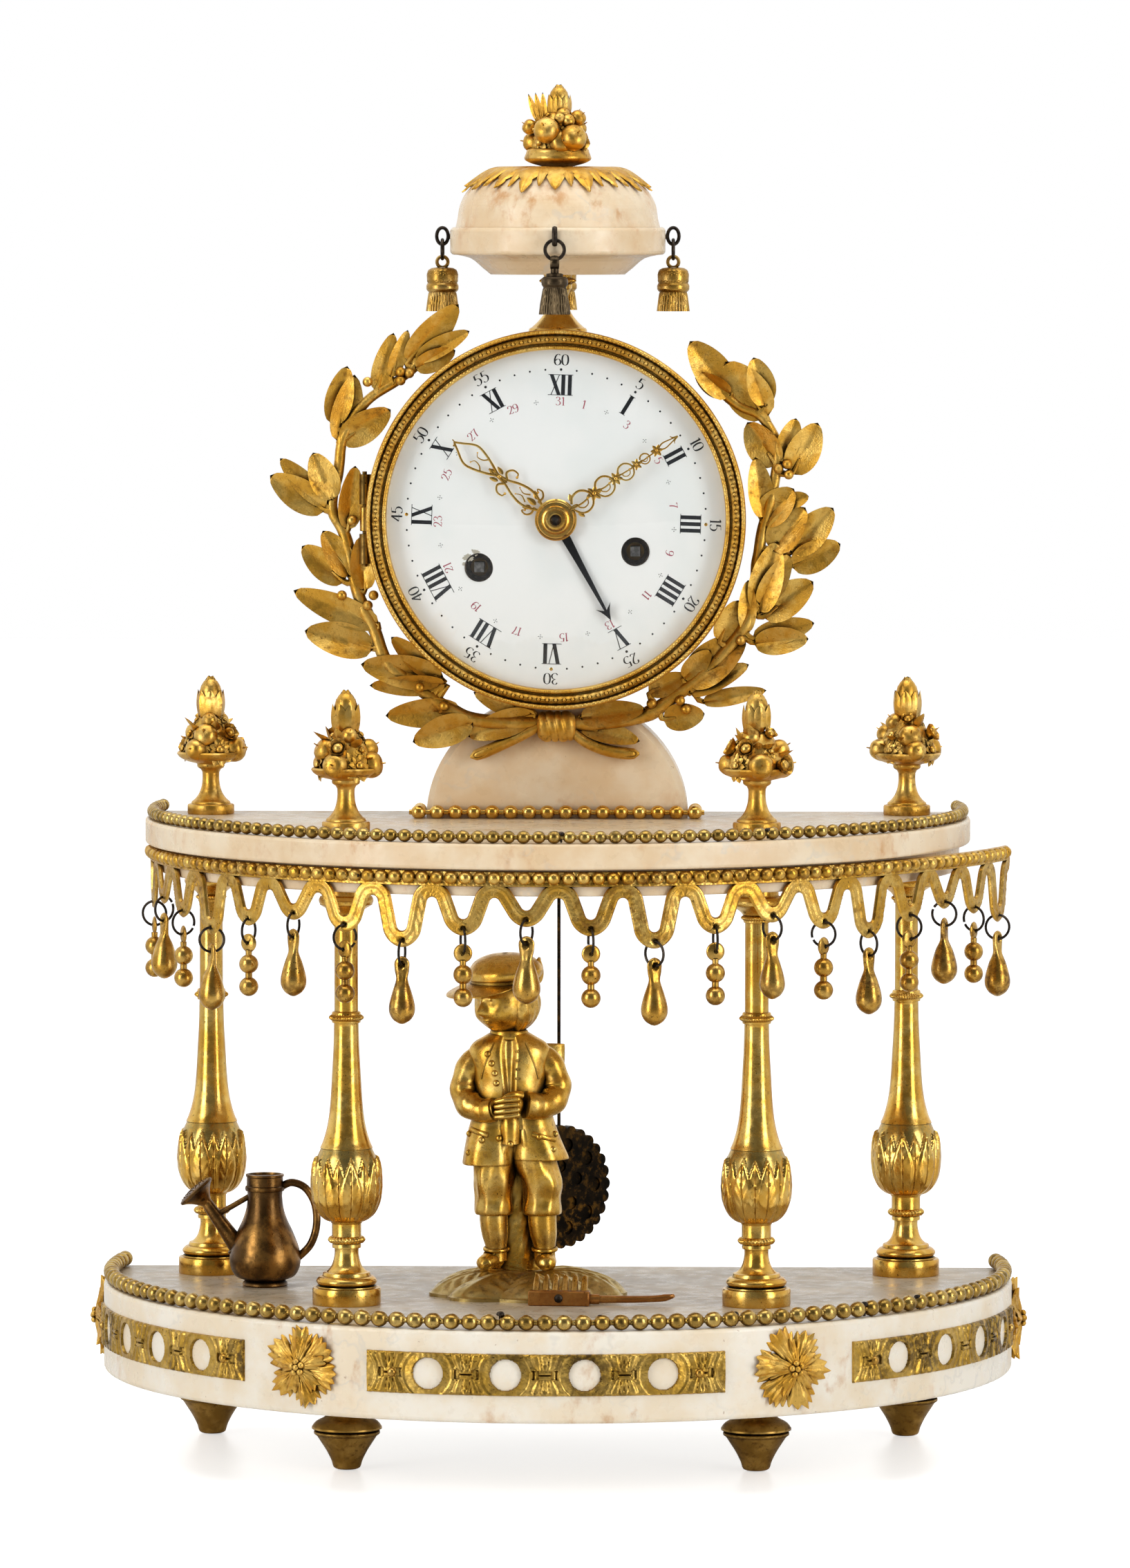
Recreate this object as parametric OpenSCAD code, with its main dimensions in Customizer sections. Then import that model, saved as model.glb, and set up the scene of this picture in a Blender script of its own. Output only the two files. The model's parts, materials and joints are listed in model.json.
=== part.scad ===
// Portico mantel clock in white marble and gilt bronze.
// A half-round marble base carries four turned columns and a half-round upper slab,
// on which a marble dome, the clock drum with its laurel wreath, and a vase are stacked.
// Front of the clock faces -Y, +X is the viewer's right, +Z is up, sizes in millimetres.
// The origin is on the floor, under the middle of the clock's plan.

/* [Base] */
// Radius of the half-round marble base
base_radius = 159; // [150:1:170]
// Distance of the base's straight back behind the centre of its curve
base_back = 30; // [26:1:40]
// Thickness of the marble base
base_thick = 31; // [26:1:36]
// Rounding of the base's edges
base_edge = 1.6; // [0.5:0.1:3]
// Height of the turned feet
foot_h = 26; // [22:1:32]
// Radius of a foot at its rim
foot_rim_radius = 12.1; // [10:0.1:14]

/* [Base trim] */
// Diameter of a bead in the rail on the base
base_bead = 4.8; // [4:0.1:5.6]
// Distance between beads in the rail on the base
base_bead_pitch = 6.3; // [6:0.1:8]
// How far the bead rail is set in from the base's edge
base_bead_inset = 2.6; // [2.5:0.1:5]
// Height of a pierced frieze panel
panel_h = 14.3; // [12:0.1:18]
// Length of a frieze panel along the curve
panel_len = 124; // [110:1:130]
// How far a frieze panel stands out from the marble
panel_proud = 1.5; // [1:0.1:2.5]
// Distance between the round openings of a panel
opening_pitch = 26; // [24:0.5:28]
// Radius of the round openings of a panel
opening_radius = 5.6; // [4:0.1:6]
// Angle between the front panel's middle and a side panel's middle
side_panel_angle = 62.3; // [58:0.1:66]
// Radius of a rosette
rosette_radius = 14; // [12:0.5:15]
// How far a rosette stands out from the marble
rosette_proud = 6; // [4:0.5:8]
// Angle of the front rosettes from the middle of the front
rosette_front_angle = 31; // [29:0.5:34]
// Angle of the rear rosettes from the middle of the front
rosette_rear_angle = 92; // [89:0.5:94]

/* [Columns] */
// Clear height of a column between base and upper slab
column_h = 144; // [142:1:160]
// Distance of the front columns from the middle
column_front_x = 70; // [62:1:80]
// Distance of the front columns in front of the curve's centre
column_front_y = 82; // [74:1:90]
// Distance of the rear columns from the middle
column_rear_x = 122; // [112:1:126]
// Distance of the rear columns behind the curve's centre
column_rear_y = 9; // [4:0.5:10]
// Radius of a column's round foot plate
column_plate_radius = 11.7; // [10:0.1:13]
// Greatest radius of a column's bulb
column_bulb_radius = 11.8; // [10:0.1:13]
// Radius of a column's shaft at its thinnest
column_shaft_radius = 4; // [3.4:0.1:5]
// Radius of the tie rod inside a column
rod_radius = 1.5; // [1:0.1:2]
// Clearance around a tie rod
rod_clear = 0.15; // [0.05:0.05:0.4]

/* [Upper slab] */
// Radius of the upper slab
plateau_radius = 144; // [138:1:150]
// Distance of the upper slab's straight back behind the centre of its curve
plateau_back = 24; // [20:1:26]
// Thickness of the upper step of the slab
plateau_upper = 8.8; // [7:0.1:12]
// Thickness of the lower step of the slab
plateau_lower = 9; // [7:0.1:12]
// How far the lower step is set back
plateau_inset = 3.8; // [2:0.1:5]
// Diameter of a bead in the rail on the upper slab
plateau_bead = 3.8; // [3:0.1:4.4]
// Distance between beads in the rail on the upper slab
plateau_bead_pitch = 5.1; // [4.9:0.1:7]

/* [Fringe] */
// Thickness of the pierced fringe band
band_thick = 1.3; // [1:0.1:1.6]
// Height of the beaded strip of the fringe
strip_h = 5.3; // [4:0.1:7]
// Thickness of the beaded strip behind its beads
strip_thick = 2.3; // [2.2:0.1:3]
// Width of the wavy ribbon under the strip
ribbon_w = 4.4; // [4:0.1:5.2]
// Distance between the ribbon's dips along the curve
dip_pitch = 21.55; // [20:0.05:22]
// Depth of the shallow dips below the strip
dip_high = 12.7; // [11:0.1:15]
// Depth of the middle dips below the strip
dip_mid = 15.8; // [13:0.1:18]
// Depth of the deep dips below the strip
dip_low = 20.2; // [16:0.1:24]
// Angle from the front at which the right end has sprung off the slab
spring_angle = 43; // [35:1:60]
// Radius of the sprung right end
spring_radius = 225; // [170:5:300]
// Radius of the wire ring of a pendant, to the wire's middle
ring_radius = 3.95; // [3.4:0.05:4.6]
// Radius of the ring's wire
ring_wire = 0.45; // [0.35:0.05:0.6]
// Clearance of the ring's wire in its hole
ring_clear = 0.45; // [0.3:0.05:0.6]
// Length of a pear drop with its eye
pear_len = 21; // [18:0.5:24]
// Greatest diameter of a pear drop
pear_dia = 8.2; // [6.5:0.1:9]
// Diameter of the balls of a bead pendant
ball_dia = 5.9; // [5:0.1:6.6]
// Distance between the two balls of a bead pendant
ball_gap = 6.9; // [6.7:0.1:7.6]

/* [Clock drum] */
// Height of the dial's centre above the upper slab
dial_rise = 104.3; // [104:0.1:112]
// Outer radius of the drum case
drum_radius = 63; // [62:0.5:64]
// Wall of the drum case
drum_wall = 1.6; // [1:0.1:2.4]
// Distance of the drum's front edge in front of the curve's centre
drum_front = 21.7; // [20:0.1:24]
// Distance of the drum's rear edge behind the curve's centre
drum_rear = 28; // [27:0.5:32]
// Outer radius of the bezel
bezel_radius = 65.8; // [65:0.1:68]
// Radius of the bezel's sight opening
sight_radius = 58.6; // [56:0.1:59]
// Depth of the bezel from back to front
bezel_depth = 8; // [7:0.5:10]
// How far the dial's middle stands out over its edge
dial_sag = 2.4; // [1.5:0.1:3]
// Thickness of the enamel dial
dial_thick = 1.4; // [1:0.1:2]
// How far the glass is domed
glass_sag = 10; // [9.5:0.1:12]
// Thickness of the glass
glass_thick = 1; // [0.8:0.1:1.1]
// Height of the hinge on the drum's left side
hinge_h = 31; // [24:1:36]

/* [Hands and motion work] */
// Length of the minute hand from its centre
minute_len = 51.4; // [46:0.1:54]
// Length of the hour hand from its centre
hour_len = 44; // [36:0.1:46]
// Length of the date hand from its centre
date_len = 39.8; // [34:0.1:44]
// Angle of the minute hand, clockwise from the top
minute_angle = 55.5; // [0:0.5:359]
// Angle of the hour hand, clockwise from the top
hour_angle = 307.3; // [0:0.1:359]
// Angle of the date hand, clockwise from the top
date_angle = 151.3; // [0:0.1:359]
// Distance between the centre arbor and the minute wheel
wheel_distance = 12; // [11:0.1:13]
// Radius of the centre arbor
arbor_radius = 1.2; // [1:0.05:1.3]
// Wall of the hour and date pipes
pipe_wall = 0.65; // [0.5:0.05:0.7]
// Running clearance of arbors and pipes
run_clear = 0.05; // [0.02:0.01:0.1]

/* [Movement] */
// Radius of the movement's plates
plate_radius = 50; // [48:0.5:54]
// Distance between the two plates
plate_gap = 16; // [15:0.5:18]
// Thickness of a plate
plate_thick = 2; // [1.5:0.1:2.2]
// Radius of the spring barrels
barrel_radius = 19; // [16:0.5:22]
// Distance of the left winding arbor from the dial's centre
wind_left_x = 26.7; // [24:0.1:28]
// Distance of the left winding arbor below the dial's centre
wind_left_z = 16.6; // [14:0.1:20]
// Distance of the right winding arbor from the dial's centre
wind_right_x = 27.4; // [24:0.1:29]
// Distance of the right winding arbor below the dial's centre
wind_right_z = 11.1; // [9:0.1:16]
// Radius of the winding holes in the dial
wind_hole = 4.8; // [4:0.1:5.2]
// Side of the winding squares
wind_square = 3.4; // [2.6:0.1:3.8]
// Radius of the bell
bell_radius = 30; // [24:0.5:31]

/* [Pendulum] */
// Height of the pendulum's pivot above the dial's centre
pivot_rise = 45; // [42:0.5:46]
// Distance from the pivot to the middle of the bob
pendulum_len = 281; // [270:1:284]
// Radius of the pendulum's rod
pendulum_rod = 0.6; // [0.5:0.05:0.9]
// Radius of the pierced bob
bob_radius = 21.8; // [18:0.1:23]
// Thickness of the bob
bob_thick = 3; // [2:0.1:4]
// How far the bob is turned about its rod
bob_turn = 40; // [0:1:45]
// Furthest swing of the pendulum to each side, in degrees
pendulum_swing = 4; // [2:0.5:4]

/* [Dome and vase] */
// Half the width of the marble dome
dome_half = 45.5; // [42:0.5:50]
// Height of the dome's outline
dome_h = 43; // [42.5:0.5:52]
// Distance of the dome's face in front of the curve's centre
dome_front = 13.4; // [10:0.1:13.6]
// Distance of the dome's rear behind the curve's centre
dome_rear = 9; // [6:0.5:10]
// Diameter of a bead in the rail around the dome
dome_bead = 4.5; // [3.8:0.1:5]
// Distance between beads in the rail around the dome
dome_bead_pitch = 6.2; // [5.8:0.1:7.5]
// Height of the turned stem between drum and vase
vase_stem_h = 21.6; // [19:0.1:26]
// Height of the marble vase
vase_h = 35.7; // [33:0.1:40]
// Radius of the vase's rim
vase_rim_radius = 37.5; // [35:0.1:40]
// Height of the finial on the vase
vase_finial_h = 30.7; // [28:0.1:34]
// Distance of the tassel hooks from the vase's axis
tassel_reach = 40.2; // [39.8:0.1:43]

/* [Wreath and figures] */
// Radius of the laurel stems around the dial's centre
wreath_radius = 74.5; // [74:0.1:76]
// Length of a laurel leaf
leaf_len = 22; // [17:0.5:23]
// Width of a laurel leaf
leaf_w = 7.6; // [6:0.1:8.5]
// Height of the gardener figure from the mound's foot to the hat
figure_h = 117.5; // [105:0.5:120]
// Distance of the figure left of the middle
figure_x = 14; // [8:0.5:20]
// Distance of the figure in front of the curve's centre
figure_y = 52; // [44:0.5:56]
// Height of the watering can
can_h = 39; // [34:0.5:42]
// Distance of the watering can left of the middle
can_x = 101; // [98:0.5:104]
// Distance of the watering can in front of the curve's centre
can_y = 30; // [26:0.5:34]
// Length of the rake with its handle
rake_len = 47; // [42:0.5:52]

/* [Hidden] */
$fn = 72;
little = 0.01;

base_top = foot_h + base_thick;
plateau_bottom = base_top + column_h;
plateau_step = plateau_bottom + plateau_lower;
plateau_top = plateau_step + plateau_upper;
dial_z = plateau_top + dial_rise;
drum_inner = drum_radius - drum_wall;
tassel_skirt = 5.6;
// The plan's curve is centred here, so that the origin is under the middle of the whole clock,
// from the front frieze panel to the rear tassel
plan_y = (base_radius + panel_proud - tassel_reach - tassel_skirt) / 2;

marble = "#e9dfca";
base_marble = "#efe8da";
gilt = "#c79a3c";
dark_gilt = "#8f6a2c";
brass_inner = "#b9944a";
dark_bronze = "#6b4f2a";
enamel = "#f4f4f0";
blued = "#23252b";

COLUMNS = [
    [-column_front_x, -column_front_y],
    [column_front_x, -column_front_y],
    [-column_rear_x, column_rear_y],
    [column_rear_x, column_rear_y]
];

DIPS = 20;
DIP_NUMBERS = [for (i = [1:DIPS]) i];

// Moves its children from the frame of the plan's curve into the clock's frame
module on_plan() translate([0, plan_y, 0]) children();

// Stands its children on a circle, counted from the front towards the viewer's right:
// their +Z looks outwards and their +Y looks up
module facing_out(angle, radius, z)
    rotate([0, 0, angle]) translate([0, -radius, z]) rotate([90, 0, 0]) children();

// Moves its children to the dial's centre, their +Z looking at the viewer
module on_dial(y) translate([0, y, dial_z]) rotate([90, 0, 0]) children();

// Points on a smooth curve through a list of points, with n steps between two of them
function spline(p, n) = [
    for (i = [0:len(p) - 2])
        for (k = [0:n - 1])
            let (
                t = k / n,
                a = p[max(i - 1, 0)],
                b = p[i],
                c = p[i + 1],
                d = p[min(i + 2, len(p) - 1)]
            )
            b + 0.5 * t * ((c - a) + t * ((2 * a - 5 * b + 4 * c - d) + t * (3 * b - a - 3 * c + d))),
    p[len(p) - 1]
];

// A turned solid whose outline runs through points of radius and height
module turned(points, n = 4) {
    outline = spline(points, n);
    rotate_extrude() polygon(concat(
        [[0, points[0][1]]],
        outline,
        [[0, points[len(points) - 1][1]]]
    ));
}

// A plain disc or ring with rounded edge, lying on its lower face
module rounded_disc(r, h) {
    rotate_extrude() {
        square([r - h / 2, h]);
        translate([r - h / 2, h / 2]) circle(h / 2);
    }
}

// Outline of a slab's edge, from its axis to its rounded rim
module slab_profile(r, h, edge) {
    square([r - edge, h]);
    translate([0, edge]) square([r, h - 2 * edge]);
    translate([r - edge, edge]) circle(edge);
    translate([r - edge, h - edge]) circle(edge);
}

// A half-round slab with a straight back
module half_round_slab(r, back, h, edge) intersection() {
    rotate_extrude() slab_profile(r, h, edge);
    translate([-r, -r, 0]) cube([2 * r, r + back, h]);
}

module rod_holes(z, h) for (p = COLUMNS)
    translate([p[0], p[1], z - little]) cylinder(r = rod_radius + rod_clear, h = h + 2 * little);

// A turned bead with its axis along X and a small flat at each end
bead_flat = 0.44;
module rail_bead(d) rotate([0, 90, 0]) rotate_extrude() intersection() {
    circle(d / 2, $fn = 36);
    translate([0, -d * bead_flat]) square([d, 2 * d * bead_flat]);
}

// The pin between two beads whose centres are a given distance apart, centred on the origin
module rail_pin(d, apart) {
    pin_len = apart - 2 * d * (bead_flat - 0.06);
    translate([-pin_len / 2, 0, 0]) rotate([0, 90, 0]) cylinder(r = d * 0.17, h = pin_len);
}

// A half-round slab's bead rail: beads along the curved edge, with a short pin from each to the next
module bead_rail(r, back, bead, pitch, z) {
    half = 90 + asin((back - bead / 2) / r);
    count = floor(2 * half * PI / 180 * r / pitch);
    step = 2 * half / count;
    translate([0, 0, z]) {
        for (i = [0:count])
            rotate([0, 0, -half + i * step]) translate([0, -r, 0]) rail_bead(bead);
        for (i = [0:count - 1])
            rotate([0, 0, -half + (i + 0.5) * step]) translate([0, -r * cos(step / 2), 0])
                rail_pin(bead, 2 * r * sin(step / 2));
    }
}

module base_slab() color(base_marble) on_plan() difference() {
    translate([0, 0, foot_h]) half_round_slab(base_radius, base_back, base_thick, base_edge);
    rod_holes(foot_h, base_thick);
}

module base_bead_rail() color(gilt) on_plan()
    bead_rail(base_radius - base_bead_inset, base_back, base_bead, base_bead_pitch, base_top + base_bead / 2);

// A pierced panel bent round the base, with a raised ring around each opening and a pin at each end
module frieze_panel(angle) {
    half = panel_len / base_radius * 90 / PI;
    mid_z = foot_h + base_thick / 2 + 0.9;
    ring_w = 1.3;
    ring_rise = 0.7;
    turn = opening_pitch / base_radius * 180 / PI;
    rotate([0, 0, angle]) {
        difference() {
            union() {
                translate([0, 0, mid_z - panel_h / 2])
                    rotate([0, 0, -90 - half]) rotate_extrude(angle = 2 * half)
                        translate([base_radius, 0]) square([panel_proud, panel_h]);
                for (i = [-1.5:1:1.5])
                    facing_out(i * turn, base_radius + little, mid_z)
                        cylinder(r = opening_radius + ring_w, h = panel_proud + ring_rise);
            }
            for (i = [-1.5:1:1.5])
                facing_out(i * turn, base_radius - 1, mid_z)
                    cylinder(r = opening_radius, h = panel_proud + ring_rise + 2);
        }
        for (side = [-1, 1])
            facing_out(side * (half - 3.4), base_radius + panel_proud, mid_z)
                difference() {
                    sphere(1.5, $fn = 24);
                    translate([-2, -2, -2]) cube([4, 4, 2]);
                }
    }
}

module frieze_panels() color(dark_gilt) on_plan() {
    frieze_panel(-side_panel_angle);
    frieze_panel(0);
    frieze_panel(side_panel_angle);
}

// Outline of a ring of pointed leaves
function leaf_ring(r_out, r_in, count) = [
    for (i = [0:count - 1])
        for (k = [0:3])
            let (a = (i + k / 4) * 360 / count, r = [r_out, (r_out + r_in) / 2, r_in, (r_out + r_in) / 2][k])
            [r * sin(a), r * cos(a)]
];

// A flat-backed rosette: two rings of pointed leaves and a cluster of beads
module rosette() {
    linear_extrude(rosette_proud * 0.4) polygon(leaf_ring(rosette_radius, rosette_radius * 0.8, 16));
    linear_extrude(rosette_proud * 0.62) polygon(leaf_ring(rosette_radius * 0.72, rosette_radius * 0.52, 12));
    cylinder(r = rosette_radius * 0.3, h = rosette_proud * 0.74);
    for (i = [0:4])
        rotate([0, 0, i * 72 + 8]) translate([rosette_radius * 0.17, 0, rosette_proud * 0.78])
            sphere(rosette_proud * 0.2, $fn = 24);
}

module base_rosettes() color(gilt) on_plan()
    for (a = [-rosette_rear_angle, -rosette_front_angle, rosette_front_angle, rosette_rear_angle])
        facing_out(a, base_radius, foot_h + base_thick / 2 + 0.9) rosette();

// A turned foot: toe, wide rim with a roped edge, and neck
module foot() {
    toe = 4.5;
    neck = 5.8;
    rim_z = foot_h * 0.47;
    rim_h = 3;
    difference() {
        union() {
            cylinder(r1 = toe, r2 = foot_rim_radius - 1.2, h = rim_z);
            translate([0, 0, rim_z - little]) rounded_disc(foot_rim_radius, rim_h);
            translate([0, 0, rim_z + rim_h - 2 * little])
                cylinder(r1 = foot_rim_radius - 1.6, r2 = neck, h = foot_h * 0.16);
            translate([0, 0, rim_z]) cylinder(r = neck, h = foot_h - rim_z - 2);
            translate([0, 0, foot_h - 2 - little]) cylinder(r1 = neck, r2 = neck + 1.8, h = 2 + little);
        }
        translate([0, 0, foot_h * 0.3]) cylinder(r = rod_radius + rod_clear, h = foot_h);
    }
}

module feet() color(dark_gilt) on_plan() for (p = COLUMNS) translate([p[0], p[1], 0]) foot();

// Outline of the bulb and shaft as radius and height, from the roped collar to the upper ring
function bulb_points(grow) = [
    [5.2 + grow, 28], [6.6 + grow, 28.8], [9.1 + grow, 31], [column_bulb_radius - 0.7 + grow, 35],
    [column_bulb_radius + grow, 40], [column_bulb_radius - 0.1 + grow, 45], [10.6 + grow, 50],
    [8.1 + grow, 55.5], [5.9 + grow, 65], [5 + grow, 77], [column_shaft_radius + 0.2 + grow, 96.5]
];

module column_solid() {
    ring_z = 98;
    capital_z = column_h - 13;
    plate_h = 5.9;
    cylinder(r = column_plate_radius, h = plate_h);
    translate([0, 0, plate_h - little]) rounded_disc(10.1, 3.8);
    translate([0, 0, plate_h]) cylinder(r = 7.9, h = 5.1);
    turned([[7.2, 11 - little], [5.2, 13], [4.1, 16.5], [4.2, 19.4]]);
    translate([0, 0, 19.3]) cylinder(r = 4.9, h = 1.7);
    translate([0, 0, 20.9]) rounded_disc(6.1, 2.4);
    translate([0, 0, 23.2]) cylinder(r = 5, h = 5.2);
    turned(bulb_points(0));
    translate([0, 0, ring_z - 2.6]) cylinder(r = 4.9, h = 1.8);
    translate([0, 0, ring_z - 1]) rounded_disc(5.9, 2.4);
    translate([0, 0, ring_z + 1.3]) cylinder(r = 4.9, h = 1.8);
    translate([0, 0, ring_z]) cylinder(r = column_shaft_radius, h = capital_z - ring_z + 1);
    translate([0, 0, capital_z]) cylinder(r = 4.5, h = 2);
    translate([0, 0, capital_z + 1.9]) cylinder(r1 = 4.5, r2 = 8, h = 3.6);
    translate([0, 0, capital_z + 5.4]) rounded_disc(9.3, 3.6);
    translate([0, 0, capital_z + 8.9]) cylinder(r = 7.4, h = 4.1);
}

// Outline of a pointed leaf with its stalk at the origin and its tip on +Y
module leaf_outline(length, width) {
    bow = (length * length / 4 + width * width / 4) / width;
    intersection() {
        translate([bow - width / 2, length / 2]) circle(bow);
        translate([width / 2 - bow, length / 2]) circle(bow);
    }
}

// The cup of pointed leaves that clasps the foot of a column's bulb
module leaf_cup() {
    leaves = 8;
    cup_bottom = 28;
    cup_h = 23;
    leaf_reach = 7.4;
    intersection() {
        turned(bulb_points(0.8));
        for (i = [0:leaves - 1])
            rotate([0, 0, (i + 0.5) * 360 / leaves]) translate([0, 0, cup_bottom - 1])
                rotate([90, 0, 0]) linear_extrude(column_bulb_radius + 2) leaf_outline(cup_h + 1, leaf_reach * 1.2);
    }
}

module column(i) color(gilt) on_plan() translate([COLUMNS[i][0], COLUMNS[i][1], 0]) {
    translate([0, 0, base_top]) difference() {
        union() {
            column_solid();
            leaf_cup();
        }
        translate([0, 0, -1]) cylinder(r = rod_radius + rod_clear, h = column_h + 2);
    }
    // The tie rod runs from the foot to the finial
    rod_from = foot_h * 0.3;
    translate([0, 0, rod_from]) cylinder(r = rod_radius, h = plateau_top + 8 - rod_from);
}

module column_front_left() column(0);
module column_front_right() column(1);
module column_rear_left() column(2);
module column_rear_right() column(3);

// A heap of fruit and flowers: low ring of fruit, upper ring, and a tall bud with leaves
module bouquet(r, h) {
    cylinder(r1 = r * 0.5, r2 = r * 0.84, h = h * 0.12);
    translate([0, 0, h * 0.12 - little]) cylinder(r1 = r * 0.8, r2 = r * 0.34, h = h * 0.42);
    for (i = [0:5])
        rotate([0, 0, i * 60 + 20]) translate([r * 0.66, 0, h * 0.22]) sphere(r * 0.33, $fn = 24);
    for (i = [0:4])
        rotate([0, 0, i * 72 + 50]) translate([r * 0.42, 0, h * 0.45]) sphere(r * 0.27, $fn = 24);
    translate([0, 0, h * 0.4]) turned(
        [[r * 0.2, 0], [r * 0.34, h * 0.16], [r * 0.32, h * 0.32], [r * 0.18, h * 0.5], [r * 0.02, h * 0.6]]);
}

module finial_pedestal(r) difference() {
    union() {
        cylinder(r = r, h = 3.6);
        turned([[r - 1.2, 3.6 - little], [r - 2.4, 5], [2.9, 9], [2.5, 12.5], [3.4, 17], [6.2, 19]]);
    }
    translate([0, 0, -1]) cylinder(r = rod_radius + rod_clear, h = 9.4);
}

module column_finials() color(gilt) on_plan() for (p = COLUMNS)
    translate([p[0], p[1], plateau_top]) {
        finial_pedestal(7.45);
        translate([0, 0, 19 - little]) bouquet(13, 30);
    }

// Half the width of the notch that the pendulum swings in
notch_half = (dial_rise + pivot_rise + plateau_upper + plateau_lower) * tan(pendulum_swing) + pendulum_rod + 1.5;
pendulum_y = 14;
notch_front = pendulum_y - 2.5;

module plateau_slab() color(marble) on_plan() difference() {
    union() {
        translate([0, 0, plateau_bottom])
            half_round_slab(plateau_radius - plateau_inset, plateau_back, plateau_lower + little, 0.6);
        translate([0, 0, plateau_step])
            half_round_slab(plateau_radius, plateau_back, plateau_upper, 1.2);
    }
    rod_holes(plateau_bottom, plateau_lower + plateau_upper);
    translate([-notch_half, notch_front, plateau_bottom - 1])
        cube([2 * notch_half, plateau_back, plateau_lower + plateau_upper + 2]);
}

module plateau_bead_rail() color(gilt) on_plan()
    bead_rail(plateau_radius - plateau_bead / 2 - 0.8, plateau_back, plateau_bead, plateau_bead_pitch,
        plateau_top + plateau_bead / 2);

// The fringe follows the lower step of the slab, then springs away from it on the right.
// A place on it is given by its distance along the curve from the middle of the front.
band_radius = plateau_radius - plateau_inset + strip_thick / 2 + 0.05;
spring_at = spring_angle * PI / 180 * band_radius;
band_left = -band_radius * 86.6 * PI / 180;
band_right = 218;
function heading(s) = s < spring_at
    ? s / band_radius * 180 / PI
    : spring_angle + (s - spring_at) / spring_radius * 180 / PI;
function band_at(s) = s < spring_at
    ? band_radius * [sin(heading(s)), -cos(heading(s))]
    : band_radius * [sin(spring_angle), -cos(spring_angle)]
      + spring_radius * [sin(heading(s)) - sin(spring_angle), cos(spring_angle) - cos(heading(s))];

strip_bottom = plateau_bottom + 3.2;
dip_offset = 4.1;
function dip_place(i) = (i - 10.5) * dip_pitch + dip_offset;
function dip_depth(i) = i % 2 == 1 ? dip_mid : (i % 4 == 0 ? dip_low : dip_high);
ring_hole = ring_wire + ring_clear;
function hole_z(i) = strip_bottom - dip_depth(i) + ring_hole + 0.95;

// Places its children on the band, their +Z looking outwards and their +Y up
module on_band(s, z)
    translate([band_at(s)[0], band_at(s)[1], z]) rotate([0, 0, heading(s)]) rotate([90, 0, 0]) children();

// Outline of one dip: a ribbon of even width along one wave of a cosine
module dip_outline(depth) {
    steps = 24;
    half_w = ribbon_w / 2;
    fall = depth - ribbon_w;
    end_x = dip_pitch / 2 + 0.25;
    // Where the ribbon turns sharper than its own width, its inner edge is cut straight across
    blunt = 0.4;
    function wave(t) = [t * dip_pitch, -half_w - fall * (1 + cos(360 * t)) / 2];
    function across(t) = let (d = [dip_pitch, fall * PI * sin(360 * t)]) [-d[1], d[0]] / norm(d);
    upper = [
        for (i = [0:steps])
            let (t = i / steps - 0.5, q = wave(t) + half_w * across(t))
            if (sign(t) * q[0] > blunt) q
    ];
    lower = [
        for (i = [steps:-1:0])
            let (t = i / steps - 0.5, q = wave(t) - half_w * across(t))
            if (abs(q[0]) < dip_pitch / 2 - blunt) q
    ];
    crest = lower[0][1];
    polygon(concat([[-end_x, crest], [-end_x, 0]], upper, [[end_x, 0], [end_x, crest]], lower));
}

module strip_profile() {
    translate([-strip_thick / 2, 0]) square([strip_thick, strip_h]);
    translate([strip_thick / 2, strip_h / 2 + 0.3]) circle(1.5);
}

// The strip's two stretches, round the slab and the sprung right end, with a hair's gap between them
module fringe_strip() {
    left = heading(band_left);
    gap = 0.1;
    rotate([0, 0, left - 90]) rotate_extrude(angle = spring_angle - left)
        translate([band_radius, 0]) strip_profile();
    centre = (band_radius - spring_radius) * [sin(spring_angle), -cos(spring_angle)];
    translate([centre[0], centre[1], 0])
        rotate([0, 0, spring_angle + gap - 90]) rotate_extrude(angle = heading(band_right) - spring_angle - gap)
            translate([spring_radius, 0]) strip_profile();
}

module fringe_band() color(gilt) on_plan() difference() {
    union() {
        translate([0, 0, strip_bottom]) fringe_strip();
        for (i = DIP_NUMBERS)
            on_band(dip_place(i), strip_bottom + ribbon_w * 0.3) translate([0, 0, -band_thick / 2])
                linear_extrude(band_thick) dip_outline(dip_depth(i) + ribbon_w * 0.3);
    }
    for (i = DIP_NUMBERS)
        on_band(dip_place(i), hole_z(i)) translate([0, 0, -3]) cylinder(r = ring_hole, h = 6);
}

// A wire ring that hangs in a hole at the origin, seen edge-on from the front
module wire_ring(radius, wire) translate([0, -radius, 0]) rotate([0, 90, 0])
    rotate_extrude() translate([radius, 0]) circle(wire);

// A flat eye around a hole at the origin
module eye(r, thick) translate([0, 0, -thick / 2]) cylinder(r = r, h = thick);
module eye_hole() translate([0, 0, -4]) cylinder(r = ring_hole, h = 8);

// Pendants are drawn in the frame of their hole: +Y up, +Z outwards
module pear_pendant() {
    eye_r = 2.65;
    below = pear_len - eye_r;
    wire_ring(ring_radius, ring_wire);
    translate([0, -2 * ring_radius, 0]) difference() {
        union() {
            eye(eye_r, 2);
            rotate([90, 0, 0]) turned([[1.5, 1.2], [1.9, 4], [pear_dia * 0.36, 8], [pear_dia / 2, 13],
                [pear_dia * 0.4, 16.4], [0.2, below]], 5);
        }
        eye_hole();
    }
}

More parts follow.
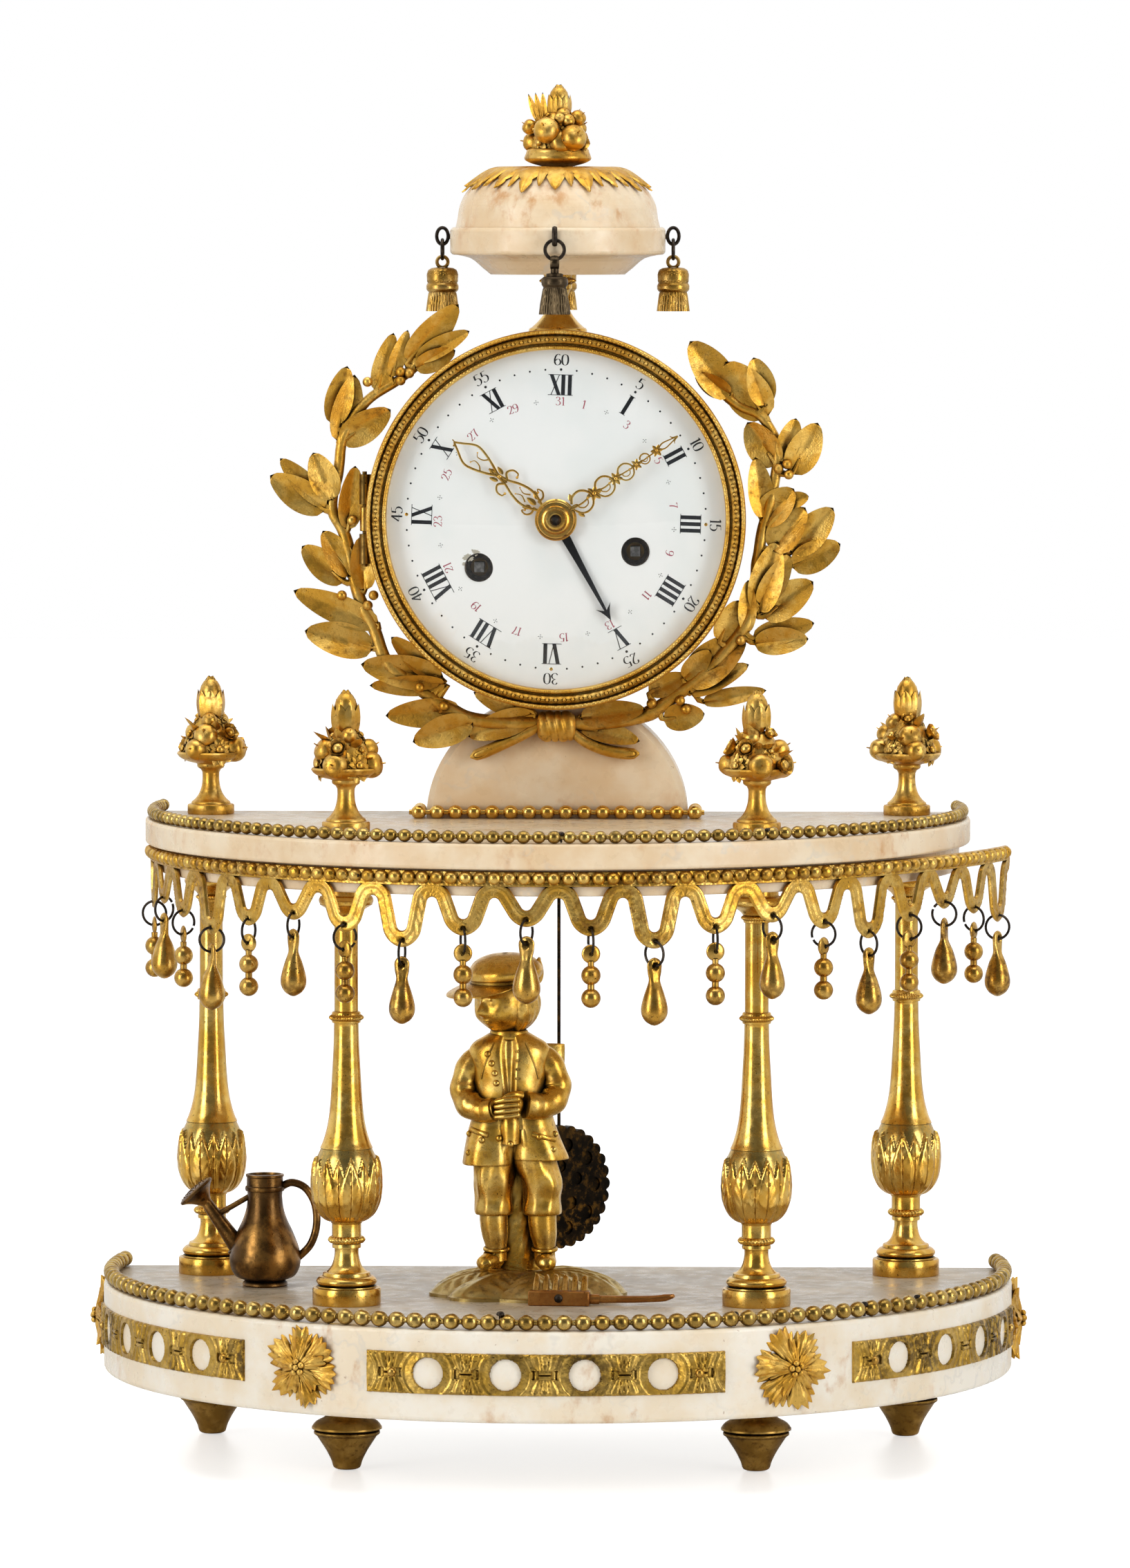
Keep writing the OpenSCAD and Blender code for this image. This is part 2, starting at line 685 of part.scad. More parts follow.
module bead_pendant() {
    eye_r = 2.85;
    first = eye_r + 3.6;
    wire_ring(ring_radius, ring_wire);
    translate([0, -2 * ring_radius, 0]) difference() {
        union() {
            eye(eye_r, 1.6);
            translate([0, -first, 0]) sphere(ball_dia / 2, $fn = 32);
            translate([0, -first - ball_gap, 0]) sphere(ball_dia / 2, $fn = 32);
            translate([0, -1.5, 0]) rotate([90, 0, 0]) cylinder(r = 1, h = first + ball_gap - 2);
        }
        eye_hole();
    }
}

// Pear drops hang on the even dips and bead pendants on the odd ones
module pear_drop(k) color(dark_gilt) on_plan() on_band(dip_place(2 * k), hole_z(2 * k)) pear_pendant();
module bead_drop(k) color(dark_gilt) on_plan() on_band(dip_place(2 * k - 1), hole_z(2 * k - 1)) bead_pendant();

// Outline of the dome, a half ellipse, shrunk by a margin
function dome_arc(margin) = [
    for (i = [0:40]) let (a = i * 4.5) [(dome_half - margin) * cos(a), (dome_h - margin) * sin(a)]
];

module dome_slice(margin, y) translate([0, y, plateau_top])
    rotate([90, 0, 0]) linear_extrude(0.4) polygon(dome_arc(margin));

module dome_block() color(marble) on_plan() difference() {
    hull() {
        dome_slice(2, -dome_front + 0.4);
        dome_slice(0, -dome_front + 2.6);
        dome_slice(0, dome_rear - 2.2);
        dome_slice(2, dome_rear);
    }
    on_dial(drum_rear) cylinder(r = drum_radius, h = drum_rear + drum_front + 1);
}

// The dome's rail: a straight row of beads in front that turns the two corners
module dome_bead_rail() color(gilt) on_plan() {
    front_y = -dome_front - dome_bead / 2 - 0.1;
    side_x = dome_half + dome_bead / 2 + 0.3;
    side_len = dome_front;
    count = round(2 * side_x / dome_bead_pitch);
    step = 2 * side_x / count;
    side_count = floor(side_len / step);
    translate([0, 0, plateau_top + dome_bead / 2]) {
        for (i = [0:count])
            translate([-side_x + i * step, front_y, 0]) rail_bead(dome_bead);
        for (i = [0:count - 1])
            translate([-side_x + (i + 0.5) * step, front_y, 0]) rail_pin(dome_bead, step);
        for (side = [-1, 1])
            for (i = [1:side_count]) {
                translate([side * side_x, front_y + i * step, 0]) rotate([0, 0, 90]) rail_bead(dome_bead);
                translate([side * side_x, front_y + (i - 0.5) * step, 0]) rotate([0, 0, 90])
                    rail_pin(dome_bead, step);
            }
    }
}

hinge_x = -(bezel_radius + 0.7);
hinge_y = -19;
knuckle = 1.9;
pin_r = 0.8;
knuckle_h = hinge_h / 3;
knuckle_gap = 0.2;

// One knuckle of the hinge with the flap that carries it, from a height over the dial's centre
module hinge_knuckle(z, h, flap_x, flap_y) {
    translate([hinge_x, hinge_y, dial_z + z]) cylinder(r = knuckle, h = h);
    translate([hinge_x, min(hinge_y - 0.8, flap_y), dial_z + z])
        cube([flap_x - hinge_x, max(hinge_y + 0.8, flap_y) - min(hinge_y - 0.8, flap_y), h]);
}

module drum_case() color(dark_gilt) on_plan() {
    length = drum_front + drum_rear;
    slot_half = (dial_z + pivot_rise - (dial_z - drum_radius)) * tan(pendulum_swing) + pendulum_rod + 1.5;
    difference() {
        union() {
            on_dial(drum_rear) cylinder(r = drum_radius, h = length);
            for (z = [-hinge_h / 2, hinge_h / 2 - knuckle_h])
                hinge_knuckle(z, knuckle_h, -drum_radius + 3, hinge_y + 1);
        }
        on_dial(drum_rear + 1) cylinder(r = drum_inner, h = length + 2);
        translate([-slot_half, pendulum_y - 2.5, dial_z - drum_radius - 3]) cube([2 * slot_half, 5, 8]);
        translate([hinge_x, hinge_y, dial_z - hinge_h]) cylinder(r = pin_r, h = 2 * hinge_h);
    }
    translate([hinge_x, hinge_y, dial_z - hinge_h / 2 - 1]) cylinder(r = pin_r, h = hinge_h + 2);
}

// Section of the bezel: back plate, two rounded mouldings and the lip that holds the glass
bezel_back = drum_front + 0.25;
module bezel_profile() {
    lip = 0.55;
    body_w = bezel_radius - sight_radius;
    glass_seat = sight_radius + 1.9;
    difference() {
        union() {
            translate([sight_radius, 0]) square([body_w - 1, bezel_depth * 0.55]);
            translate([sight_radius + body_w * 0.68, bezel_depth * 0.3]) square([body_w * 0.32 - 0.4, bezel_depth * 0.2]);
            translate([bezel_radius - 2, bezel_depth * 0.36]) circle(2);
            translate([sight_radius + 2.6, bezel_depth * 0.62]) circle(2.2);
            translate([sight_radius, bezel_depth * 0.4]) square([2, bezel_depth * 0.6 - 1]);
        }
        translate([0, -1]) square([glass_seat, bezel_depth - lip - 1.4]);
    }
}

module bezel() color(gilt) on_plan() {
    difference() {
        union() {
            on_dial(-bezel_back) rotate_extrude() bezel_profile();
            hinge_knuckle(-knuckle_h / 2 + knuckle_gap, knuckle_h - 2 * knuckle_gap, -drum_radius - 0.4,
                -bezel_back - 1);
        }
        translate([hinge_x, hinge_y, dial_z - hinge_h]) cylinder(r = pin_r + run_clear, h = 2 * hinge_h);
    }
    // The catch knob on the right side
    translate([bezel_radius - 1, -bezel_back - 2.4, dial_z]) rotate([0, 90, 0]) {
        cylinder(r = 0.8, h = 2.4);
        translate([0, 0, 3]) sphere(1.3, $fn = 24);
    }
}

// A domed shell: part of a thin sphere with a given edge radius, rise and thickness
module domed_shell(r, sag, thick) {
    ball = (r * r + sag * sag) / (2 * sag);
    edge = asin(r / ball);
    steps = 12;
    outer = [for (i = [0:steps]) let (a = edge * i / steps) [ball * sin(a), ball * cos(a) - ball + sag]];
    inner = [for (i = [steps:-1:0]) let (a = edge * i / steps) [ball * sin(a), ball * cos(a) - ball + sag - thick]];
    rotate_extrude() polygon(concat(outer, inner));
}

module bezel_glass() color("#dfe9ec", 0.35) on_plan()
    on_dial(-bezel_back - bezel_depth + 2.65 + glass_thick) domed_shell(sight_radius + 1.75, glass_sag, glass_thick);

WINDERS = [[-wind_left_x, -wind_left_z], [wind_right_x, -wind_right_z]];
hour_pipe_in = arbor_radius + run_clear;
hour_pipe = hour_pipe_in + pipe_wall;
date_pipe_in = hour_pipe + run_clear;
date_pipe = date_pipe_in + pipe_wall;
dial_edge_y = drum_front - 0.4;
dial_middle_y = dial_edge_y + dial_sag;
plate_front_y = plate_gap / 2 + plate_thick;

// The enamel dial: a thin domed disc with its centre hole, two winding holes and three feet
module dial() color(enamel) on_plan() on_dial(-dial_edge_y) {
    foot_at = plate_radius - 6;
    difference() {
        union() {
            domed_shell(drum_inner - 0.25, dial_sag, dial_thick);
            for (a = [30, 150, 270])
                rotate([0, 0, a]) translate([foot_at, 0, -dial_edge_y + plate_front_y])
                    cylinder(r = 1.5, h = dial_edge_y - plate_front_y + dial_sag * 0.2);
        }
        translate([0, 0, -3]) cylinder(r = date_pipe + 0.5, h = 10);
        for (w = WINDERS) translate([w[0], w[1], -3]) cylinder(r = wind_hole, h = 10);
    }
}

MOTION_DOWN = -wheel_distance;
stud_r = 0.8;

// Two round plates with pillars, the motion-work stud, and the pin that the pendulum hangs on
module movement_plates() color(brass_inner) on_plan() {
    pillar_at = plate_radius - 5;
    pin_len = pendulum_y - plate_front_y + 3.4;
    difference() {
        union() {
            for (y = [-plate_gap / 2, plate_gap / 2 + plate_thick])
                on_dial(y) cylinder(r = plate_radius, h = plate_thick);
            for (a = [70, 110, 242, 308])
                on_dial(plate_gap / 2 + little) rotate([0, 0, a]) translate([pillar_at, 0, 0])
                    cylinder(r = 3, h = plate_gap + 2 * little);
        }
        on_dial(plate_front_y + 1) cylinder(r = hour_pipe_in, h = 2 * plate_front_y + 2);
        for (w = WINDERS)
            on_dial(plate_front_y + 1) translate([w[0], w[1], 0])
                cylinder(r = 1.6 + run_clear, h = 2 * plate_front_y + 2);
    }
    on_dial(-plate_front_y + little) translate([0, MOTION_DOWN, 0]) cylinder(r = stud_r, h = 7.6);
    on_dial(plate_front_y + pin_len) translate([0, pivot_rise, 0]) {
        cylinder(r = stud_r, h = pin_len + little);
        cylinder(r = 1.6, h = 1);
    }
}

// Outline of a clock wheel with tapered teeth; a tooth points along +X
module toothed(teeth, pitch_r) {
    m = 2 * pitch_r / teeth;
    arc = 360 / teeth;
    polygon([
        for (i = [0:teeth - 1])
            for (k = [[-0.30, -1.2], [-0.17, 0], [-0.07, 0.78], [0.07, 0.78], [0.17, 0], [0.30, -1.2]])
                let (a = (i + k[0]) * arc, r = pitch_r + k[1] * m)
                [r * cos(a), r * sin(a)]
    ]);
}

cannon_teeth = 12;
minute_wheel_teeth = 36;
pinion_teeth = 10;
hour_wheel_teeth = 40;
lower_mesh_y = 11.8;
upper_mesh_y = 15;
wheel_thick = 1.6;
function pitch_of(teeth, mate) = wheel_distance * teeth / (teeth + mate);

module minute_wheel() color(brass_inner) on_plan() on_dial(-lower_mesh_y) translate([0, MOTION_DOWN, 0])
    difference() {
        union() {
            rotate([0, 0, 90 + 180 / minute_wheel_teeth]) linear_extrude(wheel_thick)
                toothed(minute_wheel_teeth, pitch_of(minute_wheel_teeth, cannon_teeth));
            cylinder(r = 1.6, h = upper_mesh_y - lower_mesh_y + 1);
            translate([0, 0, upper_mesh_y - lower_mesh_y]) rotate([0, 0, 90 + 180 / pinion_teeth])
                linear_extrude(wheel_thick) toothed(pinion_teeth, pitch_of(pinion_teeth, hour_wheel_teeth));
        }
        translate([0, 0, -1]) cylinder(r = stud_r + run_clear, h = 10);
    }

date_hand_y = dial_middle_y + 0.8;
hour_hand_y = date_hand_y + 1.3;
minute_hand_y = hour_hand_y + 1.5;
hand_thick = 0.6;

// A pierced hand: a slim blade with two eyes and a loop at the tip, pointing along +Y
module pierced_blade(length, width) linear_extrude(hand_thick) difference() {
    union() {
        polygon([[-width * 0.16, 0], [-width * 0.1, length * 0.8], [0, length], [width * 0.1, length * 0.8],
            [width * 0.16, 0]]);
        for (part = [0.22, 0.4]) translate([0, length * part]) circle(width * 0.5);
        translate([0, length * 0.66]) leaf_outline(length * 0.26, width * 0.8);
    }
    for (part = [0.22, 0.4]) translate([0, length * part]) circle(width * 0.26);
    translate([0, length * 0.7]) leaf_outline(length * 0.16, width * 0.34);
}

module minute_hand() color(gilt) on_plan() {
    on_dial(-minute_hand_y) {
        rotate([0, 0, -minute_angle]) pierced_blade(minute_len, 7);
        cylinder(r = 4.6, h = 1.2);
        cylinder(r = 2.4, h = 2.4);
    }
    on_dial(plate_front_y - 0.4) cylinder(r = arbor_radius, h = minute_hand_y + plate_front_y);
    on_dial(-lower_mesh_y) rotate([0, 0, 270]) linear_extrude(wheel_thick)
        toothed(cannon_teeth, pitch_of(cannon_teeth, minute_wheel_teeth));
}

module hour_hand() color(gilt) on_plan() difference() {
    union() {
        on_dial(-hour_hand_y) {
            rotate([0, 0, -hour_angle]) pierced_blade(hour_len, 9);
            cylinder(r = 6.9, h = 0.9);
        }
        on_dial(-upper_mesh_y) {
            cylinder(r = hour_pipe, h = hour_hand_y - upper_mesh_y + little);
            rotate([0, 0, 270]) linear_extrude(wheel_thick)
                toothed(hour_wheel_teeth, pitch_of(hour_wheel_teeth, pinion_teeth));
        }
    }
    on_dial(-upper_mesh_y + 1) cylinder(r = hour_pipe_in, h = hour_hand_y);
}

module date_hand() color(blued) on_plan() difference() {
    arrow = 6.5;
    union() {
        on_dial(-date_hand_y) {
            rotate([0, 0, -date_angle]) linear_extrude(hand_thick) {
                polygon([[-1.6, 0], [-0.5, date_len - 3], [0.5, date_len - 3], [1.6, 0]]);
                polygon([[-2.2, date_len - arrow], [0, date_len], [2.2, date_len - arrow], [0, date_len - arrow + 1.6]]);
            }
            cylinder(r = 5, h = hand_thick);
        }
        on_dial(-dial_edge_y + 2.4) {
            cylinder(r = date_pipe, h = date_hand_y - dial_edge_y + 2.5);
            cylinder(r = 7, h = 0.9);
        }
    }
    on_dial(0) cylinder(r = date_pipe_in, h = minute_hand_y);
}

// A spring barrel on its winding arbor, with a square for the key
module barrel(w) {
    drum_h = plate_gap - 3;
    square_from = plate_front_y + 4;
    on_dial(plate_front_y - 0.4) translate([w[0], w[1], 0]) {
        cylinder(r = 1.6, h = plate_front_y + square_from);
        translate([0, 0, plate_thick + 1.1]) cylinder(r = barrel_radius, h = drum_h);
        translate([0, 0, plate_front_y + square_from - 0.2]) translate([-wind_square / 2, -wind_square / 2, 0])
            cube([wind_square, wind_square, dial_edge_y - square_from - 0.2]);
    }
}

module going_barrel() color(brass_inner) on_plan() barrel(WINDERS[1]);
module strike_barrel() color(brass_inner) on_plan() barrel(WINDERS[0]);

// The pierced bob: a scalloped disc with round holes, turned a little about its rod
module bob() linear_extrude(bob_thick) difference() {
    union() {
        circle(bob_radius - 1.4);
        for (i = [0:27]) rotate(i * 360 / 28) translate([bob_radius - 2.2, 0]) circle(2.2);
    }
    for (i = [0:8]) rotate(i * 40) translate([bob_radius * 0.68, 0]) circle(2.5);
    for (i = [0:4]) rotate(i * 72 + 20) translate([bob_radius * 0.34, 0]) circle(2.3);
}

module pendulum() color(blued) on_plan() {
    eye_r = 2.4;
    difference() {
        on_dial(pendulum_y + 1) translate([0, pivot_rise, 0]) cylinder(r = eye_r, h = 2);
        on_dial(pendulum_y + 3) translate([0, pivot_rise, 0]) cylinder(r = stud_r + run_clear, h = 6);
    }
    translate([0, pendulum_y, dial_z + pivot_rise - pendulum_len])
        cylinder(r = pendulum_rod, h = pendulum_len - eye_r + 0.6);
    translate([0, pendulum_y, dial_z + pivot_rise - pendulum_len]) rotate([0, 0, bob_turn])
        rotate([90, 0, 0]) translate([0, 0, -bob_thick / 2]) bob();
}

// The bell on its post behind the back plate
module bell() color(brass_inner) on_plan() {
    bell_x = 16;
    bell_rise = 7;
    bell_depth = 8.4;
    post_len = drum_rear - plate_front_y - 0.6;
    on_dial(plate_front_y + post_len) translate([bell_x, bell_rise, 0]) {
        mirror([0, 0, 1]) translate([0, 0, -bell_depth - 0.6]) domed_shell(bell_radius, bell_depth, 1.3);
        cylinder(r = 2, h = post_len);
        cylinder(r = 3.4, h = 1.6);
    }
}

stem_r = 1.5;
leaf_thick = 1.5;
// The wreath's stems pass just in front of the dome's face
wreath_y = dome_front + stem_r + 0.3;

// One laurel branch, from the bow upwards; side is -1 for the left branch and 1 for the right one
module branch(side, reach) {
    count = round(reach / 16);
    on_dial(-wreath_y + stem_r) mirror([side < 0 ? 1 : 0, 0, 0]) {
        translate([0, 0, stem_r]) rotate([0, 0, -90]) rotate_extrude(angle = reach - 6.4)
            translate([wreath_radius, 0]) circle(stem_r);
        for (i = [0:count - 1])
            let (a = 12 + i * (reach - 20) / (count - 1))
            rotate([0, 0, a - 90]) translate([wreath_radius, 0, 0])
                for (k = [0:2])
                    rotate([0, 0, [-46, -22, 4][k]])
                        translate([0, 0, [1.9, 0.8, -0.4][k]])
                            linear_extrude(leaf_thick)
                                leaf_outline(leaf_len * (1 - i * 0.015) * [0.92, 1, 0.9][k], leaf_w * [0.9, 1, 0.86][k]);
    }
}

module laurel_wreath() color(gilt) on_plan() difference() {
    bow_h = 15;
    union() {
        branch(-1, 156);
        branch(1, 146);
        // The ribbon bow at the bottom, with the two cut stems
        on_dial(-wreath_y - 1) translate([0, -wreath_radius, 0]) rotate([0, 90, 0])
            translate([0, 0, -bow_h / 2]) cylinder(r = 4.4, h = bow_h);
        for (side = [-1, 1])
            on_dial(-wreath_y - 0.6) translate([0, -wreath_radius, 0]) rotate([0, 0, side * 62 + 180])
                translate([0, -4, -1]) linear_extrude(2.4) leaf_outline(26, 8);
        // Pins that hold the wreath to the drum
        for (a = [48, 118, 242, 312])
            on_dial(-wreath_y) rotate([0, 0, a + 180]) rotate([90, 0, 0])
                translate([0, 0, drum_radius - 0.6]) cylinder(r = 1, h = wreath_radius - drum_radius + 0.6);
    }
    on_dial(drum_rear) cylinder(r = drum_radius, h = drum_rear + drum_front);
    translate([-dome_half, -dome_front - 0.02, plateau_top]) cube([2 * dome_half, 2 * dome_front, dome_h]);
}

drum_top = dial_z + drum_radius;
vase_bottom = drum_top + vase_stem_h;
vase_top = vase_bottom + vase_h;
stud_hole = 2;

module vase_stem() color(gilt) on_plan() difference() {
    translate([0, 0, drum_top]) {
        translate([0, 0, -1.6]) cylinder(r = 9.7, h = 4.4);
        turned([[9.2, 2.8 - little], [6.6, 4.6], [4.2, 9.4], [3.7, 13.4], [4.6, 16.2]]);
        translate([0, 0, 16.1]) rounded_disc(6.6, 2.6);
        translate([0, 0, 18.6]) cylinder(r1 = 5, r2 = 8, h = vase_stem_h - 18.6);
    }
    on_dial(drum_rear) cylinder(r = drum_radius, h = drum_rear + drum_front);
    translate([0, 0, vase_bottom - 8]) cylinder(r = stud_hole, h = 9);
}

// The marble vase: a tapered foot, a wide rim and rounded shoulders
module vase() color(marble) on_plan() difference() {
    rim = vase_rim_radius;
    translate([0, 0, vase_bottom]) {
        turned([[23.4, 0], [26.1, 2.2], [30.3, 5.6], [rim - 1.6, 6.9]], 3);
        translate([0, 0, 6.8]) rotate_extrude() slab_profile(rim, 9.6, 1.5);
        turned([[rim - 1.9, 16.3], [rim - 2.6, 19.5], [rim - 3.4, 24], [rim - 5.6, 28.4], [rim - 9.4, 32.4],
            [22.6, vase_h]], 4);
    }
    translate([0, 0, vase_bottom - 1]) cylinder(r = stud_hole, h = vase_h + 2);
    // Holes for the tassel hooks
    for (a = [0, 90, 180, 270])
        facing_out(a, rim - 6, vase_bottom + 11.6) cylinder(r = 0.9, h = 10);
}

tassel_z = vase_bottom + 12;
tassel_ring = 3.3;
tassel_wire = 0.8;

// The crown of leaves on the vase's shoulder, and the four hook eyes in its rim
module vase_mounts() color(gilt) on_plan() {
    leaves = 18;
    crown_in = 20.6;
    slope = 24;
    translate([0, 0, vase_top]) difference() {
        union() {
            cylinder(r = 22, h = 0.9);
            for (i = [0:leaves - 1])
                rotate([0, 0, i * 360 / leaves]) translate([0, crown_in, 0.9]) rotate([-slope, 0, 0])
                    translate([0, 0, -1]) linear_extrude(1) leaf_outline(12.6, 6.6);
        }
        translate([0, 0, -little]) cylinder(r = 12, h = 3);
        translate([0, 0, -vase_h]) vase_shoulder();
    }
    for (a = [0, 90, 180, 270])
        facing_out(a, 0, tassel_z) hook_eye();
}

// The vase's upper part, as a solid that the crown of leaves rests on
module vase_shoulder() turned([[vase_rim_radius - 1.9, 16.3], [vase_rim_radius - 2.6, 19.5],
    [vase_rim_radius - 3.4, 24], [vase_rim_radius - 5.6, 28.4], [vase_rim_radius - 9.4, 32.4], [22.6, vase_h]], 4);

// A hook eye: a shank in the vase's rim and a flat eye that the tassel's ring hangs in
module hook_eye() {
    translate([0, -0.4, vase_rim_radius - 5.5]) cylinder(r = 0.85, h = tassel_reach - vase_rim_radius + 3.9);
    translate([-0.8, 0, tassel_reach]) rotate([0, 90, 0]) difference() {
        cylinder(r = 2, h = 1.6);
        translate([0, 0, -1]) cylinder(r = tassel_wire + 0.4, h = 4);
    }
}

// A tassel on its ring, in the frame of the hook's eye: +Y up, +Z outwards, the ring facing the viewer
module tassel_body() {
    drop = 2 * tassel_ring;
    translate([0, -tassel_ring, 0]) rotate_extrude() translate([tassel_ring, 0]) circle(tassel_wire);
    translate([0, -drop, 0]) {
        rotate([0, 90, 0]) translate([0, 0, -0.8]) difference() {
            cylinder(r = 2.6, h = 1.6);
            translate([0, 0, -1]) cylinder(r = tassel_wire + 0.4, h = 4);
        }
        rotate([90, 0, 0]) {
            translate([0, 0, 2.1]) cylinder(r1 = 2.2, r2 = 5, h = 1.4);
            translate([0, 0, 3.4]) rounded_disc(5.4, 2.6);
            turned([[5, 5.8], [3.9, 7.4], [4.1, 8.6], [4.9, 12], [tassel_skirt, 16.8]], 3);
        }
    }
}

module tassel(a, finish) color(finish) on_plan() facing_out(a, tassel_reach, tassel_z) tassel_body();

module tassel_front() tassel(0, dark_bronze);
module tassel_right() tassel(90, gilt);
module tassel_rear() tassel(180, gilt);
module tassel_left() tassel(270, gilt);

module vase_finial() color(gilt) on_plan() translate([0, 0, vase_top]) {
    translate([0, 0, -vase_h - 6]) cylinder(r = stud_hole - 0.2, h = vase_h + 7);
    cylinder(r = 11.4, h = 1.2);
    bouquet(13.4, vase_finial_h);
}

// A limb between two points, each with its own radius
module limb(a, b, ra, rb) hull() {
    translate(a) sphere(ra, $fn = 18);
    translate(b) sphere(rb, $fn = 18);
}

// The gardener: a boy in coat and breeches before a stump, hands clasped, cap on his head.
// Its own frame has its feet at the origin, one unit being a hundredth of its standing height.
module gardener() color(gilt) on_plan() translate([-figure_x, -figure_y, base_top]) {
    mound_h = 9;
    mound_r = 27.5;
    mound_cap = mound_h + 1.6;
    mound_ball = (mound_r * mound_r + mound_cap * mound_cap) / (2 * mound_cap);
    unit = (figure_h - mound_h) / 100;
    // The leafy mound, wider than it is deep
    intersection() {
        translate([2, -1, mound_cap - mound_ball]) scale([1.28, 1, 1]) sphere(mound_ball, $fn = 48);
        translate([-60, -60, 0]) cube([120, 120, mound_h]);
    }
    translate([0, 0, mound_h]) scale(unit) {
        for (side = [-1, 1]) {
            limb([side * 9, -4.4, 2], [side * 8, 0, 2.6], 2.6, 3.2);
            limb([side * 8, 0, 4], [side * 7.6, 0.6, 20], 3.3, 4.4);
            limb([side * 7.6, 0.4, 22], [side * 6, 1, 40], 5, 6.2);
        }
        // The stump behind the legs
        limb([0, 7, 0], [0, 7, 34], 7, 5.4);
        // Coat skirts, body, arms and clasped hands
        limb([-6, 1, 36], [-5, 1, 48], 8, 7.4);
        limb([6, 1, 36], [5, 1, 48], 8, 7.4);
        limb([0, 1, 48], [0, 1, 64], 9, 9.2);
        for (side = [-1, 1]) {
            limb([side * 9, 1.4, 67], [side * 14.4, 0, 54], 4.6, 4.4);
            limb([side * 14.4, 0, 53], [side * 3.4, -9.4, 51], 4.2, 3.4);
        }
        limb([-2.6, -10, 51], [2.6, -10, 51], 3, 3);
        // Neck, head and hair
        limb([0, 1, 70], [0, 0.6, 77], 4.6, 4);
        limb([-0.6, -0.6, 82], [-0.6, 0.4, 86], 6.6, 7);
        limb([0.6, 3, 78], [0.4, 2.4, 88], 6, 6.6);
        // Cap with its brim
        limb([-4, -1, 93.6], [6, 1, 94], 5.4, 5.8);
        hull() {
            translate([-8, -4, 90.6]) rotate([0, 18, 0]) cylinder(r = 6.4, h = 1.4, $fn = 20);
            translate([4, 0, 90.6]) cylinder(r = 9, h = 1.6, $fn = 20);
        }
    }
}

// The watering can: a pear-shaped body with neck, spout, rose, brace and handle
module watering_can() color(dark_bronze) on_plan() translate([-can_x, -can_y, base_top]) {
    spout_foot = [-7, 0, 11];
    spout_top = [-20.5, 0, 29];
    difference() {
        union() {
            turned([[7.6, 0], [7.4, 1.6], [11, 3.6], [12.2, 8], [11.8, 13], [9, 20.6], [6.4, 27], [6, 32], [6.3, 34]], 4);
            translate([0, 0, 33.9]) cylinder(r = 6.5, h = can_h - 33.9);
        }
        translate([0, 0, can_h - 0.7]) cylinder(r = 5.6, h = 2);
    }
    bar(spout_foot, spout_top, 3.4, 2.2);
    bar(spout_top + [0.9, 0, -1.2], spout_top + [-3.4, 0, 5], 1.8, 6.6);
    bar(spout_top + [-3.4, 0, 5], spout_top + [-3.9, 0, 5.7], 6.9, 6.9);
    bar([-5, 0, 31.5], spout_top + [3.4, 0, -3], 1.1, 1);
    translate([3, 0, 20.5]) rotate([90, 0, 0]) rotate([0, 0, -62]) rotate_extrude(angle = 152)
        translate([14.6, 0]) circle(1.3);
}

// A round bar or cone between two points
module bar(a, b, ra, rb) {
    d = b - a;
    translate(a) rotate([0, acos(d[2] / norm(d)), atan2(d[1], d[0])]) cylinder(r1 = ra, r2 = rb, h = norm(d));
}

// The rake that lies before the mound: head, six teeth, pin and handle
module rake() color(dark_gilt) on_plan() translate([2, -figure_y - 33.4, base_top]) rotate([0, 0, 7]) {
    head = [20, 5, 4.6];
    handle_r = 1.6;
    tooth_step = 3.1;
    translate([-head[0] / 2, 0, 0.4]) rotate([0, 0, -12]) {
        translate([0, 0, -0.4]) cube([head[0], head[1], head[2]]);
        for (i = [0:5])
            translate([2.2 + i * tooth_step, head[1] - 0.1, 3]) rotate([-64, 0, 0]) cylinder(r1 = 1, r2 = 0.5, h = 7.4);
        translate([head[0] / 2, 0.2, 2.4]) rotate([90, 0, 0]) cylinder(r = 1.3, h = 1.2);
        translate([head[0] / 2, head[1] / 2, handle_r - 0.4]) rotate([0, 90, 10])
            cylinder(r = handle_r, h = rake_len - head[0] / 2);
    }
}

base_slab();
base_bead_rail();
frieze_panels();
base_rosettes();
feet();
column_front_left();
column_front_right();
column_rear_left();
column_rear_right();
column_finials();
plateau_slab();
plateau_bead_rail();
fringe_band();
for (k = [1:10]) {
    pear_drop(k);
    bead_drop(k);
}
dome_block();
dome_bead_rail();
drum_case();
bezel();
bezel_glass();
dial();
movement_plates();
minute_wheel();
minute_hand();
hour_hand();
date_hand();
going_barrel();
strike_barrel();
pendulum();
bell();
laurel_wreath();
vase_stem();
vase();
vase_mounts();
vase_finial();
tassel_left();
tassel_right();
tassel_front();
tassel_rear();
gardener();
watering_can();
rake();
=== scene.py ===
# %% [markdown]
# # Dressing a portico clock
# The clock is a half-round marble stage: four gilt columns carry a second slab with a swinging
# fringe, and on it stand a marble dome, the drum of the clock in a laurel wreath, and a vase.
# Its solids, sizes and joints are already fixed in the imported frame. This lesson gives every
# visible piece the shape and finish that a founder, a turner and a marble worker gave it.
# We load the frame first, because every size below is read from it and not typed in again.

# %% Load the frame
import json
import math

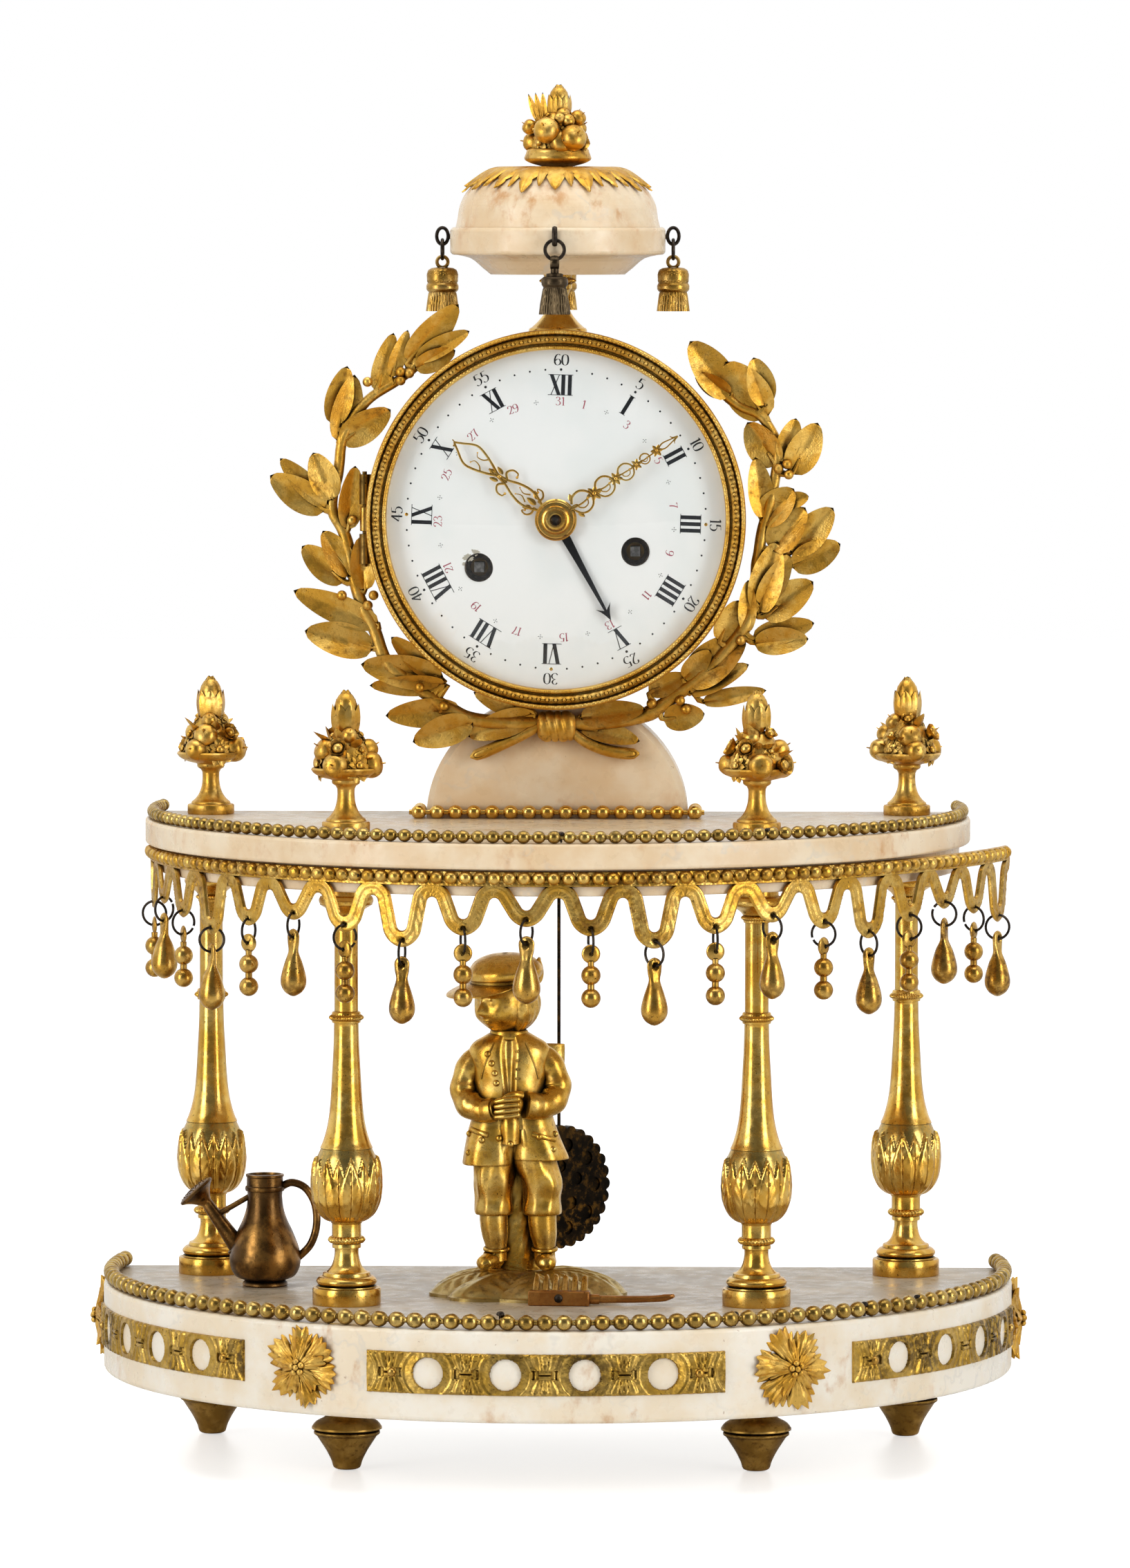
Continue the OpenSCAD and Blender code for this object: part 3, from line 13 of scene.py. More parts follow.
import bmesh
import bpy
import numpy as np
from mathutils import Matrix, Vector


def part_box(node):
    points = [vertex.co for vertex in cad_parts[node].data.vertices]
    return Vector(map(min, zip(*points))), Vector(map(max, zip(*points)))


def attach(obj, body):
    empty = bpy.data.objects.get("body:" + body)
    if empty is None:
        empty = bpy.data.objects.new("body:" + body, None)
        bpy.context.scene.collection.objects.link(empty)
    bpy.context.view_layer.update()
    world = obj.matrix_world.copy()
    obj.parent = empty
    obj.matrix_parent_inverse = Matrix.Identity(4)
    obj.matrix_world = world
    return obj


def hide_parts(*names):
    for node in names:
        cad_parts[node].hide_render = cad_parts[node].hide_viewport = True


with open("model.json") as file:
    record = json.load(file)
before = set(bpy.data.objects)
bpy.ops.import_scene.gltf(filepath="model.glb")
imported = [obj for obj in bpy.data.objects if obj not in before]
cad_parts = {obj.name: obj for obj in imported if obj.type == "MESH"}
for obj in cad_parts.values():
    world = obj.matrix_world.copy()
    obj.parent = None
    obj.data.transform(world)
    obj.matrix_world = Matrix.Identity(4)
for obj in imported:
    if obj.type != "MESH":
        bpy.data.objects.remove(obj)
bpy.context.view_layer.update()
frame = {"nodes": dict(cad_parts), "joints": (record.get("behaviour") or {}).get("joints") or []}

# %% [markdown]
# ## One ruler for everything
# The clock's plan is drawn around the centre of its curved front, so we measure everything from
# there: x to the viewer's right, y to the back, z up, in millimetres. Only when a surface becomes
# a mesh is it moved to the frame's own origin and turned into metres.

# %% Read the main sizes from the frame
MM = 0.001


def box_mm(node):
    """Lowest and highest corner of a CAD node in millimetres, in the frame's own place."""
    low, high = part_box(node)
    return np.array(low) / MM, np.array(high) / MM


base_low, base_high = box_mm("base_slab")
BASE_R = base_high[0]
PLAN_Y = base_low[1] + BASE_R


def span(node):
    """Lowest and highest corner of a node, measured from the centre of the curved front."""
    low, high = box_mm(node)
    shift = np.array([0, PLAN_Y, 0])
    return low - shift, high - shift


def middle(node):
    """Centre of a node's box, measured from the centre of the curved front."""
    low, high = span(node)
    return (low + high) / 2


BASE_BACK = span("base_slab")[1][1]
BASE_BOTTOM, BASE_TOP = base_low[2], base_high[2]
SLAB_R = span("plateau_slab")[1][0]
SLAB_BACK = span("plateau_slab")[1][1]
SLAB_TOP = span("plateau_slab")[1][2]
DIAL_Z = middle("dial")[2]
DIAL_R = span("dial")[1][0]
DRUM_R = (span("drum_case")[1][2] - span("drum_case")[0][2]) / 2
VASE_BOTTOM, VASE_TOP = span("vase")[0][2], span("vase")[1][2]
COLUMN_NODES = ["column_front_left", "column_front_right", "column_rear_left", "column_rear_right"]
COLUMNS = [middle(n)[:2] for n in COLUMN_NODES]
print("Base radius %.1f mm, dial centre at %.1f mm, vase top at %.1f mm" % (BASE_R, DIAL_Z, VASE_TOP))

# %% [markdown]
# ## Surfaces from arrays
# A surface here is three arrays: its points, the corners of all its faces in one row, and the
# number of corners of each face. A grid of points gives such a surface at once, without a loop
# over its vertices. A turned piece is a profile carried round an axis, a wire or a stem is a
# circle carried along a path, and a leaf is a grid whose height is a formula.

# %% The smallest building blocks
TAU = 2 * math.pi
# Points closer than this many millimetres are taken as one
HAIR = 1e-4


def grid(points, wrap_rows=False, wrap_columns=False):
    """Faces between the neighbours of a grid: row i and column j with i + 1 and j + 1."""
    rows, columns = points.shape[:2]
    i = np.arange(rows if wrap_rows else rows - 1)[:, None]
    j = np.arange(columns if wrap_columns else columns - 1)[None, :]
    next_i, next_j = (i + 1) % rows, (j + 1) % columns
    quads = np.stack([i * columns + j, i * columns + next_j, next_i * columns + next_j,
                      next_i * columns + j], -1)
    quads = quads.reshape(-1, 4)
    return points.reshape(-1, 3).astype(float), quads.ravel(), np.full(len(quads), 4)


def starts(sizes):
    """Place of each face's first corner in the row of corners."""
    return np.concatenate([[0], np.cumsum(sizes)[:-1]]).astype(int)


def next_corner(sizes):
    """For each corner in the row, the place of the next corner of the same face."""
    begin = starts(sizes)
    order = np.arange(sizes.sum()) + 1
    order[begin + sizes - 1] = begin
    return order


def weld(surface):
    """Joins points that lie within a hair of each other, so that seams and poles are closed."""
    points, corners, sizes = surface
    _, first, index = np.unique(np.round(points / HAIR).astype(np.int64), axis=0, return_index=True,
                                return_inverse=True)
    corners = index.ravel()[corners]
    keep = corners != corners[next_corner(sizes)]
    face = np.repeat(np.arange(len(sizes)), sizes)
    left = np.bincount(face[keep], minlength=len(sizes))
    keep &= left[face] > 2
    return points[first], corners[keep], left[left > 2]


def outward(surface):
    """Turns a closed surface's faces outwards: its volume, the sum of p0 . (p1 x p2) / 6, is positive."""
    points, corners, sizes = surface
    p = points[corners] - points.mean(0)
    p0 = np.repeat(p[starts(sizes)], sizes, axis=0)
    volume = np.einsum("ij,ij->i", p0, np.cross(p, p[next_corner(sizes)])).sum()
    if volume > 0:
        return surface
    begin = np.repeat(starts(sizes), sizes)
    place = np.arange(len(corners)) - begin
    return points, corners[begin + np.repeat(sizes, sizes) - 1 - place], sizes


def joined(surfaces):
    """One surface that holds several others, each with its corner numbers moved up."""
    surfaces = list(surfaces)
    shift = np.cumsum([0] + [len(s[0]) for s in surfaces[:-1]])
    return (np.concatenate([s[0] for s in surfaces]),
            np.concatenate([s[1] + k for s, k in zip(surfaces, shift)]),
            np.concatenate([s[2] for s in surfaces]))


def between(top, low):
    """The closed body between two grids; the lower one takes the upper one's edges and faces down."""
    low[:, [0, -1]] = top[:, [0, -1]]
    low[[0, -1]] = top[[0, -1]]
    return outward(weld(joined([grid(top), grid(low[:, ::-1])])))


def copies(surface, turns, places, scales=None):
    """Many copies of one surface: each has its own 3x3 turn, its place, and if wanted its scale."""
    points, corners, sizes = surface
    turns, places = np.asarray(turns, float), np.asarray(places, float)
    if scales is not None:
        turns = turns * np.asarray(scales, float)[:, None, None]
    n = len(places)
    placed = np.einsum("kab,pb->kpa", turns, points) + places[:, None, :]
    shift = (np.arange(n) * len(points))[:, None]
    return placed.reshape(-1, 3), (corners[None, :] + shift).ravel(), np.tile(sizes, n)


def spread(surface, places):
    """Copies of one surface that keep its direction, one at each place."""
    return copies(surface, np.tile(np.eye(3), (len(places), 1, 1)), places)


def moved(surface, turn=None, place=(0, 0, 0), scale=1.0):
    """One surface turned by a 3x3 matrix, scaled, and then moved."""
    points = surface[0] * scale
    if turn is not None:
        points = points @ np.asarray(turn, float).T
    return points + np.asarray(place, float), surface[1], surface[2]


def turn_z(angle):
    """3x3 turn about the vertical axis, in radians; an array of angles gives an array of turns."""
    a = np.asarray(angle, float)
    c, s, o, z = np.cos(a), np.sin(a), np.ones_like(a), np.zeros_like(a)
    return np.stack([np.stack([c, -s, z], -1), np.stack([s, c, z], -1), np.stack([z, z, o], -1)], -2)


def turn_x(angle):
    """3x3 turn about the x axis, in radians."""
    c, s = math.cos(angle), math.sin(angle)
    return np.array([[1, 0, 0], [0, c, -s], [0, s, c]])


def turn_y(angle):
    """3x3 turn about the y axis, in radians."""
    c, s = math.cos(angle), math.sin(angle)
    return np.array([[c, 0, s], [0, 1, 0], [-s, 0, c]])


def basis(out, up=(0, 0, 1)):
    """Turns that take +Z to each direction in out and +Y as near to up as it can be."""
    z = np.atleast_2d(np.asarray(out, float))
    z = z / np.linalg.norm(z, axis=1, keepdims=True)
    x = np.cross(np.broadcast_to(np.asarray(up, float), z.shape), z)
    x = x / np.linalg.norm(x, axis=1, keepdims=True)
    return np.stack([x, np.cross(z, x), z], -1)


# %% [markdown]
# ## Smooth lines, turned pieces, wires
# A maker draws a profile with a few points and a steady hand. `curve` is that hand: a cubic
# spline that runs through the points. Long pieces are swept along such a line.

# %% Curves, turning and sweeping
def curve(points, steps=6):
    """Smooth line through points: p = b + t/2 ((c - a) + t (2a - 5b + 4c - d + t (3b - a - 3c + d)))."""
    p = np.asarray(points, float)
    a, b = np.vstack([p[:1], p[:-2]]), p[:-1]
    c, d = p[1:], np.vstack([p[2:], p[-1:]])
    t = (np.arange(steps) / steps)[None, :, None]
    a, b, c, d = (q[:, None, :] for q in (a, b, c, d))
    line = b + 0.5 * t * ((c - a) + t * ((2 * a - 5 * b + 4 * c - d) + t * (3 * b - a - 3 * c + d)))
    return np.vstack([line.reshape(-1, p.shape[1]), p[-1:]])


def along(points, count):
    """Points spaced evenly along a line, by its running length."""
    p = np.asarray(points, float)
    run = np.concatenate([[0], np.cumsum(np.linalg.norm(np.diff(p, axis=0), axis=1))])
    at = np.linspace(0, run[-1], count)
    return np.stack([np.interp(at, run, p[:, k]) for k in range(p.shape[1])], -1)


def revolve(profile, sides=64, relief=None):
    """A turned solid: x = r cos a, y = r sin a, z = z, with r made larger by relief(r, z, a)."""
    r, z = np.asarray(profile, float).T
    a = np.linspace(0, TAU, sides, endpoint=False)[None, :]
    r, z = r[:, None] + 0 * a, z[:, None] + 0 * a
    if relief is not None:
        r = np.where(r > 0, r + relief(r, z, a + 0 * r), 0)
    return outward(weld(grid(np.stack([r * np.cos(a), r * np.sin(a), z], -1), wrap_columns=True)))


def bulge(r, z, out, tall, steps=8):
    """Profile of a turned bead: (r + out sin(pi t), z + tall t) for t from 0 to 1."""
    return [(r + out * math.sin(k * math.pi / steps), z + tall * k / steps) for k in range(steps + 1)]


def sweep(path, radius, sides=10, up=(0, 0, 1), flat=1.0, closed=False):
    """A round or flattened bar along a path: p + radius (side cos a + flat normal sin a)."""
    p = np.asarray(path, float)
    radius = np.broadcast_to(np.asarray(radius, float), len(p))[:, None, None]
    t = (np.roll(p, -1, 0) - np.roll(p, 1, 0)) if closed else np.gradient(p, axis=0)
    t /= np.linalg.norm(t, axis=1, keepdims=True)
    side = np.cross(t, np.broadcast_to(np.asarray(up, float), t.shape))
    side /= np.maximum(np.linalg.norm(side, axis=1, keepdims=True), 1e-9)
    normal = np.cross(side, t)
    a = np.linspace(0, TAU, sides, endpoint=False)[None, :, None]
    ring = side[:, None] * np.cos(a) + flat * normal[:, None] * np.sin(a)
    points = p[:, None] + radius * ring
    if not closed:
        first, last = np.repeat(p[:1, None], sides, 1), np.repeat(p[-1:, None], sides, 1)
        points = np.concatenate([first, points, last])
    return outward(weld(grid(points, wrap_rows=closed, wrap_columns=True)))


def ball(radius=1.0, sides=16, rows=10, stretch=(1, 1, 1)):
    """A sphere or egg: (cos b cos a, cos b sin a, sin b) times radius and stretch."""
    b = np.linspace(-math.pi / 2, math.pi / 2, rows + 1)
    profile = np.stack([np.abs(np.round(np.cos(b), 9)), np.sin(b)], -1)
    points, corners, sizes = revolve(profile, sides)
    return points * radius * np.asarray(stretch, float), corners, sizes


def torus(radius, wire, sides=36, wire_sides=10):
    """A ring in the x-y plane: (radius + wire cos b) round the circle, wire sin b up."""
    a = np.linspace(0, TAU, sides, endpoint=False)
    path = np.stack([radius * np.cos(a), radius * np.sin(a), 0 * a], -1)
    return sweep(path, wire, wire_sides, closed=True)


def smooth_step(x):
    """0 below 0, 1 above 1, and 3x^2 - 2x^3 between."""
    x = np.clip(x, 0, 1)
    return x * x * (3 - 2 * x)


# %% Turn a surface into a piece of the clock
pieces = {}
SHARP = math.radians(38)


def piece(name, surface, material, body="root", nodes=(), sharp=SHARP, recess=None):
    """Makes the mesh in metres at the frame's origin, and says what it rides on and stands for."""
    points, corners, sizes = surface
    mesh = bpy.data.meshes.new(name)
    mesh.vertices.add(len(points))
    mesh.loops.add(len(corners))
    mesh.polygons.add(len(sizes))
    place = (points + np.array([0, PLAN_Y, 0])) * MM
    mesh.vertices.foreach_set("co", place.astype(np.float32).ravel())
    mesh.loops.foreach_set("vertex_index", corners.astype(np.int32))
    mesh.polygons.foreach_set("loop_start", starts(sizes).astype(np.int32))
    mesh.polygons.foreach_set("use_smooth", np.ones(len(sizes), bool))
    mesh.update(calc_edges=True)
    mesh.set_sharp_from_angle(angle=sharp)
    if recess is not None:
        mesh.attributes.new("recess", "FLOAT", "POINT").data.foreach_set("value", recess.astype(np.float32))
    thing = bpy.data.objects.new(name, mesh)
    bpy.context.scene.collection.objects.link(thing)
    mesh.materials.append(material)
    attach(thing, body)
    if nodes:
        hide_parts(*nodes)
    pieces[name] = len(sizes)
    return thing
# %% [markdown]
# ## The photograph's camera
# The picture was taken from a little over three metres away with a long lens, so that the round
# slabs hardly open up and near and far columns look alike. The camera looks down by 3.6 degrees
# and stands a little to one side of the clock's own axis. The lens is given for the long side of
# the frame, which Blender calls the sensor's height here.

# %% Camera
CAMERA_AWAY = 3183.0
CAMERA_RISE = 430.4
CAMERA_DOWN = 3.604
CAMERA_ROUND = 1.5
CAMERA_ASIDE = 2.5
LENS_MM = 209.6
LONG_SIDE_MM = 36.0
CLIP_END_M = 50

camera_data = bpy.data.cameras.new("studio_camera")
camera_data.sensor_fit = "VERTICAL"
camera_data.sensor_height = LONG_SIDE_MM
camera_data.lens = LENS_MM
camera_data.clip_end = CLIP_END_M
camera = bpy.data.objects.new("studio_camera", camera_data)
bpy.context.scene.collection.objects.link(camera)
round_turn = turn_z(math.radians(CAMERA_ROUND))
camera_at = round_turn @ np.array([CAMERA_ASIDE, -CAMERA_AWAY, CAMERA_RISE]) + np.array([0, PLAN_Y, 0])
camera.location = camera_at * MM
camera.rotation_euler = (math.radians(90 - CAMERA_DOWN), 0, math.radians(CAMERA_ROUND))
bpy.context.scene.camera = camera
print("Camera at", [round(float(v), 3) for v in camera.location])

# %% [markdown]
# ## Studio light
# Gilding shows what surrounds it. The photograph's columns carry tall bright bands at both sides
# and a dim one in the middle, so two tall soft boxes stand to the left and right of the camera, a
# broad one hangs overhead, and the space behind the camera stays grey. The world gives an even
# fill, and it is white only for the camera, for glass and, towards the back, for reflections.

# %% Lights and world
def hex_linear(code):
    """Linear colour of an sRGB hex value: c / 12.92 below 0.04045, else ((c + 0.055) / 1.055) ^ 2.4."""
    c = np.array([int(code[k:k + 2], 16) / 255 for k in (1, 3, 5)])
    c = np.where(c <= 0.04045, c / 12.92, ((c + 0.055) / 1.055) ** 2.4)
    return (*[float(v) for v in c], 1.0)


def add(tree, kind, inputs=None, **settings):
    """Adds a shader node: settings are its properties, and inputs are values or other nodes' outputs."""
    node = tree.nodes.new(kind)
    for name, value in settings.items():
        setattr(node, name, value)
    for name, value in (inputs or {}).items():
        if isinstance(value, bpy.types.NodeSocket):
            tree.links.new(value, node.inputs[name])
        else:
            node.inputs[name].default_value = value
    return node


def soft_box(name, place, aim, size, power):
    """A rectangular area lamp at a place in millimetres, turned to its aim."""
    data = bpy.data.lights.new(name, "AREA")
    data.shape, data.size, data.size_y, data.energy = "RECTANGLE", size[0] * MM, size[1] * MM, power
    lamp = bpy.data.objects.new(name, data)
    bpy.context.scene.collection.objects.link(lamp)
    place, aim = np.array(place, float), np.array(aim, float)
    lamp.location = (place + np.array([0, PLAN_Y, 0])) * MM
    back = (place - aim) / np.linalg.norm(place - aim)
    right = np.cross([0, 0, 1], back)
    right = right / np.linalg.norm(right)
    lamp.rotation_euler = Matrix(np.stack([right, np.cross(back, right), back], -1).tolist()).to_euler()
    return lamp


AIM = (0, 0, 250)
soft_box("left_soft_box", (-1500, -1250, 620), AIM, (700, 1500), 17)
soft_box("right_soft_box", (1450, -1150, 560), AIM, (620, 1500), 15)
soft_box("top_soft_box", (0, -250, 1700), AIM, (1500, 1100), 11)

world = bpy.data.worlds.new("studio")
bpy.context.scene.world = world
world.use_nodes = True
tree = world.node_tree
tree.nodes.clear()
direction = add(tree, "ShaderNodeTexCoord").outputs["Generated"]
height = add(tree, "ShaderNodeSeparateXYZ", {"Vector": direction})
# Behind the camera the studio is dim, and behind the clock it is the white paper
front_to_back = add(tree, "ShaderNodeMapRange", {"Value": height.outputs["Y"], "From Min": -0.75,
                                                 "From Max": 0.3, "To Min": 0.16, "To Max": 1.0},
                    interpolation_type="SMOOTHSTEP")
seen = add(tree, "ShaderNodeLightPath")
fill = add(tree, "ShaderNodeMix", {"Factor": seen.outputs["Is Glossy Ray"], "A": 0.36,
                                   "B": front_to_back.outputs["Result"]}, data_type="FLOAT")
paper = add(tree, "ShaderNodeMath", {0: seen.outputs["Is Camera Ray"],
                                     1: seen.outputs["Is Transmission Ray"]}, operation="MAXIMUM")
strength = add(tree, "ShaderNodeMix", {"Factor": paper.outputs["Value"], "A": fill.outputs["Result"],
                                       "B": 1.0}, data_type="FLOAT")
light = add(tree, "ShaderNodeBackground", {"Color": (1, 1, 1, 1), "Strength": strength.outputs["Result"]})
add(tree, "ShaderNodeOutputWorld", {"Surface": light.outputs["Background"]})

# %% [markdown]
# The floor is a sheet of glossy white paper. It is as white as the background, so that only the
# clock's soft shadow and a faint reflection of the feet show where it lies.

# %% Floor
def paper_material():
    """White for the camera like the backdrop, but dimmed by the clock's own shadow."""
    made = bpy.data.materials.new("studio_paper")
    made.use_nodes = True
    t = made.node_tree
    t.nodes.clear()
    body = add(t, "ShaderNodeBsdfPrincipled", {"Base Color": hex_linear("#f4f4f5"), "Roughness": 0.32,
                                               "Specular IOR Level": 0.35})
    glow = add(t, "ShaderNodeEmission", {"Color": (1, 1, 1, 1), "Strength": 0.55})
    path = add(t, "ShaderNodeLightPath")
    lit = add(t, "ShaderNodeAddShader", {0: body.outputs["BSDF"], 1: glow.outputs["Emission"]})
    both = add(t, "ShaderNodeMixShader", {0: path.outputs["Is Camera Ray"], 1: body.outputs["BSDF"],
                                          2: lit.outputs["Shader"]})
    add(t, "ShaderNodeOutputMaterial", {"Surface": both.outputs["Shader"]})
    return made


floor_mesh = bpy.data.meshes.new("floor")
FLOOR_HALF_M = 6.0
floor_corners = [(x * FLOOR_HALF_M, y * FLOOR_HALF_M, 0) for x, y in ((-1, -1), (1, -1), (1, 1), (-1, 1))]
floor_mesh.from_pydata(floor_corners, [], [(0, 1, 2, 3)])
floor = bpy.data.objects.new("floor", floor_mesh)
floor_mesh.materials.append(paper_material())
bpy.context.scene.collection.objects.link(floor)
view = bpy.context.scene.view_settings
view.view_transform = "Standard"
print("Three soft boxes, a white world and a paper floor")
# %% [markdown]
# ## Fire-gilt bronze
# Fire gilding is a film of gold a few thousandths of a millimetre thick, burnt onto cast and
# chased bronze. Burnished it is a clear yellow mirror, left matt it is a soft grain of punch
# marks. Two centuries rub it pale on the high places, leave brown dirt and grey-green crust in
# the recesses, and dot it with tiny black pits. The recesses also get painted shade: a dark
# colour laid by ambient occlusion, dirt and shade together. One recipe makes all of this, and
# its values make the separate finishes.

# %% Gilt bronze
def new_material(name):
    """An empty node material and its tree."""
    made = bpy.data.materials.new(name)
    made.use_nodes = True
    made.node_tree.nodes.clear()
    return made, made.node_tree


def per_mm(size):
    """Scale of a noise whose features are about size millimetres wide, on coordinates in metres."""
    return 1 / (size * MM)


def blend_colour(tree, factor, first, second):
    """Mixes two colours; a factor, a value or a colour may be a number, a hex value or a socket."""
    node = tree.nodes.new("ShaderNodeMix")
    node.data_type = "RGBA"
    for place, value in ((0, factor), (6, first), (7, second)):
        if isinstance(value, bpy.types.NodeSocket):
            tree.links.new(value, node.inputs[place])
        else:
            node.inputs[place].default_value = hex_linear(value) if isinstance(value, str) else value
    return node.outputs[2]


def ramp(tree, value, low, high, to_low=0.0, to_high=1.0):
    """A smooth step of a value from one level to another."""
    return add(tree, "ShaderNodeMapRange", {"Value": value, "From Min": low, "From Max": high,
                                            "To Min": to_low, "To Max": to_high},
               interpolation_type="SMOOTHSTEP").outputs["Result"]


def noise(tree, size, detail=3.0, rough=0.55, stretch=None):
    """Noise with features of about size millimetres; stretch divides its scale along x, y and z."""
    place = add(tree, "ShaderNodeTexCoord").outputs["Object"]
    if stretch is not None:
        place = add(tree, "ShaderNodeMapping",
                    {"Vector": place, "Scale": [1 / s for s in stretch]}).outputs["Vector"]
    return add(tree, "ShaderNodeTexNoise", {"Vector": place, "Scale": per_mm(size), "Detail": detail,
                                            "Roughness": rough}).outputs["Fac"]


def gilding(name, gold="#d6a343", rubbed="#e4bd66", brown="#87602a", dirt_and_shade="#2f2110", polish=0.22, matt=0.42,
            age=0.45, pits=0.3, grain_mm=0.5, grain=0.25, dirt_and_shade_reach=1.6, verdigris_and_hole_shade=0.0, verdigris_and_hole_shade_hue="#8f9878"):
    """Gold over bronze: age is the share gone brown, pits that of black dots, grain the punch marks."""
    made, t = new_material(name)
    cloud = noise(t, 9.0, 4.0, 0.6)
    patch = noise(t, 2.6, 5.0, 0.65)
    colour = blend_colour(t, ramp(t, cloud, 0.42, 0.62), gold, rubbed)
    # Brown comes in zones some thirty millimetres across, and in small patches inside them
    zone = ramp(t, noise(t, 32.0, 2.0), 0.4, 0.62, 0.35, 1.0)
    spots = ramp(t, patch, 0.62 - 0.3 * age, 0.84 - 0.3 * age, 0.0, 0.9)
    brown_share = add(t, "ShaderNodeMath", {0: zone, 1: spots}, operation="MULTIPLY").outputs["Value"]
    colour = blend_colour(t, brown_share, colour, brown)
    # Dirt and painted shade: ambient occlusion over a short reach darkens where the surface is closed in
    hollow = add(t, "ShaderNodeAmbientOcclusion", {"Distance": dirt_and_shade_reach * MM}, samples=4, only_local=True)
    hollow_dirt_and_shade = ramp(t, hollow.outputs["AO"], 0.88, 0.36)
    colour = blend_colour(t, hollow_dirt_and_shade, colour, dirt_and_shade)
    # The recess attribute takes a crust colour: grey-green verdigris on the columns, and near-black painted
    # shade in the holes of the fringe and drops.
    if verdigris_and_hole_shade:
        recess = add(t, "ShaderNodeAttribute", attribute_name="recess").outputs["Fac"]
        cover = ramp(t, noise(t, 1.3, 4.0, 0.7), 0.34, 0.6, 0.15, verdigris_and_hole_shade)
        crust_and_hole_shade = add(t, "ShaderNodeMath", {0: recess, 1: cover}, operation="MULTIPLY").outputs["Value"]
        colour = blend_colour(t, crust_and_hole_shade, colour, verdigris_and_hole_shade_hue)
    dots = noise(t, 0.75, 2.0, 0.6)
    dot_zone = ramp(t, noise(t, 7.0, 2.0), 0.44, 0.62)
    speck = ramp(t, dots, 0.70 - 0.1 * pits, 0.74 - 0.1 * pits, 0.0, 0.9)
    dot = add(t, "ShaderNodeMath", {0: speck, 1: dot_zone}, operation="MULTIPLY").outputs["Value"]
    colour = blend_colour(t, dot, colour, "#1c140b")
    rough = add(t, "ShaderNodeMix", {"Factor": ramp(t, patch, 0.35, 0.7), "A": polish, "B": matt},
                data_type="FLOAT").outputs["Result"]
    rough = add(t, "ShaderNodeMath", {0: rough, 1: ramp(t, hollow.outputs["AO"], 0.9, 0.4, 0.0, 0.3)},
                operation="ADD").outputs["Value"]
    fine = noise(t, grain_mm, 2.0, 0.5)
    bumped = add(t, "ShaderNodeBump", {"Height": fine, "Strength": grain, "Distance": 0.12 * MM})
    waves = add(t, "ShaderNodeBump", {"Height": patch, "Strength": 0.04 + 0.4 * grain, "Distance": 0.2 * MM,
                                      "Normal": bumped.outputs["Normal"]})
    body = add(t, "ShaderNodeBsdfPrincipled", {"Base Color": colour, "Metallic": 1.0, "Roughness": rough,
                                               "Normal": waves.outputs["Normal"]})
    add(t, "ShaderNodeOutputMaterial", {"Surface": body.outputs["BSDF"]})
    return made


burnished_gilding = gilding("fire_gilt_bronze_burnished", polish=0.16, matt=0.3, age=0.25, grain=0.06,
                            pits=0.35)
column_gilding = gilding("fire_gilt_bronze_column", polish=0.17, matt=0.32, age=0.25, grain=0.1, pits=0.4,
                         verdigris_and_hole_shade=0.62, verdigris_and_hole_shade_hue="#8a8458")
chased_gilding = gilding("fire_gilt_bronze_chased", polish=0.3, matt=0.48, age=0.3, grain=0.5, grain_mm=0.45)
laurel_gilding = gilding("fire_gilt_bronze_laurel", gold="#d09c3a", rubbed="#e0b65c", polish=0.36,
                         matt=0.54, age=0.4, grain=0.75, grain_mm=0.6, dirt_and_shade="#33240f", dirt_and_shade_reach=2.6)
fruit_gilding = gilding("fire_gilt_bronze_fruit", gold="#cf9c3e", rubbed="#e2ba64", polish=0.3, matt=0.46,
                        age=0.5, grain=0.45, pits=0.4, dirt_and_shade="#4a3516", dirt_and_shade_reach=0.9)
bead_gilding = gilding("rubbed_gilt_bronze_beads", gold="#a3823f", rubbed="#c4a55e", brown="#52401f",
                       polish=0.2, matt=0.36, age=0.55, grain=0.12, pits=0.5, dirt_and_shade_reach=1.3)
frieze_gilding = gilding("corroded_gilt_bronze_frieze", gold="#bf963c", rubbed="#d6b05a", brown="#4f3e26",
                         dirt_and_shade="#1c1812", polish=0.3, matt=0.46, age=0.85, grain=0.35, pits=0.7,
                         dirt_and_shade_reach=2.4)
worn_gilding = gilding("worn_gilt_bronze", gold="#b88d3e", rubbed="#d0ab64", brown="#6b4b22", polish=0.25,
                       matt=0.42, age=0.6, grain=0.2, pits=0.6, dirt_and_shade_reach=1.3)
# Fringe and drops: their recess colour is a near-black painted shade inside the holes.
fringe_gilding = gilding("fire_gilt_bronze_fringe", gold="#cb9a3a", rubbed="#ddb661", polish=0.26,
                         matt=0.44, age=0.6, grain=0.5, pits=0.6, verdigris_and_hole_shade=1.0, verdigris_and_hole_shade_hue="#14100c")
drop_gilding = gilding("fire_gilt_bronze_drops", gold="#c0903a", rubbed="#d2a958", brown="#6d4b24",
                       polish=0.22, matt=0.38, age=0.7, grain=0.2, pits=0.7, verdigris_and_hole_shade=1.0, verdigris_and_hole_shade_hue="#14100c")
rake_gilding = gilding("rubbed_copper_brown_rake", gold="#a8713a", rubbed="#c08a4a", brown="#6f4520",
                       polish=0.28, matt=0.44, age=0.5, grain=0.3, pits=0.5)
mound_gilding = gilding("dulled_gilt_bronze_mound", gold="#b0975a", rubbed="#c6af78", brown="#796640",
                        polish=0.28, matt=0.44, age=0.5, grain=0.35, pits=0.4, dirt_and_shade_reach=2.0)
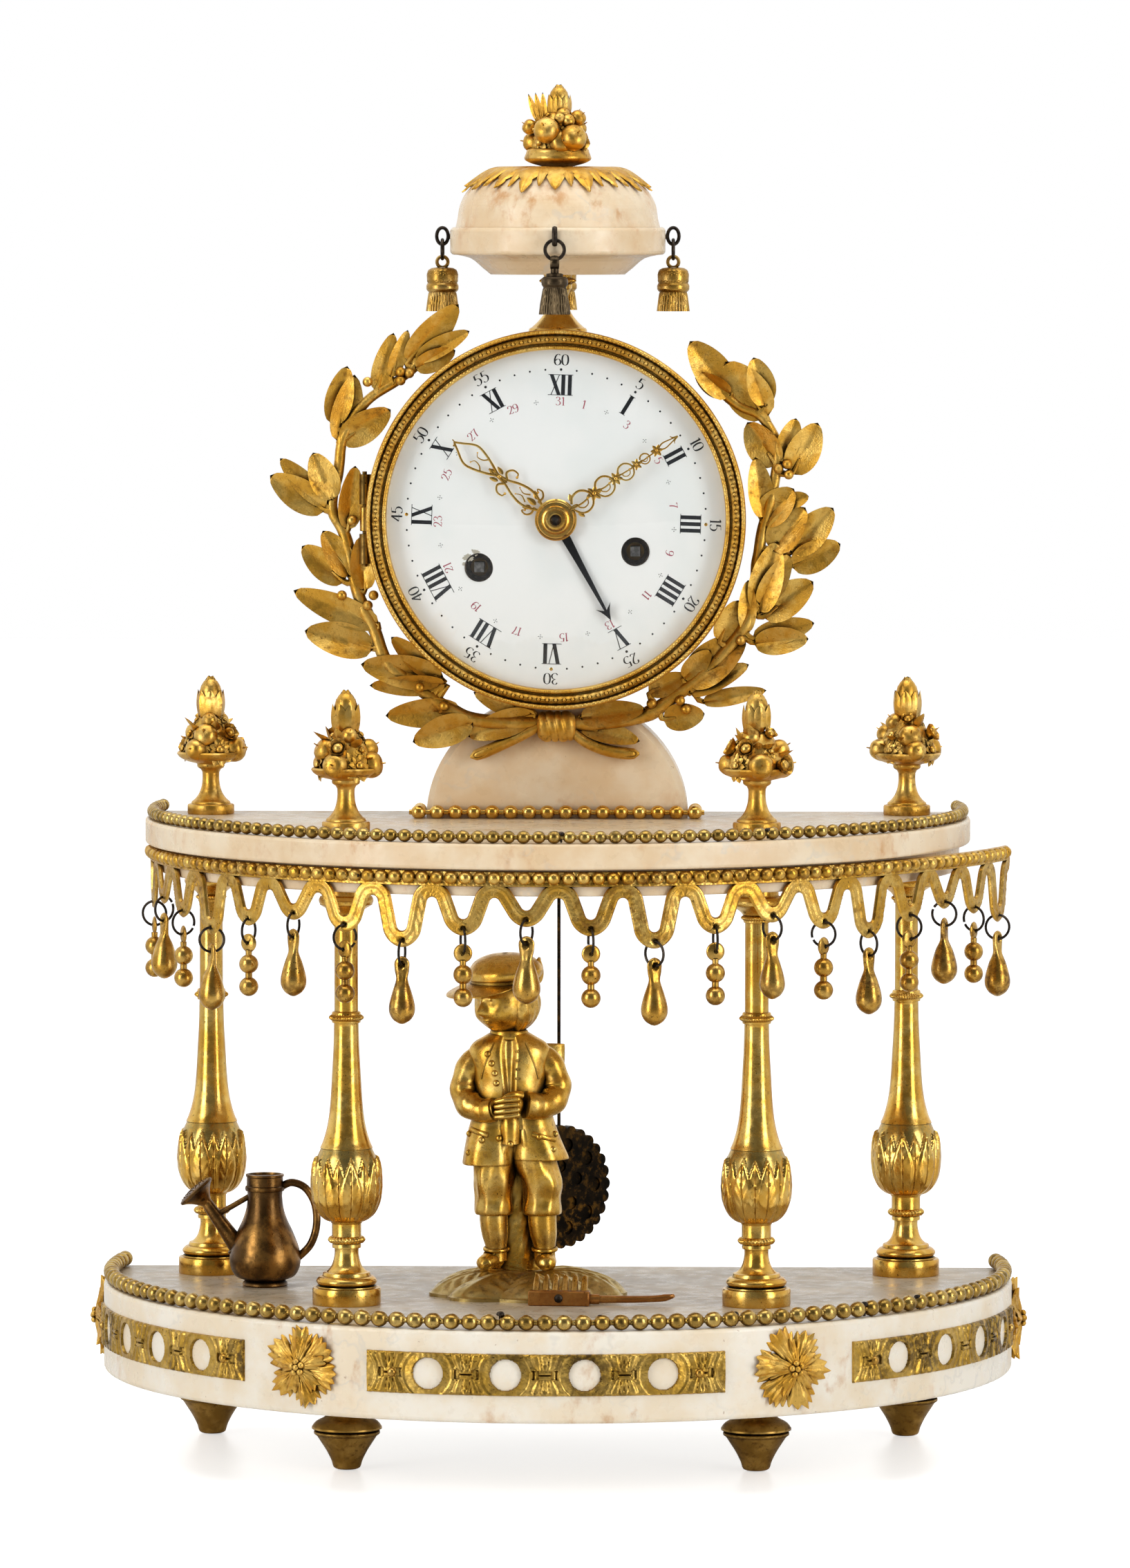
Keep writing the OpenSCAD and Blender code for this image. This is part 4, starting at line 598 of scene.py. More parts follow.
figure_gilding = gilding("fire_gilt_bronze_figure", gold="#cfa040", rubbed="#dfb963", brown="#8a6230",
                         polish=0.24, matt=0.38, age=0.4, grain=0.2, pits=0.3, dirt_and_shade_reach=3.0)
print("Thirteen gildings")

# %% [markdown]
# ## Brown and black bronze, steel
# The watering can was only lacquered: brown bronze, with yellow metal where fingers and cloths
# have rubbed it. The front tassel is darker still, and the feet are worn down to the bronze. The
# pendulum is blackened brass with gold showing through. Rings and nails are iron, and the date
# hand is steel blued until it is almost black.

# %% Darker metals
brown_bronze = gilding("brown_lacquered_bronze", gold="#5c4224", rubbed="#99703a", brown="#3c2a17",
                       dirt_and_shade="#140e08", polish=0.26, matt=0.42, age=0.35, grain=0.2, pits=0.2,
                       dirt_and_shade_reach=3.0)
tassel_bronze = gilding("dark_cast_bronze_tassel", gold="#473b2c", rubbed="#6a5a42", brown="#33291d",
                        dirt_and_shade="#16110c", polish=0.3, matt=0.45, age=0.35, grain=0.25, pits=0.2,
                        dirt_and_shade_reach=1.2)
foot_bronze = gilding("brown_worn_bronze_feet", gold="#9f7a38", rubbed="#c29b52", brown="#66491f",
                      dirt_and_shade="#20160b", polish=0.28, matt=0.4, age=0.5, grain=0.12, pits=0.3, dirt_and_shade_reach=2.0)
black_brass = gilding("blackened_brass_pendulum", gold="#15120e", rubbed="#2a2013", brown="#8a6226",
                      dirt_and_shade="#050403", polish=0.36, matt=0.6, age=0.45, grain=0.5, grain_mm=0.9, pits=0.0)
movement_brass = gilding("plain_movement_brass", gold="#b99450", rubbed="#cdae70", brown="#7a5c2c",
                         polish=0.28, matt=0.4, age=0.25, grain=0.05, pits=0.1)
drum_brass = gilding("dulled_drum_brass", gold="#6b5227", rubbed="#8b6c38", brown="#3d2d16", polish=0.34,
                     matt=0.5, age=0.5, grain=0.15, pits=0.3)


def dark_iron(name, colour, light, roughness):
    """Iron or steel: one dark colour that lightens in faint clouds, and a fine bump."""
    made, t = new_material(name)
    tone = blend_colour(t, ramp(t, noise(t, 1.5, 3.0), 0.4, 0.7), colour, light)
    bumped = add(t, "ShaderNodeBump", {"Height": noise(t, 0.5, 2.0), "Strength": 0.2, "Distance": 0.08 * MM})
    body = add(t, "ShaderNodeBsdfPrincipled", {"Base Color": tone, "Metallic": 1.0, "Roughness": roughness,
                                               "Normal": bumped.outputs["Normal"]})
    add(t, "ShaderNodeOutputMaterial", {"Surface": body.outputs["BSDF"]})
    return made


iron_wire = dark_iron("dark_iron_wire", "#2b2622", "#4c4238", 0.42)
blued_steel = dark_iron("blued_steel_hand", "#0d0e12", "#24262d", 0.24)
winding_steel = dark_iron("filed_winding_steel", "#6f6d6b", "#a8a6a3", 0.35)
print("Three bronzes, three brasses, and iron and steel in three finishes")

# %% [markdown]
# ## Old white marble
# Marble is a mass of grains of calcite. Light enters it a little, so its edges look soft, and the
# polish is worn to a silk gloss. With age it turns cream, and rust and lamp oil leave orange-brown
# clouds and freckles. The upper slab, dome and vase have yellowed more than the base.

# %% Marble
def old_marble(name, white, cream, stain, stain_share, dust_and_shade_share):
    """Clouds of white and cream, grey veins, stains where two noises are high, dust and painted shade on what
    faces up.
    """
    made, t = new_material(name)
    clouds = noise(t, 26.0, 5.0, 0.6)
    colour = blend_colour(t, ramp(t, clouds, 0.36, 0.64), white, cream)
    warp = noise(t, 30.0, 4.0, 0.6)
    bend = add(t, "ShaderNodeMath", {0: warp, 1: 0.5}, operation="SUBTRACT").outputs["Value"]
    line = add(t, "ShaderNodeMath", {0: bend}, operation="ABSOLUTE").outputs["Value"]
    thread, here = ramp(t, line, 0.022, 0.0, 0.0, 0.35), ramp(t, noise(t, 45.0), 0.48, 0.62)
    vein = add(t, "ShaderNodeMath", {0: thread, 1: here}, operation="MULTIPLY").outputs["Value"]
    colour = blend_colour(t, vein, colour, "#c9c6be")
    # Rust has run down the sides, so the stains are drawn out upright
    blot = ramp(t, noise(t, 7.0, 5.0, 0.62, (1, 1, 1.5)), 0.6 - 0.12 * stain_share,
                0.82 - 0.12 * stain_share, 0, 0.75)
    region = ramp(t, noise(t, 38.0, 2.0, 0.5), 0.44, 0.62)
    stained = add(t, "ShaderNodeMath", {0: blot, 1: region}, operation="MULTIPLY").outputs["Value"]
    colour = blend_colour(t, stained, colour, stain)
    freckle = ramp(t, noise(t, 1.9, 2.0, 0.5), 0.75, 0.79, 0.0, 0.5)
    colour = blend_colour(t, freckle, colour, "#8d6238")
    # Dust and painted shade: faces that look up are darkened grey-brown, as dust and as the shade that falls
    # on them.
    normal = add(t, "ShaderNodeNewGeometry").outputs["Normal"]
    upward = add(t, "ShaderNodeSeparateXYZ", {"Vector": normal}).outputs["Z"]
    lying = ramp(t, upward, 0.8, 0.99, 0.0, dust_and_shade_share)
    drift = ramp(t, noise(t, 16.0, 4.0, 0.6), 0.3, 0.6, 0.55, 1.0)
    dust_and_shade = add(t, "ShaderNodeMath", {0: lying, 1: drift}, operation="MULTIPLY").outputs["Value"]
    colour = blend_colour(t, dust_and_shade, colour, "#9c8c72")
    # Grime and painted shade: ambient occlusion darkens hollows and the stone under the parts that stand on
    # it.
    hollow = add(t, "ShaderNodeAmbientOcclusion", {"Distance": 5 * MM}, samples=4)
    grime_and_shade = ramp(t, hollow.outputs["AO"], 0.75, 0.25, 0.0, 0.45)
    colour = blend_colour(t, grime_and_shade, colour, "#8a7150")
    rough = ramp(t, noise(t, 5.0, 3.0), 0.3, 0.7, 0.24, 0.42)
    bumped = add(t, "ShaderNodeBump", {"Height": noise(t, 7.0, 3.0, 0.5), "Strength": 0.08,
                                       "Distance": 0.4 * MM})
    body = add(t, "ShaderNodeBsdfPrincipled", {
        "Base Color": colour, "Roughness": rough, "IOR": 1.5, "Subsurface Weight": 0.12,
        "Subsurface Radius": (2.2, 1.7, 1.1), "Subsurface Scale": MM, "Normal": bumped.outputs["Normal"]})
    add(t, "ShaderNodeOutputMaterial", {"Surface": body.outputs["BSDF"]})
    return made


base_marble = old_marble("white_marble_base", "#f4ecdc", "#eddcbf", "#c79763", 0.5, 0.62)
cream_marble = old_marble("cream_marble_upper", "#efdcbd", "#e4c79e", "#c68a48", 0.85, 0.4)

# %% [markdown]
# ## Enamel and glass
# The dial is copper under fired white enamel, a glass that is white through and through and very
# glossy. Its figures are painted on and fired again in black and in a thin carmine. The bezel's
# glass is clear and hardly seen, but for what it mirrors.

# %% Enamel, its colours, and glass
def fired_enamel(name, colour, shade, roughness=0.09):
    """Glossy enamel: a colour with a faint second shade in wide clouds and a mirror-like skin."""
    made, t = new_material(name)
    tone = blend_colour(t, ramp(t, noise(t, 24.0, 3.0), 0.4, 0.65), colour, shade)
    wave = add(t, "ShaderNodeBump", {"Height": noise(t, 14.0, 1.0), "Strength": 0.1, "Distance": 0.2 * MM})
    body = add(t, "ShaderNodeBsdfPrincipled", {"Base Color": tone, "Roughness": roughness, "IOR": 1.52,
                                               "Coat Weight": 0.3, "Coat Roughness": 0.04,
                                               "Normal": wave.outputs["Normal"]})
    add(t, "ShaderNodeOutputMaterial", {"Surface": body.outputs["BSDF"]})
    return made


white_enamel = fired_enamel("white_fired_enamel", "#f8f9f8", "#f2f5f4")
black_enamel = fired_enamel("black_enamel_figures", "#15171b", "#23262b", 0.22)
red_enamel = fired_enamel("carmine_enamel_figures", "#a2495a", "#b56270", 0.25)


def clear_glass():
    """Thin glass: light passes straight on, and a share that grows at a slant is mirrored."""
    made, t = new_material("clear_bezel_glass")
    through = add(t, "ShaderNodeBsdfTransparent", {"Color": (0.985, 0.99, 0.988, 1)})
    mirror = add(t, "ShaderNodeBsdfGlossy", {"Color": (1, 1, 1, 1), "Roughness": 0.02})
    # The share rises with the fifth power of how far the glass turns away, alike for both its faces
    away = add(t, "ShaderNodeLayerWeight", {"Blend": 0.5}).outputs["Facing"]
    steep = add(t, "ShaderNodeMath", {0: away, 1: 5.0}, operation="POWER").outputs["Value"]
    both = add(t, "ShaderNodeMixShader", {0: ramp(t, steep, 0.0, 1.0, 0.02, 0.5), 1: through.outputs["BSDF"],
                                          2: mirror.outputs["BSDF"]})
    add(t, "ShaderNodeOutputMaterial", {"Surface": both.outputs["Shader"]})
    return made


bezel_glass_material = clear_glass()


def dress(node, material):
    """Gives a CAD node that is shown as it is its finish."""
    mesh = frame["nodes"][node].data
    mesh.materials.clear()
    mesh.materials.append(material)


dress("base_slab", base_marble)
for node in ("plateau_slab", "dome_block", "vase"):
    dress(node, cream_marble)
for node in ("movement_plates", "minute_wheel", "bell"):
    dress(node, movement_brass)
dress("drum_case", drum_brass)
dress("bezel_glass", bezel_glass_material)
dress("dial", white_enamel)
for node in ("going_barrel", "strike_barrel"):
    dress(node, winding_steel)
print("Marble, enamel and glass are mixed, and the plain CAD pieces have their finishes")
# %% [markdown]
# ## Bead rails
# A bead rail was cast in strips: round beads with a short waist between them, brushed with gold
# and pinned to the marble. Every bead has the same profile, so one turned bead is copied along
# the edge with its axis along the curve. Each copy is a little larger or smaller and a little
# turned, as castings are.

# %% Bead and link
rng = np.random.default_rng(6710)
BASE_BEAD_PITCH, SLAB_BEAD_PITCH, DOME_BEAD_PITCH = 6.3, 5.1, 6.2
# The round part of a bead ends at this angle, in radians, and the waist begins
BEAD_CUT = 1.18
# In widths of the plain solid rail: the bead's own width, how far it is raised, and its end's gap
BEAD_SWELL, DOME_SWELL, BEAD_RISE, END_GAP = 1.16, 1.1, 0.07, 0.6


def bead(width, pitch):
    """One bead and half a link at each side, along x: r = width/2 cos b, flattened, then a waist."""
    b = np.linspace(-BEAD_CUT, BEAD_CUT, 11)
    across = np.cos(b) * width / 2
    run = np.sin(b) / math.sin(BEAD_CUT) * width * 0.5
    waist = width * 0.17
    profile = [(0, -pitch * 0.52), (waist, -pitch * 0.52)] + list(zip(across, run))
    profile += [(waist, pitch * 0.52), (0, pitch * 0.52)]
    return moved(revolve(profile, 16), turn_y(math.pi / 2))


def on_curve(radius, angle, z):
    """Places and turns on a circle: +X runs along the curve and -Y looks outwards."""
    angle = np.atleast_1d(angle).astype(float)
    place = np.stack([radius * np.sin(angle), -radius * np.cos(angle), z + 0 * angle], -1)
    return place, turn_z(angle)


def curved_rail(node, pitch, back):
    """A rail round a half-round slab; its bead size and radius are those of the CAD rail's box."""
    low, high = span(node)
    width = high[2] - low[2]
    radius = high[0] - width / 2
    half = math.pi / 2 + math.asin((back - width * END_GAP) / radius)
    count = int(2 * half * radius / pitch)
    place, turn = on_curve(radius, np.linspace(-half, half, count + 1), (low[2] + high[2]) / 2)
    wobble = rng.normal(0, 0.035, (count + 1, 2))
    turn = turn @ turn_z(wobble[:, 0])
    scale = 1 - np.abs(rng.normal(0, 0.018, count + 1))
    place[:, 2] += width * BEAD_RISE
    return copies(bead(width * BEAD_SWELL, pitch), turn, place, scale), radius, width


base_rail, rail_radius, rail_width = curved_rail("base_bead_rail", BASE_BEAD_PITCH, BASE_BACK)
piece("rail_base", base_rail, bead_gilding, nodes=["base_bead_rail"])
slab_rail, slab_rail_radius, slab_rail_width = curved_rail("plateau_bead_rail", SLAB_BEAD_PITCH, SLAB_BACK)
piece("rail_slab", slab_rail, bead_gilding, nodes=["plateau_bead_rail"])

# The dome's rail is straight in front and turns back along both sides
dome_low, dome_high = span("dome_bead_rail")
dome_bead_w = dome_high[2] - dome_low[2]
half_x, front_y = dome_high[0] - dome_bead_w / 2, dome_low[1] + dome_bead_w / 2
count = round(2 * half_x / DOME_BEAD_PITCH)
step = 2 * half_x / count
front_x = -half_x + np.arange(count + 1) * step
side_y = front_y + np.arange(1, int((dome_high[1] - front_y) / step) + 1) * step
places = np.concatenate([np.stack([front_x, 0 * front_x + front_y], -1)]
                        + [np.stack([0 * side_y + s * half_x, side_y], -1) for s in (-1, 1)])
places = np.column_stack([places, np.full(len(places), (dome_low[2] + dome_high[2]) / 2)])
turns = turn_z(np.where(np.arange(len(places)) <= count, 0, math.pi / 2))
scale = 1 - np.abs(rng.normal(0, 0.015, len(places)))
dome_rail = copies(bead(dome_bead_w * DOME_SWELL, step), turns, places, scale)
piece("rail_dome", dome_rail, burnished_gilding, nodes=["dome_bead_rail"])
bead_faces = len(bead(1, 1)[2])
rails = (base_rail, slab_rail, dome_rail)
print("Beads on the three rails:", [len(rail[2]) // bead_faces for rail in rails])

# %% [markdown]
# The rails are held by iron nails driven down between two beads. Their heads are the dark
# knobs on the rail, and they have rusted. One nail in front stands a little proud.

# %% Nail heads
NAIL_ANGLES = [-51.5, -5.5, 6.8, 23.8, 43.0, 53.0]
NAIL_LIFT = [0.0, 1.3, 0.2, 0.0, 0.0, 0.0]
SLAB_NAIL_ANGLES = [-62.0, -28.0, 2.0, 31.5, 60.0]
head = revolve(curve([(0, 1.3), (0.9, 1.15), (1.35, 0.5), (1.25, -0.1), (0.55, -0.4), (0.5, -3.4),
                      (0, -3.4)], 3), 14)


def nail_heads(angles, lifts, radius, top, size):
    """Nail heads on a circle; size scales the head, lifts raise it above the beads."""
    place, turn = on_curve(radius, np.radians(angles), top)
    place[:, 2] += np.asarray(lifts)
    return copies(head, turn, place, np.full(len(angles), size))


base_nails = nail_heads(NAIL_ANGLES, NAIL_LIFT, rail_radius, BASE_TOP + rail_width - 0.9, 1.0)
slab_nail_top = SLAB_TOP + slab_rail_width - 0.7
slab_nails = nail_heads(SLAB_NAIL_ANGLES, np.zeros(5), slab_rail_radius, slab_nail_top, 0.75)
piece("rail_nails", joined([base_nails, slab_nails]), iron_wire)
print("Eleven nail heads")

# %% [markdown]
# ## Frieze panels
# The three panels are cast strips with round openings, through which the marble shows. Each
# opening has a rounded ring, and between two rings a double band ties leaves that fan up and
# down. We compute this relief as heights over a flat strip and bend the strip round the base.
# In the openings the relief sinks below the marble, so the stone itself fills them.

# %% Relief of a panel
PANEL_LEN, OPENING_PITCH, OPENING_R = 123.2, 26.5, 5.5
PANEL_ANGLES, PIN_INSET = (-62.3, 0.0, 62.3), 9.5
PANEL_COLUMNS, PANEL_ROWS = 344, 43
frieze_low, frieze_high = span("frieze_panels")
PANEL_Z, PANEL_H = (frieze_low[2] + frieze_high[2]) / 2, frieze_high[2] - frieze_low[2]


def rounded(distance, half_width):
    """A half-round bar: sqrt(1 - (distance / half_width)^2), and 0 outside it."""
    return np.sqrt(np.clip(1 - (distance / half_width) ** 2, 0, 1))


def panel_relief(s, v):
    """Height over the marble at run s and height v from the middle of the panel."""
    inside = np.hypot((s % OPENING_PITCH) - OPENING_PITCH / 2, v)
    tie = (s + OPENING_PITCH / 2) % OPENING_PITCH - OPENING_PITCH / 2
    high = np.abs(v)
    # Five lobes fan out from the tie, up and down, with a slot along the middle one
    fan = tie / (1.7 + 0.34 * high)
    lobe = np.abs(np.cos(math.pi * 1.15 * fan)) ** 0.7
    tip = 7.1 - 0.9 * (1 - lobe)
    leaves = (0.25 + 0.75 * lobe) * smooth_step((tip - high) / 0.5) * smooth_step((high - 1.2) / 0.6)
    leaves -= 0.7 * np.exp(-(tie / 0.32) ** 2 - ((high - 4.4) / 1.3) ** 2)
    level = 0.35 + 0.95 * leaves
    band = rounded(high - 0.8, 0.72) * smooth_step((2.3 - np.abs(tie)) / 0.3)
    level = np.maximum(level, 0.5 + 0.9 * band)
    # A ring is a broad sloping dish with a raised line round it; a groove parts it from the leaves
    dish = 0.95 - 0.11 * (inside - OPENING_R) + 0.4 * rounded(inside - 8.7, 0.5)
    level = np.where(inside < 9.2, dish, level - 0.45 * rounded(inside - 9.5, 0.45))
    # Punches and old casting skin leave no part quite even
    level = level + 0.07 * np.sin(2.1 * s + 3 * np.sin(1.7 * v)) * np.sin(2.9 * v + 1.3 * s)
    return np.where((inside < OPENING_R - 0.02) & (np.abs(s) < 2 * OPENING_PITCH), -0.3, level)


def frieze_panel(angle):
    """The strip of relief bent round the base: x = (R + h) sin a, y = -(R + h) cos a, with a = s / R."""
    s, v = np.meshgrid(np.linspace(-PANEL_LEN / 2, PANEL_LEN / 2, PANEL_COLUMNS),
                       np.linspace(-PANEL_H / 2, PANEL_H / 2, PANEL_ROWS), indexing="ij")
    # Grid points next to an opening's edge are pushed onto it, so that the circle is round
    centre = (np.floor(s / OPENING_PITCH) + 0.5) * OPENING_PITCH
    from_centre = np.hypot(s - centre, v)
    near = (np.abs(from_centre - OPENING_R) < 0.17) & (np.abs(s) < 2 * OPENING_PITCH)
    pull = np.where(near, OPENING_R / np.maximum(from_centre, 1e-6), 1)
    s, v = centre + (s - centre) * pull, v * pull
    h = panel_relief(s, v)
    h[[0, -1], :] = -0.4
    h[:, [0, -1]] = -0.4
    a = s / BASE_R + angle
    r = BASE_R + h
    top = np.stack([r * np.sin(a), -r * np.cos(a), PANEL_Z + v], -1)
    back = np.stack([(BASE_R - 0.5) * np.sin(a), -(BASE_R - 0.5) * np.cos(a), PANEL_Z + v], -1)
    return between(top, back)


panels, panel_pins = [], []
pin = revolve(curve([(0, 1.5), (1.0, 1.25), (1.5, 0.5), (1.5, 0.0), (0.5, -0.8), (0, -0.8)], 3), 14)
for angle in PANEL_ANGLES:
    panels.append(frieze_panel(math.radians(angle)))
    run = np.array([-1, 1]) * (PANEL_LEN / 2 - PIN_INSET) / BASE_R + math.radians(angle)
    place, turn = on_curve(BASE_R + 0.9, run, PANEL_Z)
    panel_pins.append(copies(pin, turn @ turn_x(math.pi / 2), place))
panel_surface = joined(panels)
piece("frieze", panel_surface, frieze_gilding, nodes=["frieze_panels"], sharp=math.radians(50))
piece("frieze_pins", joined(panel_pins), worn_gilding)
print("Frieze of", len(panel_surface[2]), "faces")

# %% [markdown]
# ## Rosettes
# A rosette is a cast leaf wheel, chased afterwards: two tiers of leaves with pointed lobes, folded
# along their middles, about a cluster of small beads. A tier is a polar grid whose outline
# has the lobes and whose height folds with the angle. A back sheet closes it.

# %% Leaf wheels and rosettes
def leaf_wheel(radius, leaves, lift, droop, fold, seed, back=-0.6):
    """A wheel of leaves: an outline with five points a leaf, raised by lift and by a fold in each leaf."""
    chance = np.random.default_rng(seed)
    rows, columns = 24, leaves * 34
    a = np.linspace(0, TAU, columns, endpoint=False)[None, :]
    t = np.linspace(0, 1, rows)[:, None]
    counted = a * leaves / TAU
    place = counted - np.round(counted)
    which = np.round(counted).astype(int) % leaves
    own = chance.uniform(-1, 1, (4, leaves))[:, which]
    main = 1 - np.abs(2 * place) ** 1.7
    tooth = 1 - 2 * np.abs((place * 5 + 0.5) % 1 - 0.5)
    outline = radius * (0.73 + 0.13 * main + 0.14 * tooth + 0.04 * own[0])
    groove = np.abs(np.sin(math.pi * place))
    vein = rounded(place, 0.055) + 0.5 * rounded(np.abs(place) - 0.25 * t, 0.035)
    height = lift * (1 - t ** 2) - droop * t ** 3 + fold * t * (1 - groove * 1.5) * (1 + 0.4 * own[1])
    # Punched holes between the leaves, a little past half way out
    height = height - 1.8 * np.exp(-((np.abs(place) - 0.5) / 0.07) ** 2 - ((t - 0.66) / 0.12) ** 2)
    height = height - 0.35 * fold * vein * t * (1 - t) * 3
    height = height + 0.5 * own[2] * t ** 3 + 0.25 * fold * tooth * t ** 3
    twist = a + 0.05 * own[3] * t ** 2
    r = outline * t
    top = np.stack([r * np.cos(twist), r * np.sin(twist), height + 0 * r], -1)
    low = top.copy()
    low[..., 2] = np.minimum(top[..., 2] - 0.5, np.maximum(back, top[..., 2] - 1.3))
    low[-1] = top[-1] - np.array([0, 0, 0.35])
    rim = np.stack([top[-1], low[-1]])
    return outward(weld(joined([grid(top, wrap_columns=True), grid(rim, wrap_columns=True),
                                grid(low[::-1], wrap_columns=True)])))


rosette_low, rosette_high = span("base_rosettes")
ROSETTE_R = (rosette_high[2] - rosette_low[2]) / 2 + 0.5
ROSETTE_Z = (rosette_low[2] + rosette_high[2]) / 2
ROSETTE_ANGLES = [-91.4, -31.0, 31.0, 91.4]
seed_places = [(1.9 * math.cos(k * TAU / 5), 1.9 * math.sin(k * TAU / 5), 3.4) for k in range(5)]
seed_beads = spread(ball(1.15, 12, 8), seed_places + [(0, 0, 3.8)])
rosettes = []
for k, angle in enumerate(ROSETTE_ANGLES):
    wheel = joined([leaf_wheel(ROSETTE_R, 6, 1.7, 0.3, 1.6, 11 + k),
                    leaf_wheel(ROSETTE_R * 0.7, 5, 3.2, -0.1, 1.2, 31 + k, back=0.6), seed_beads])
    place, turn = on_curve(BASE_R + 0.7, math.radians(angle), ROSETTE_Z)
    rosettes.append(moved(moved(wheel, turn_z(0.4 + 1.3 * k)), turn[0] @ turn_x(math.pi / 2), place[0]))
piece("rosettes", joined(rosettes), laurel_gilding, nodes=["base_rosettes"], sharp=math.radians(55))
print("Four rosettes of radius %.1f mm" % ROSETTE_R)

# %% [markdown]
# ## Feet
# The feet are turned bronze: a flared neck under the marble, a sharp rim with a roped band under
# it, and a cone that narrows to the toe. The rope is knurled with a wheel in the lathe, and here it
# is a wave added to the radius that slopes with the height.

# %% Feet
def rope(z, a, middle_z, half_h, depth, strands, slope):
    """Relief of a knurled rope: depth sin(strands a + slope z) inside its band."""
    return np.where(np.abs(z - middle_z) < half_h, depth * np.sin(strands * a + slope * (z - middle_z)), 0)


FOOT_PROFILE = curve([(3.4, 0.3), (4.6, 1.0), (5.4, 3.4), (7.0, 6.6), (8.9, 9.6), (10.2, 11.6)], 5).tolist()
FOOT_PROFILE = [(0, 0)] + FOOT_PROFILE + [(10.6, 12.0)]
FOOT_PROFILE += bulge(10.55, 12.05, 0.75, 1.75)
FOOT_PROFILE += [(11.2, 13.95), (12.0, 14.2), (12.05, 14.7)]
FOOT_PROFILE += curve([(12.0, 14.9), (10.6, 16.6), (7.6, 18.3), (6.1, 20.2), (5.8, 23.0), (6.9, 25.2)],
                      5).tolist()
FOOT_PROFILE += [(7.6, BASE_BOTTOM), (0, BASE_BOTTOM)]
foot = revolve(FOOT_PROFILE, 112, lambda r, z, a: rope(z, a, 12.95, 0.85, 0.22, 56, 1.9))
piece("feet_turned", spread(foot, [(*p, 0) for p in COLUMNS]), foot_bronze,
      nodes=["feet"])
print("Four feet under the columns")
# %% [markdown]
# ## Columns
# A column is four castings on one tie rod: a foot with a waisted stem and a roped collar, a bulb
# clasped by eight broad leaves, a shaft with a milled ring, and a capital. The plain parts are
# burnished. The leaves are chased matt, and verdigris sits where their tips meet the bulb.
# We turn the whole outline once and lay leaves, rope and milling on it as relief.

# %% Outline and relief of a column
LEAF_FROM, LEAF_TO, LINE_Z = 28.6, 51.2, 53.6


def dense(profile, start, end, spacing):
    """Adds points to a profile so that those between two heights are closer than spacing."""
    p = np.asarray(profile, float)
    out = [p[0]]
    for q in p[1:]:
        inside = q[1] > start and out[-1][1] < end
        n = max(1, math.ceil(np.linalg.norm(q - out[-1]) / spacing)) if inside else 1
        out += [out[-1] + (q - out[-1]) * (k + 1) / n for k in range(n)] if n > 1 else [q]
    return np.array(out)


def column_profile():
    """Radius and height of the column over the base, from the plate to the underside of the slab."""
    p = [(0, 0), (11.5, 0), (11.7, 0.3), (11.7, 5.3), (11.45, 5.75), (10.9, 5.9), (10.3, 5.95), (10.2, 6.3)]
    p += bulge(9.2, 6.35, 1.2, 3.2, 10)
    p += [(8.2, 9.7), (8.1, 10.6), (7.9, 10.95), (7.4, 11.05)]
    p += curve([(7.1, 11.1), (5.9, 12.2), (5.0, 13.6), (4.35, 15.8), (4.1, 17.6), (4.15, 19.2)], 4).tolist()
    p += [(4.9, 19.35), (4.95, 20.3), (4.7, 20.9), (5.4, 20.95)]
    p += bulge(5.5, 21.0, 0.75, 2.2, 10)
    p += [(5.05, 23.35), (5.0, 23.6), (5.0, 27.6), (5.3, 27.9), (5.35, 28.3)]
    bulb = curve([(5.4, 28.5), (7.0, 29.3), (9.2, 31.2), (10.9, 34.6), (11.6, 38.5), (11.75, 42.0),
                  (11.4, 46.0), (10.4, 50.4), (9.0, 53.6), (7.9, 56.2), (6.75, 60.2), (5.9, 65), (5.35, 71),
                  (4.95, 78), (4.4, 88), (4.2, 96.2)], 6)
    p += dense(bulb, 28, 56, 0.42).tolist()
    p += [(4.3, 96.4), (4.85, 96.5), (4.9, 97.0), (5.0, 97.15)]
    p += bulge(5.1, 97.3, 0.75, 1.8)
    p += [(4.95, 99.3), (4.9, 99.9), (4.7, 100.2), (4.05, 100.4), (4.0, 130.8), (4.5, 131.0), (4.55, 131.6)]
    p += bulge(4.6, 131.8, 0.7, 1.6)
    p += curve([(4.8, 133.6), (5.4, 134.4), (6.6, 135.4), (7.9, 136.2)], 4).tolist()
    p += [(8.4, 136.5), (9.0, 136.9)]
    p += bulge(8.9, 137.0, 0.45, 2.6, 6)
    return np.array(p + [(8.2, 139.9), (7.5, 140.1), (7.4, 140.6), (7.4, 144), (0, 144)])


def leaf_row(z, a, shift, tip, width, rise):
    """One row of eight leaves: height over the bulb and a mask that is 1 on a leaf."""
    place = (a / TAU * 8 + shift + 0.5) % 1 - 0.5
    v = (z - LEAF_FROM) / (tip - LEAF_FROM)
    tapered = 1 - (np.clip(v - 0.42, 0, 1) / 0.58) ** 1.45
    half = width * np.where(v < 0.42, 0.82 + 0.18 * smooth_step(v / 0.42), tapered)
    side = np.abs(place)
    inside = smooth_step((half - side) / 0.035) * (v < 1) * (v > -0.05)
    edge = smooth_step((half - side) / 0.12)
    rib = rounded(side, 0.022) * (v < 0.93)
    veins = 0.5 + 0.5 * np.sin(34 * v - 26 * side)
    bend = 0.45 * smooth_step((v - 0.62) / 0.38)
    return inside * (rise * (0.55 + 0.45 * edge) + bend - 0.3 * rib - 0.07 * veins * edge), inside


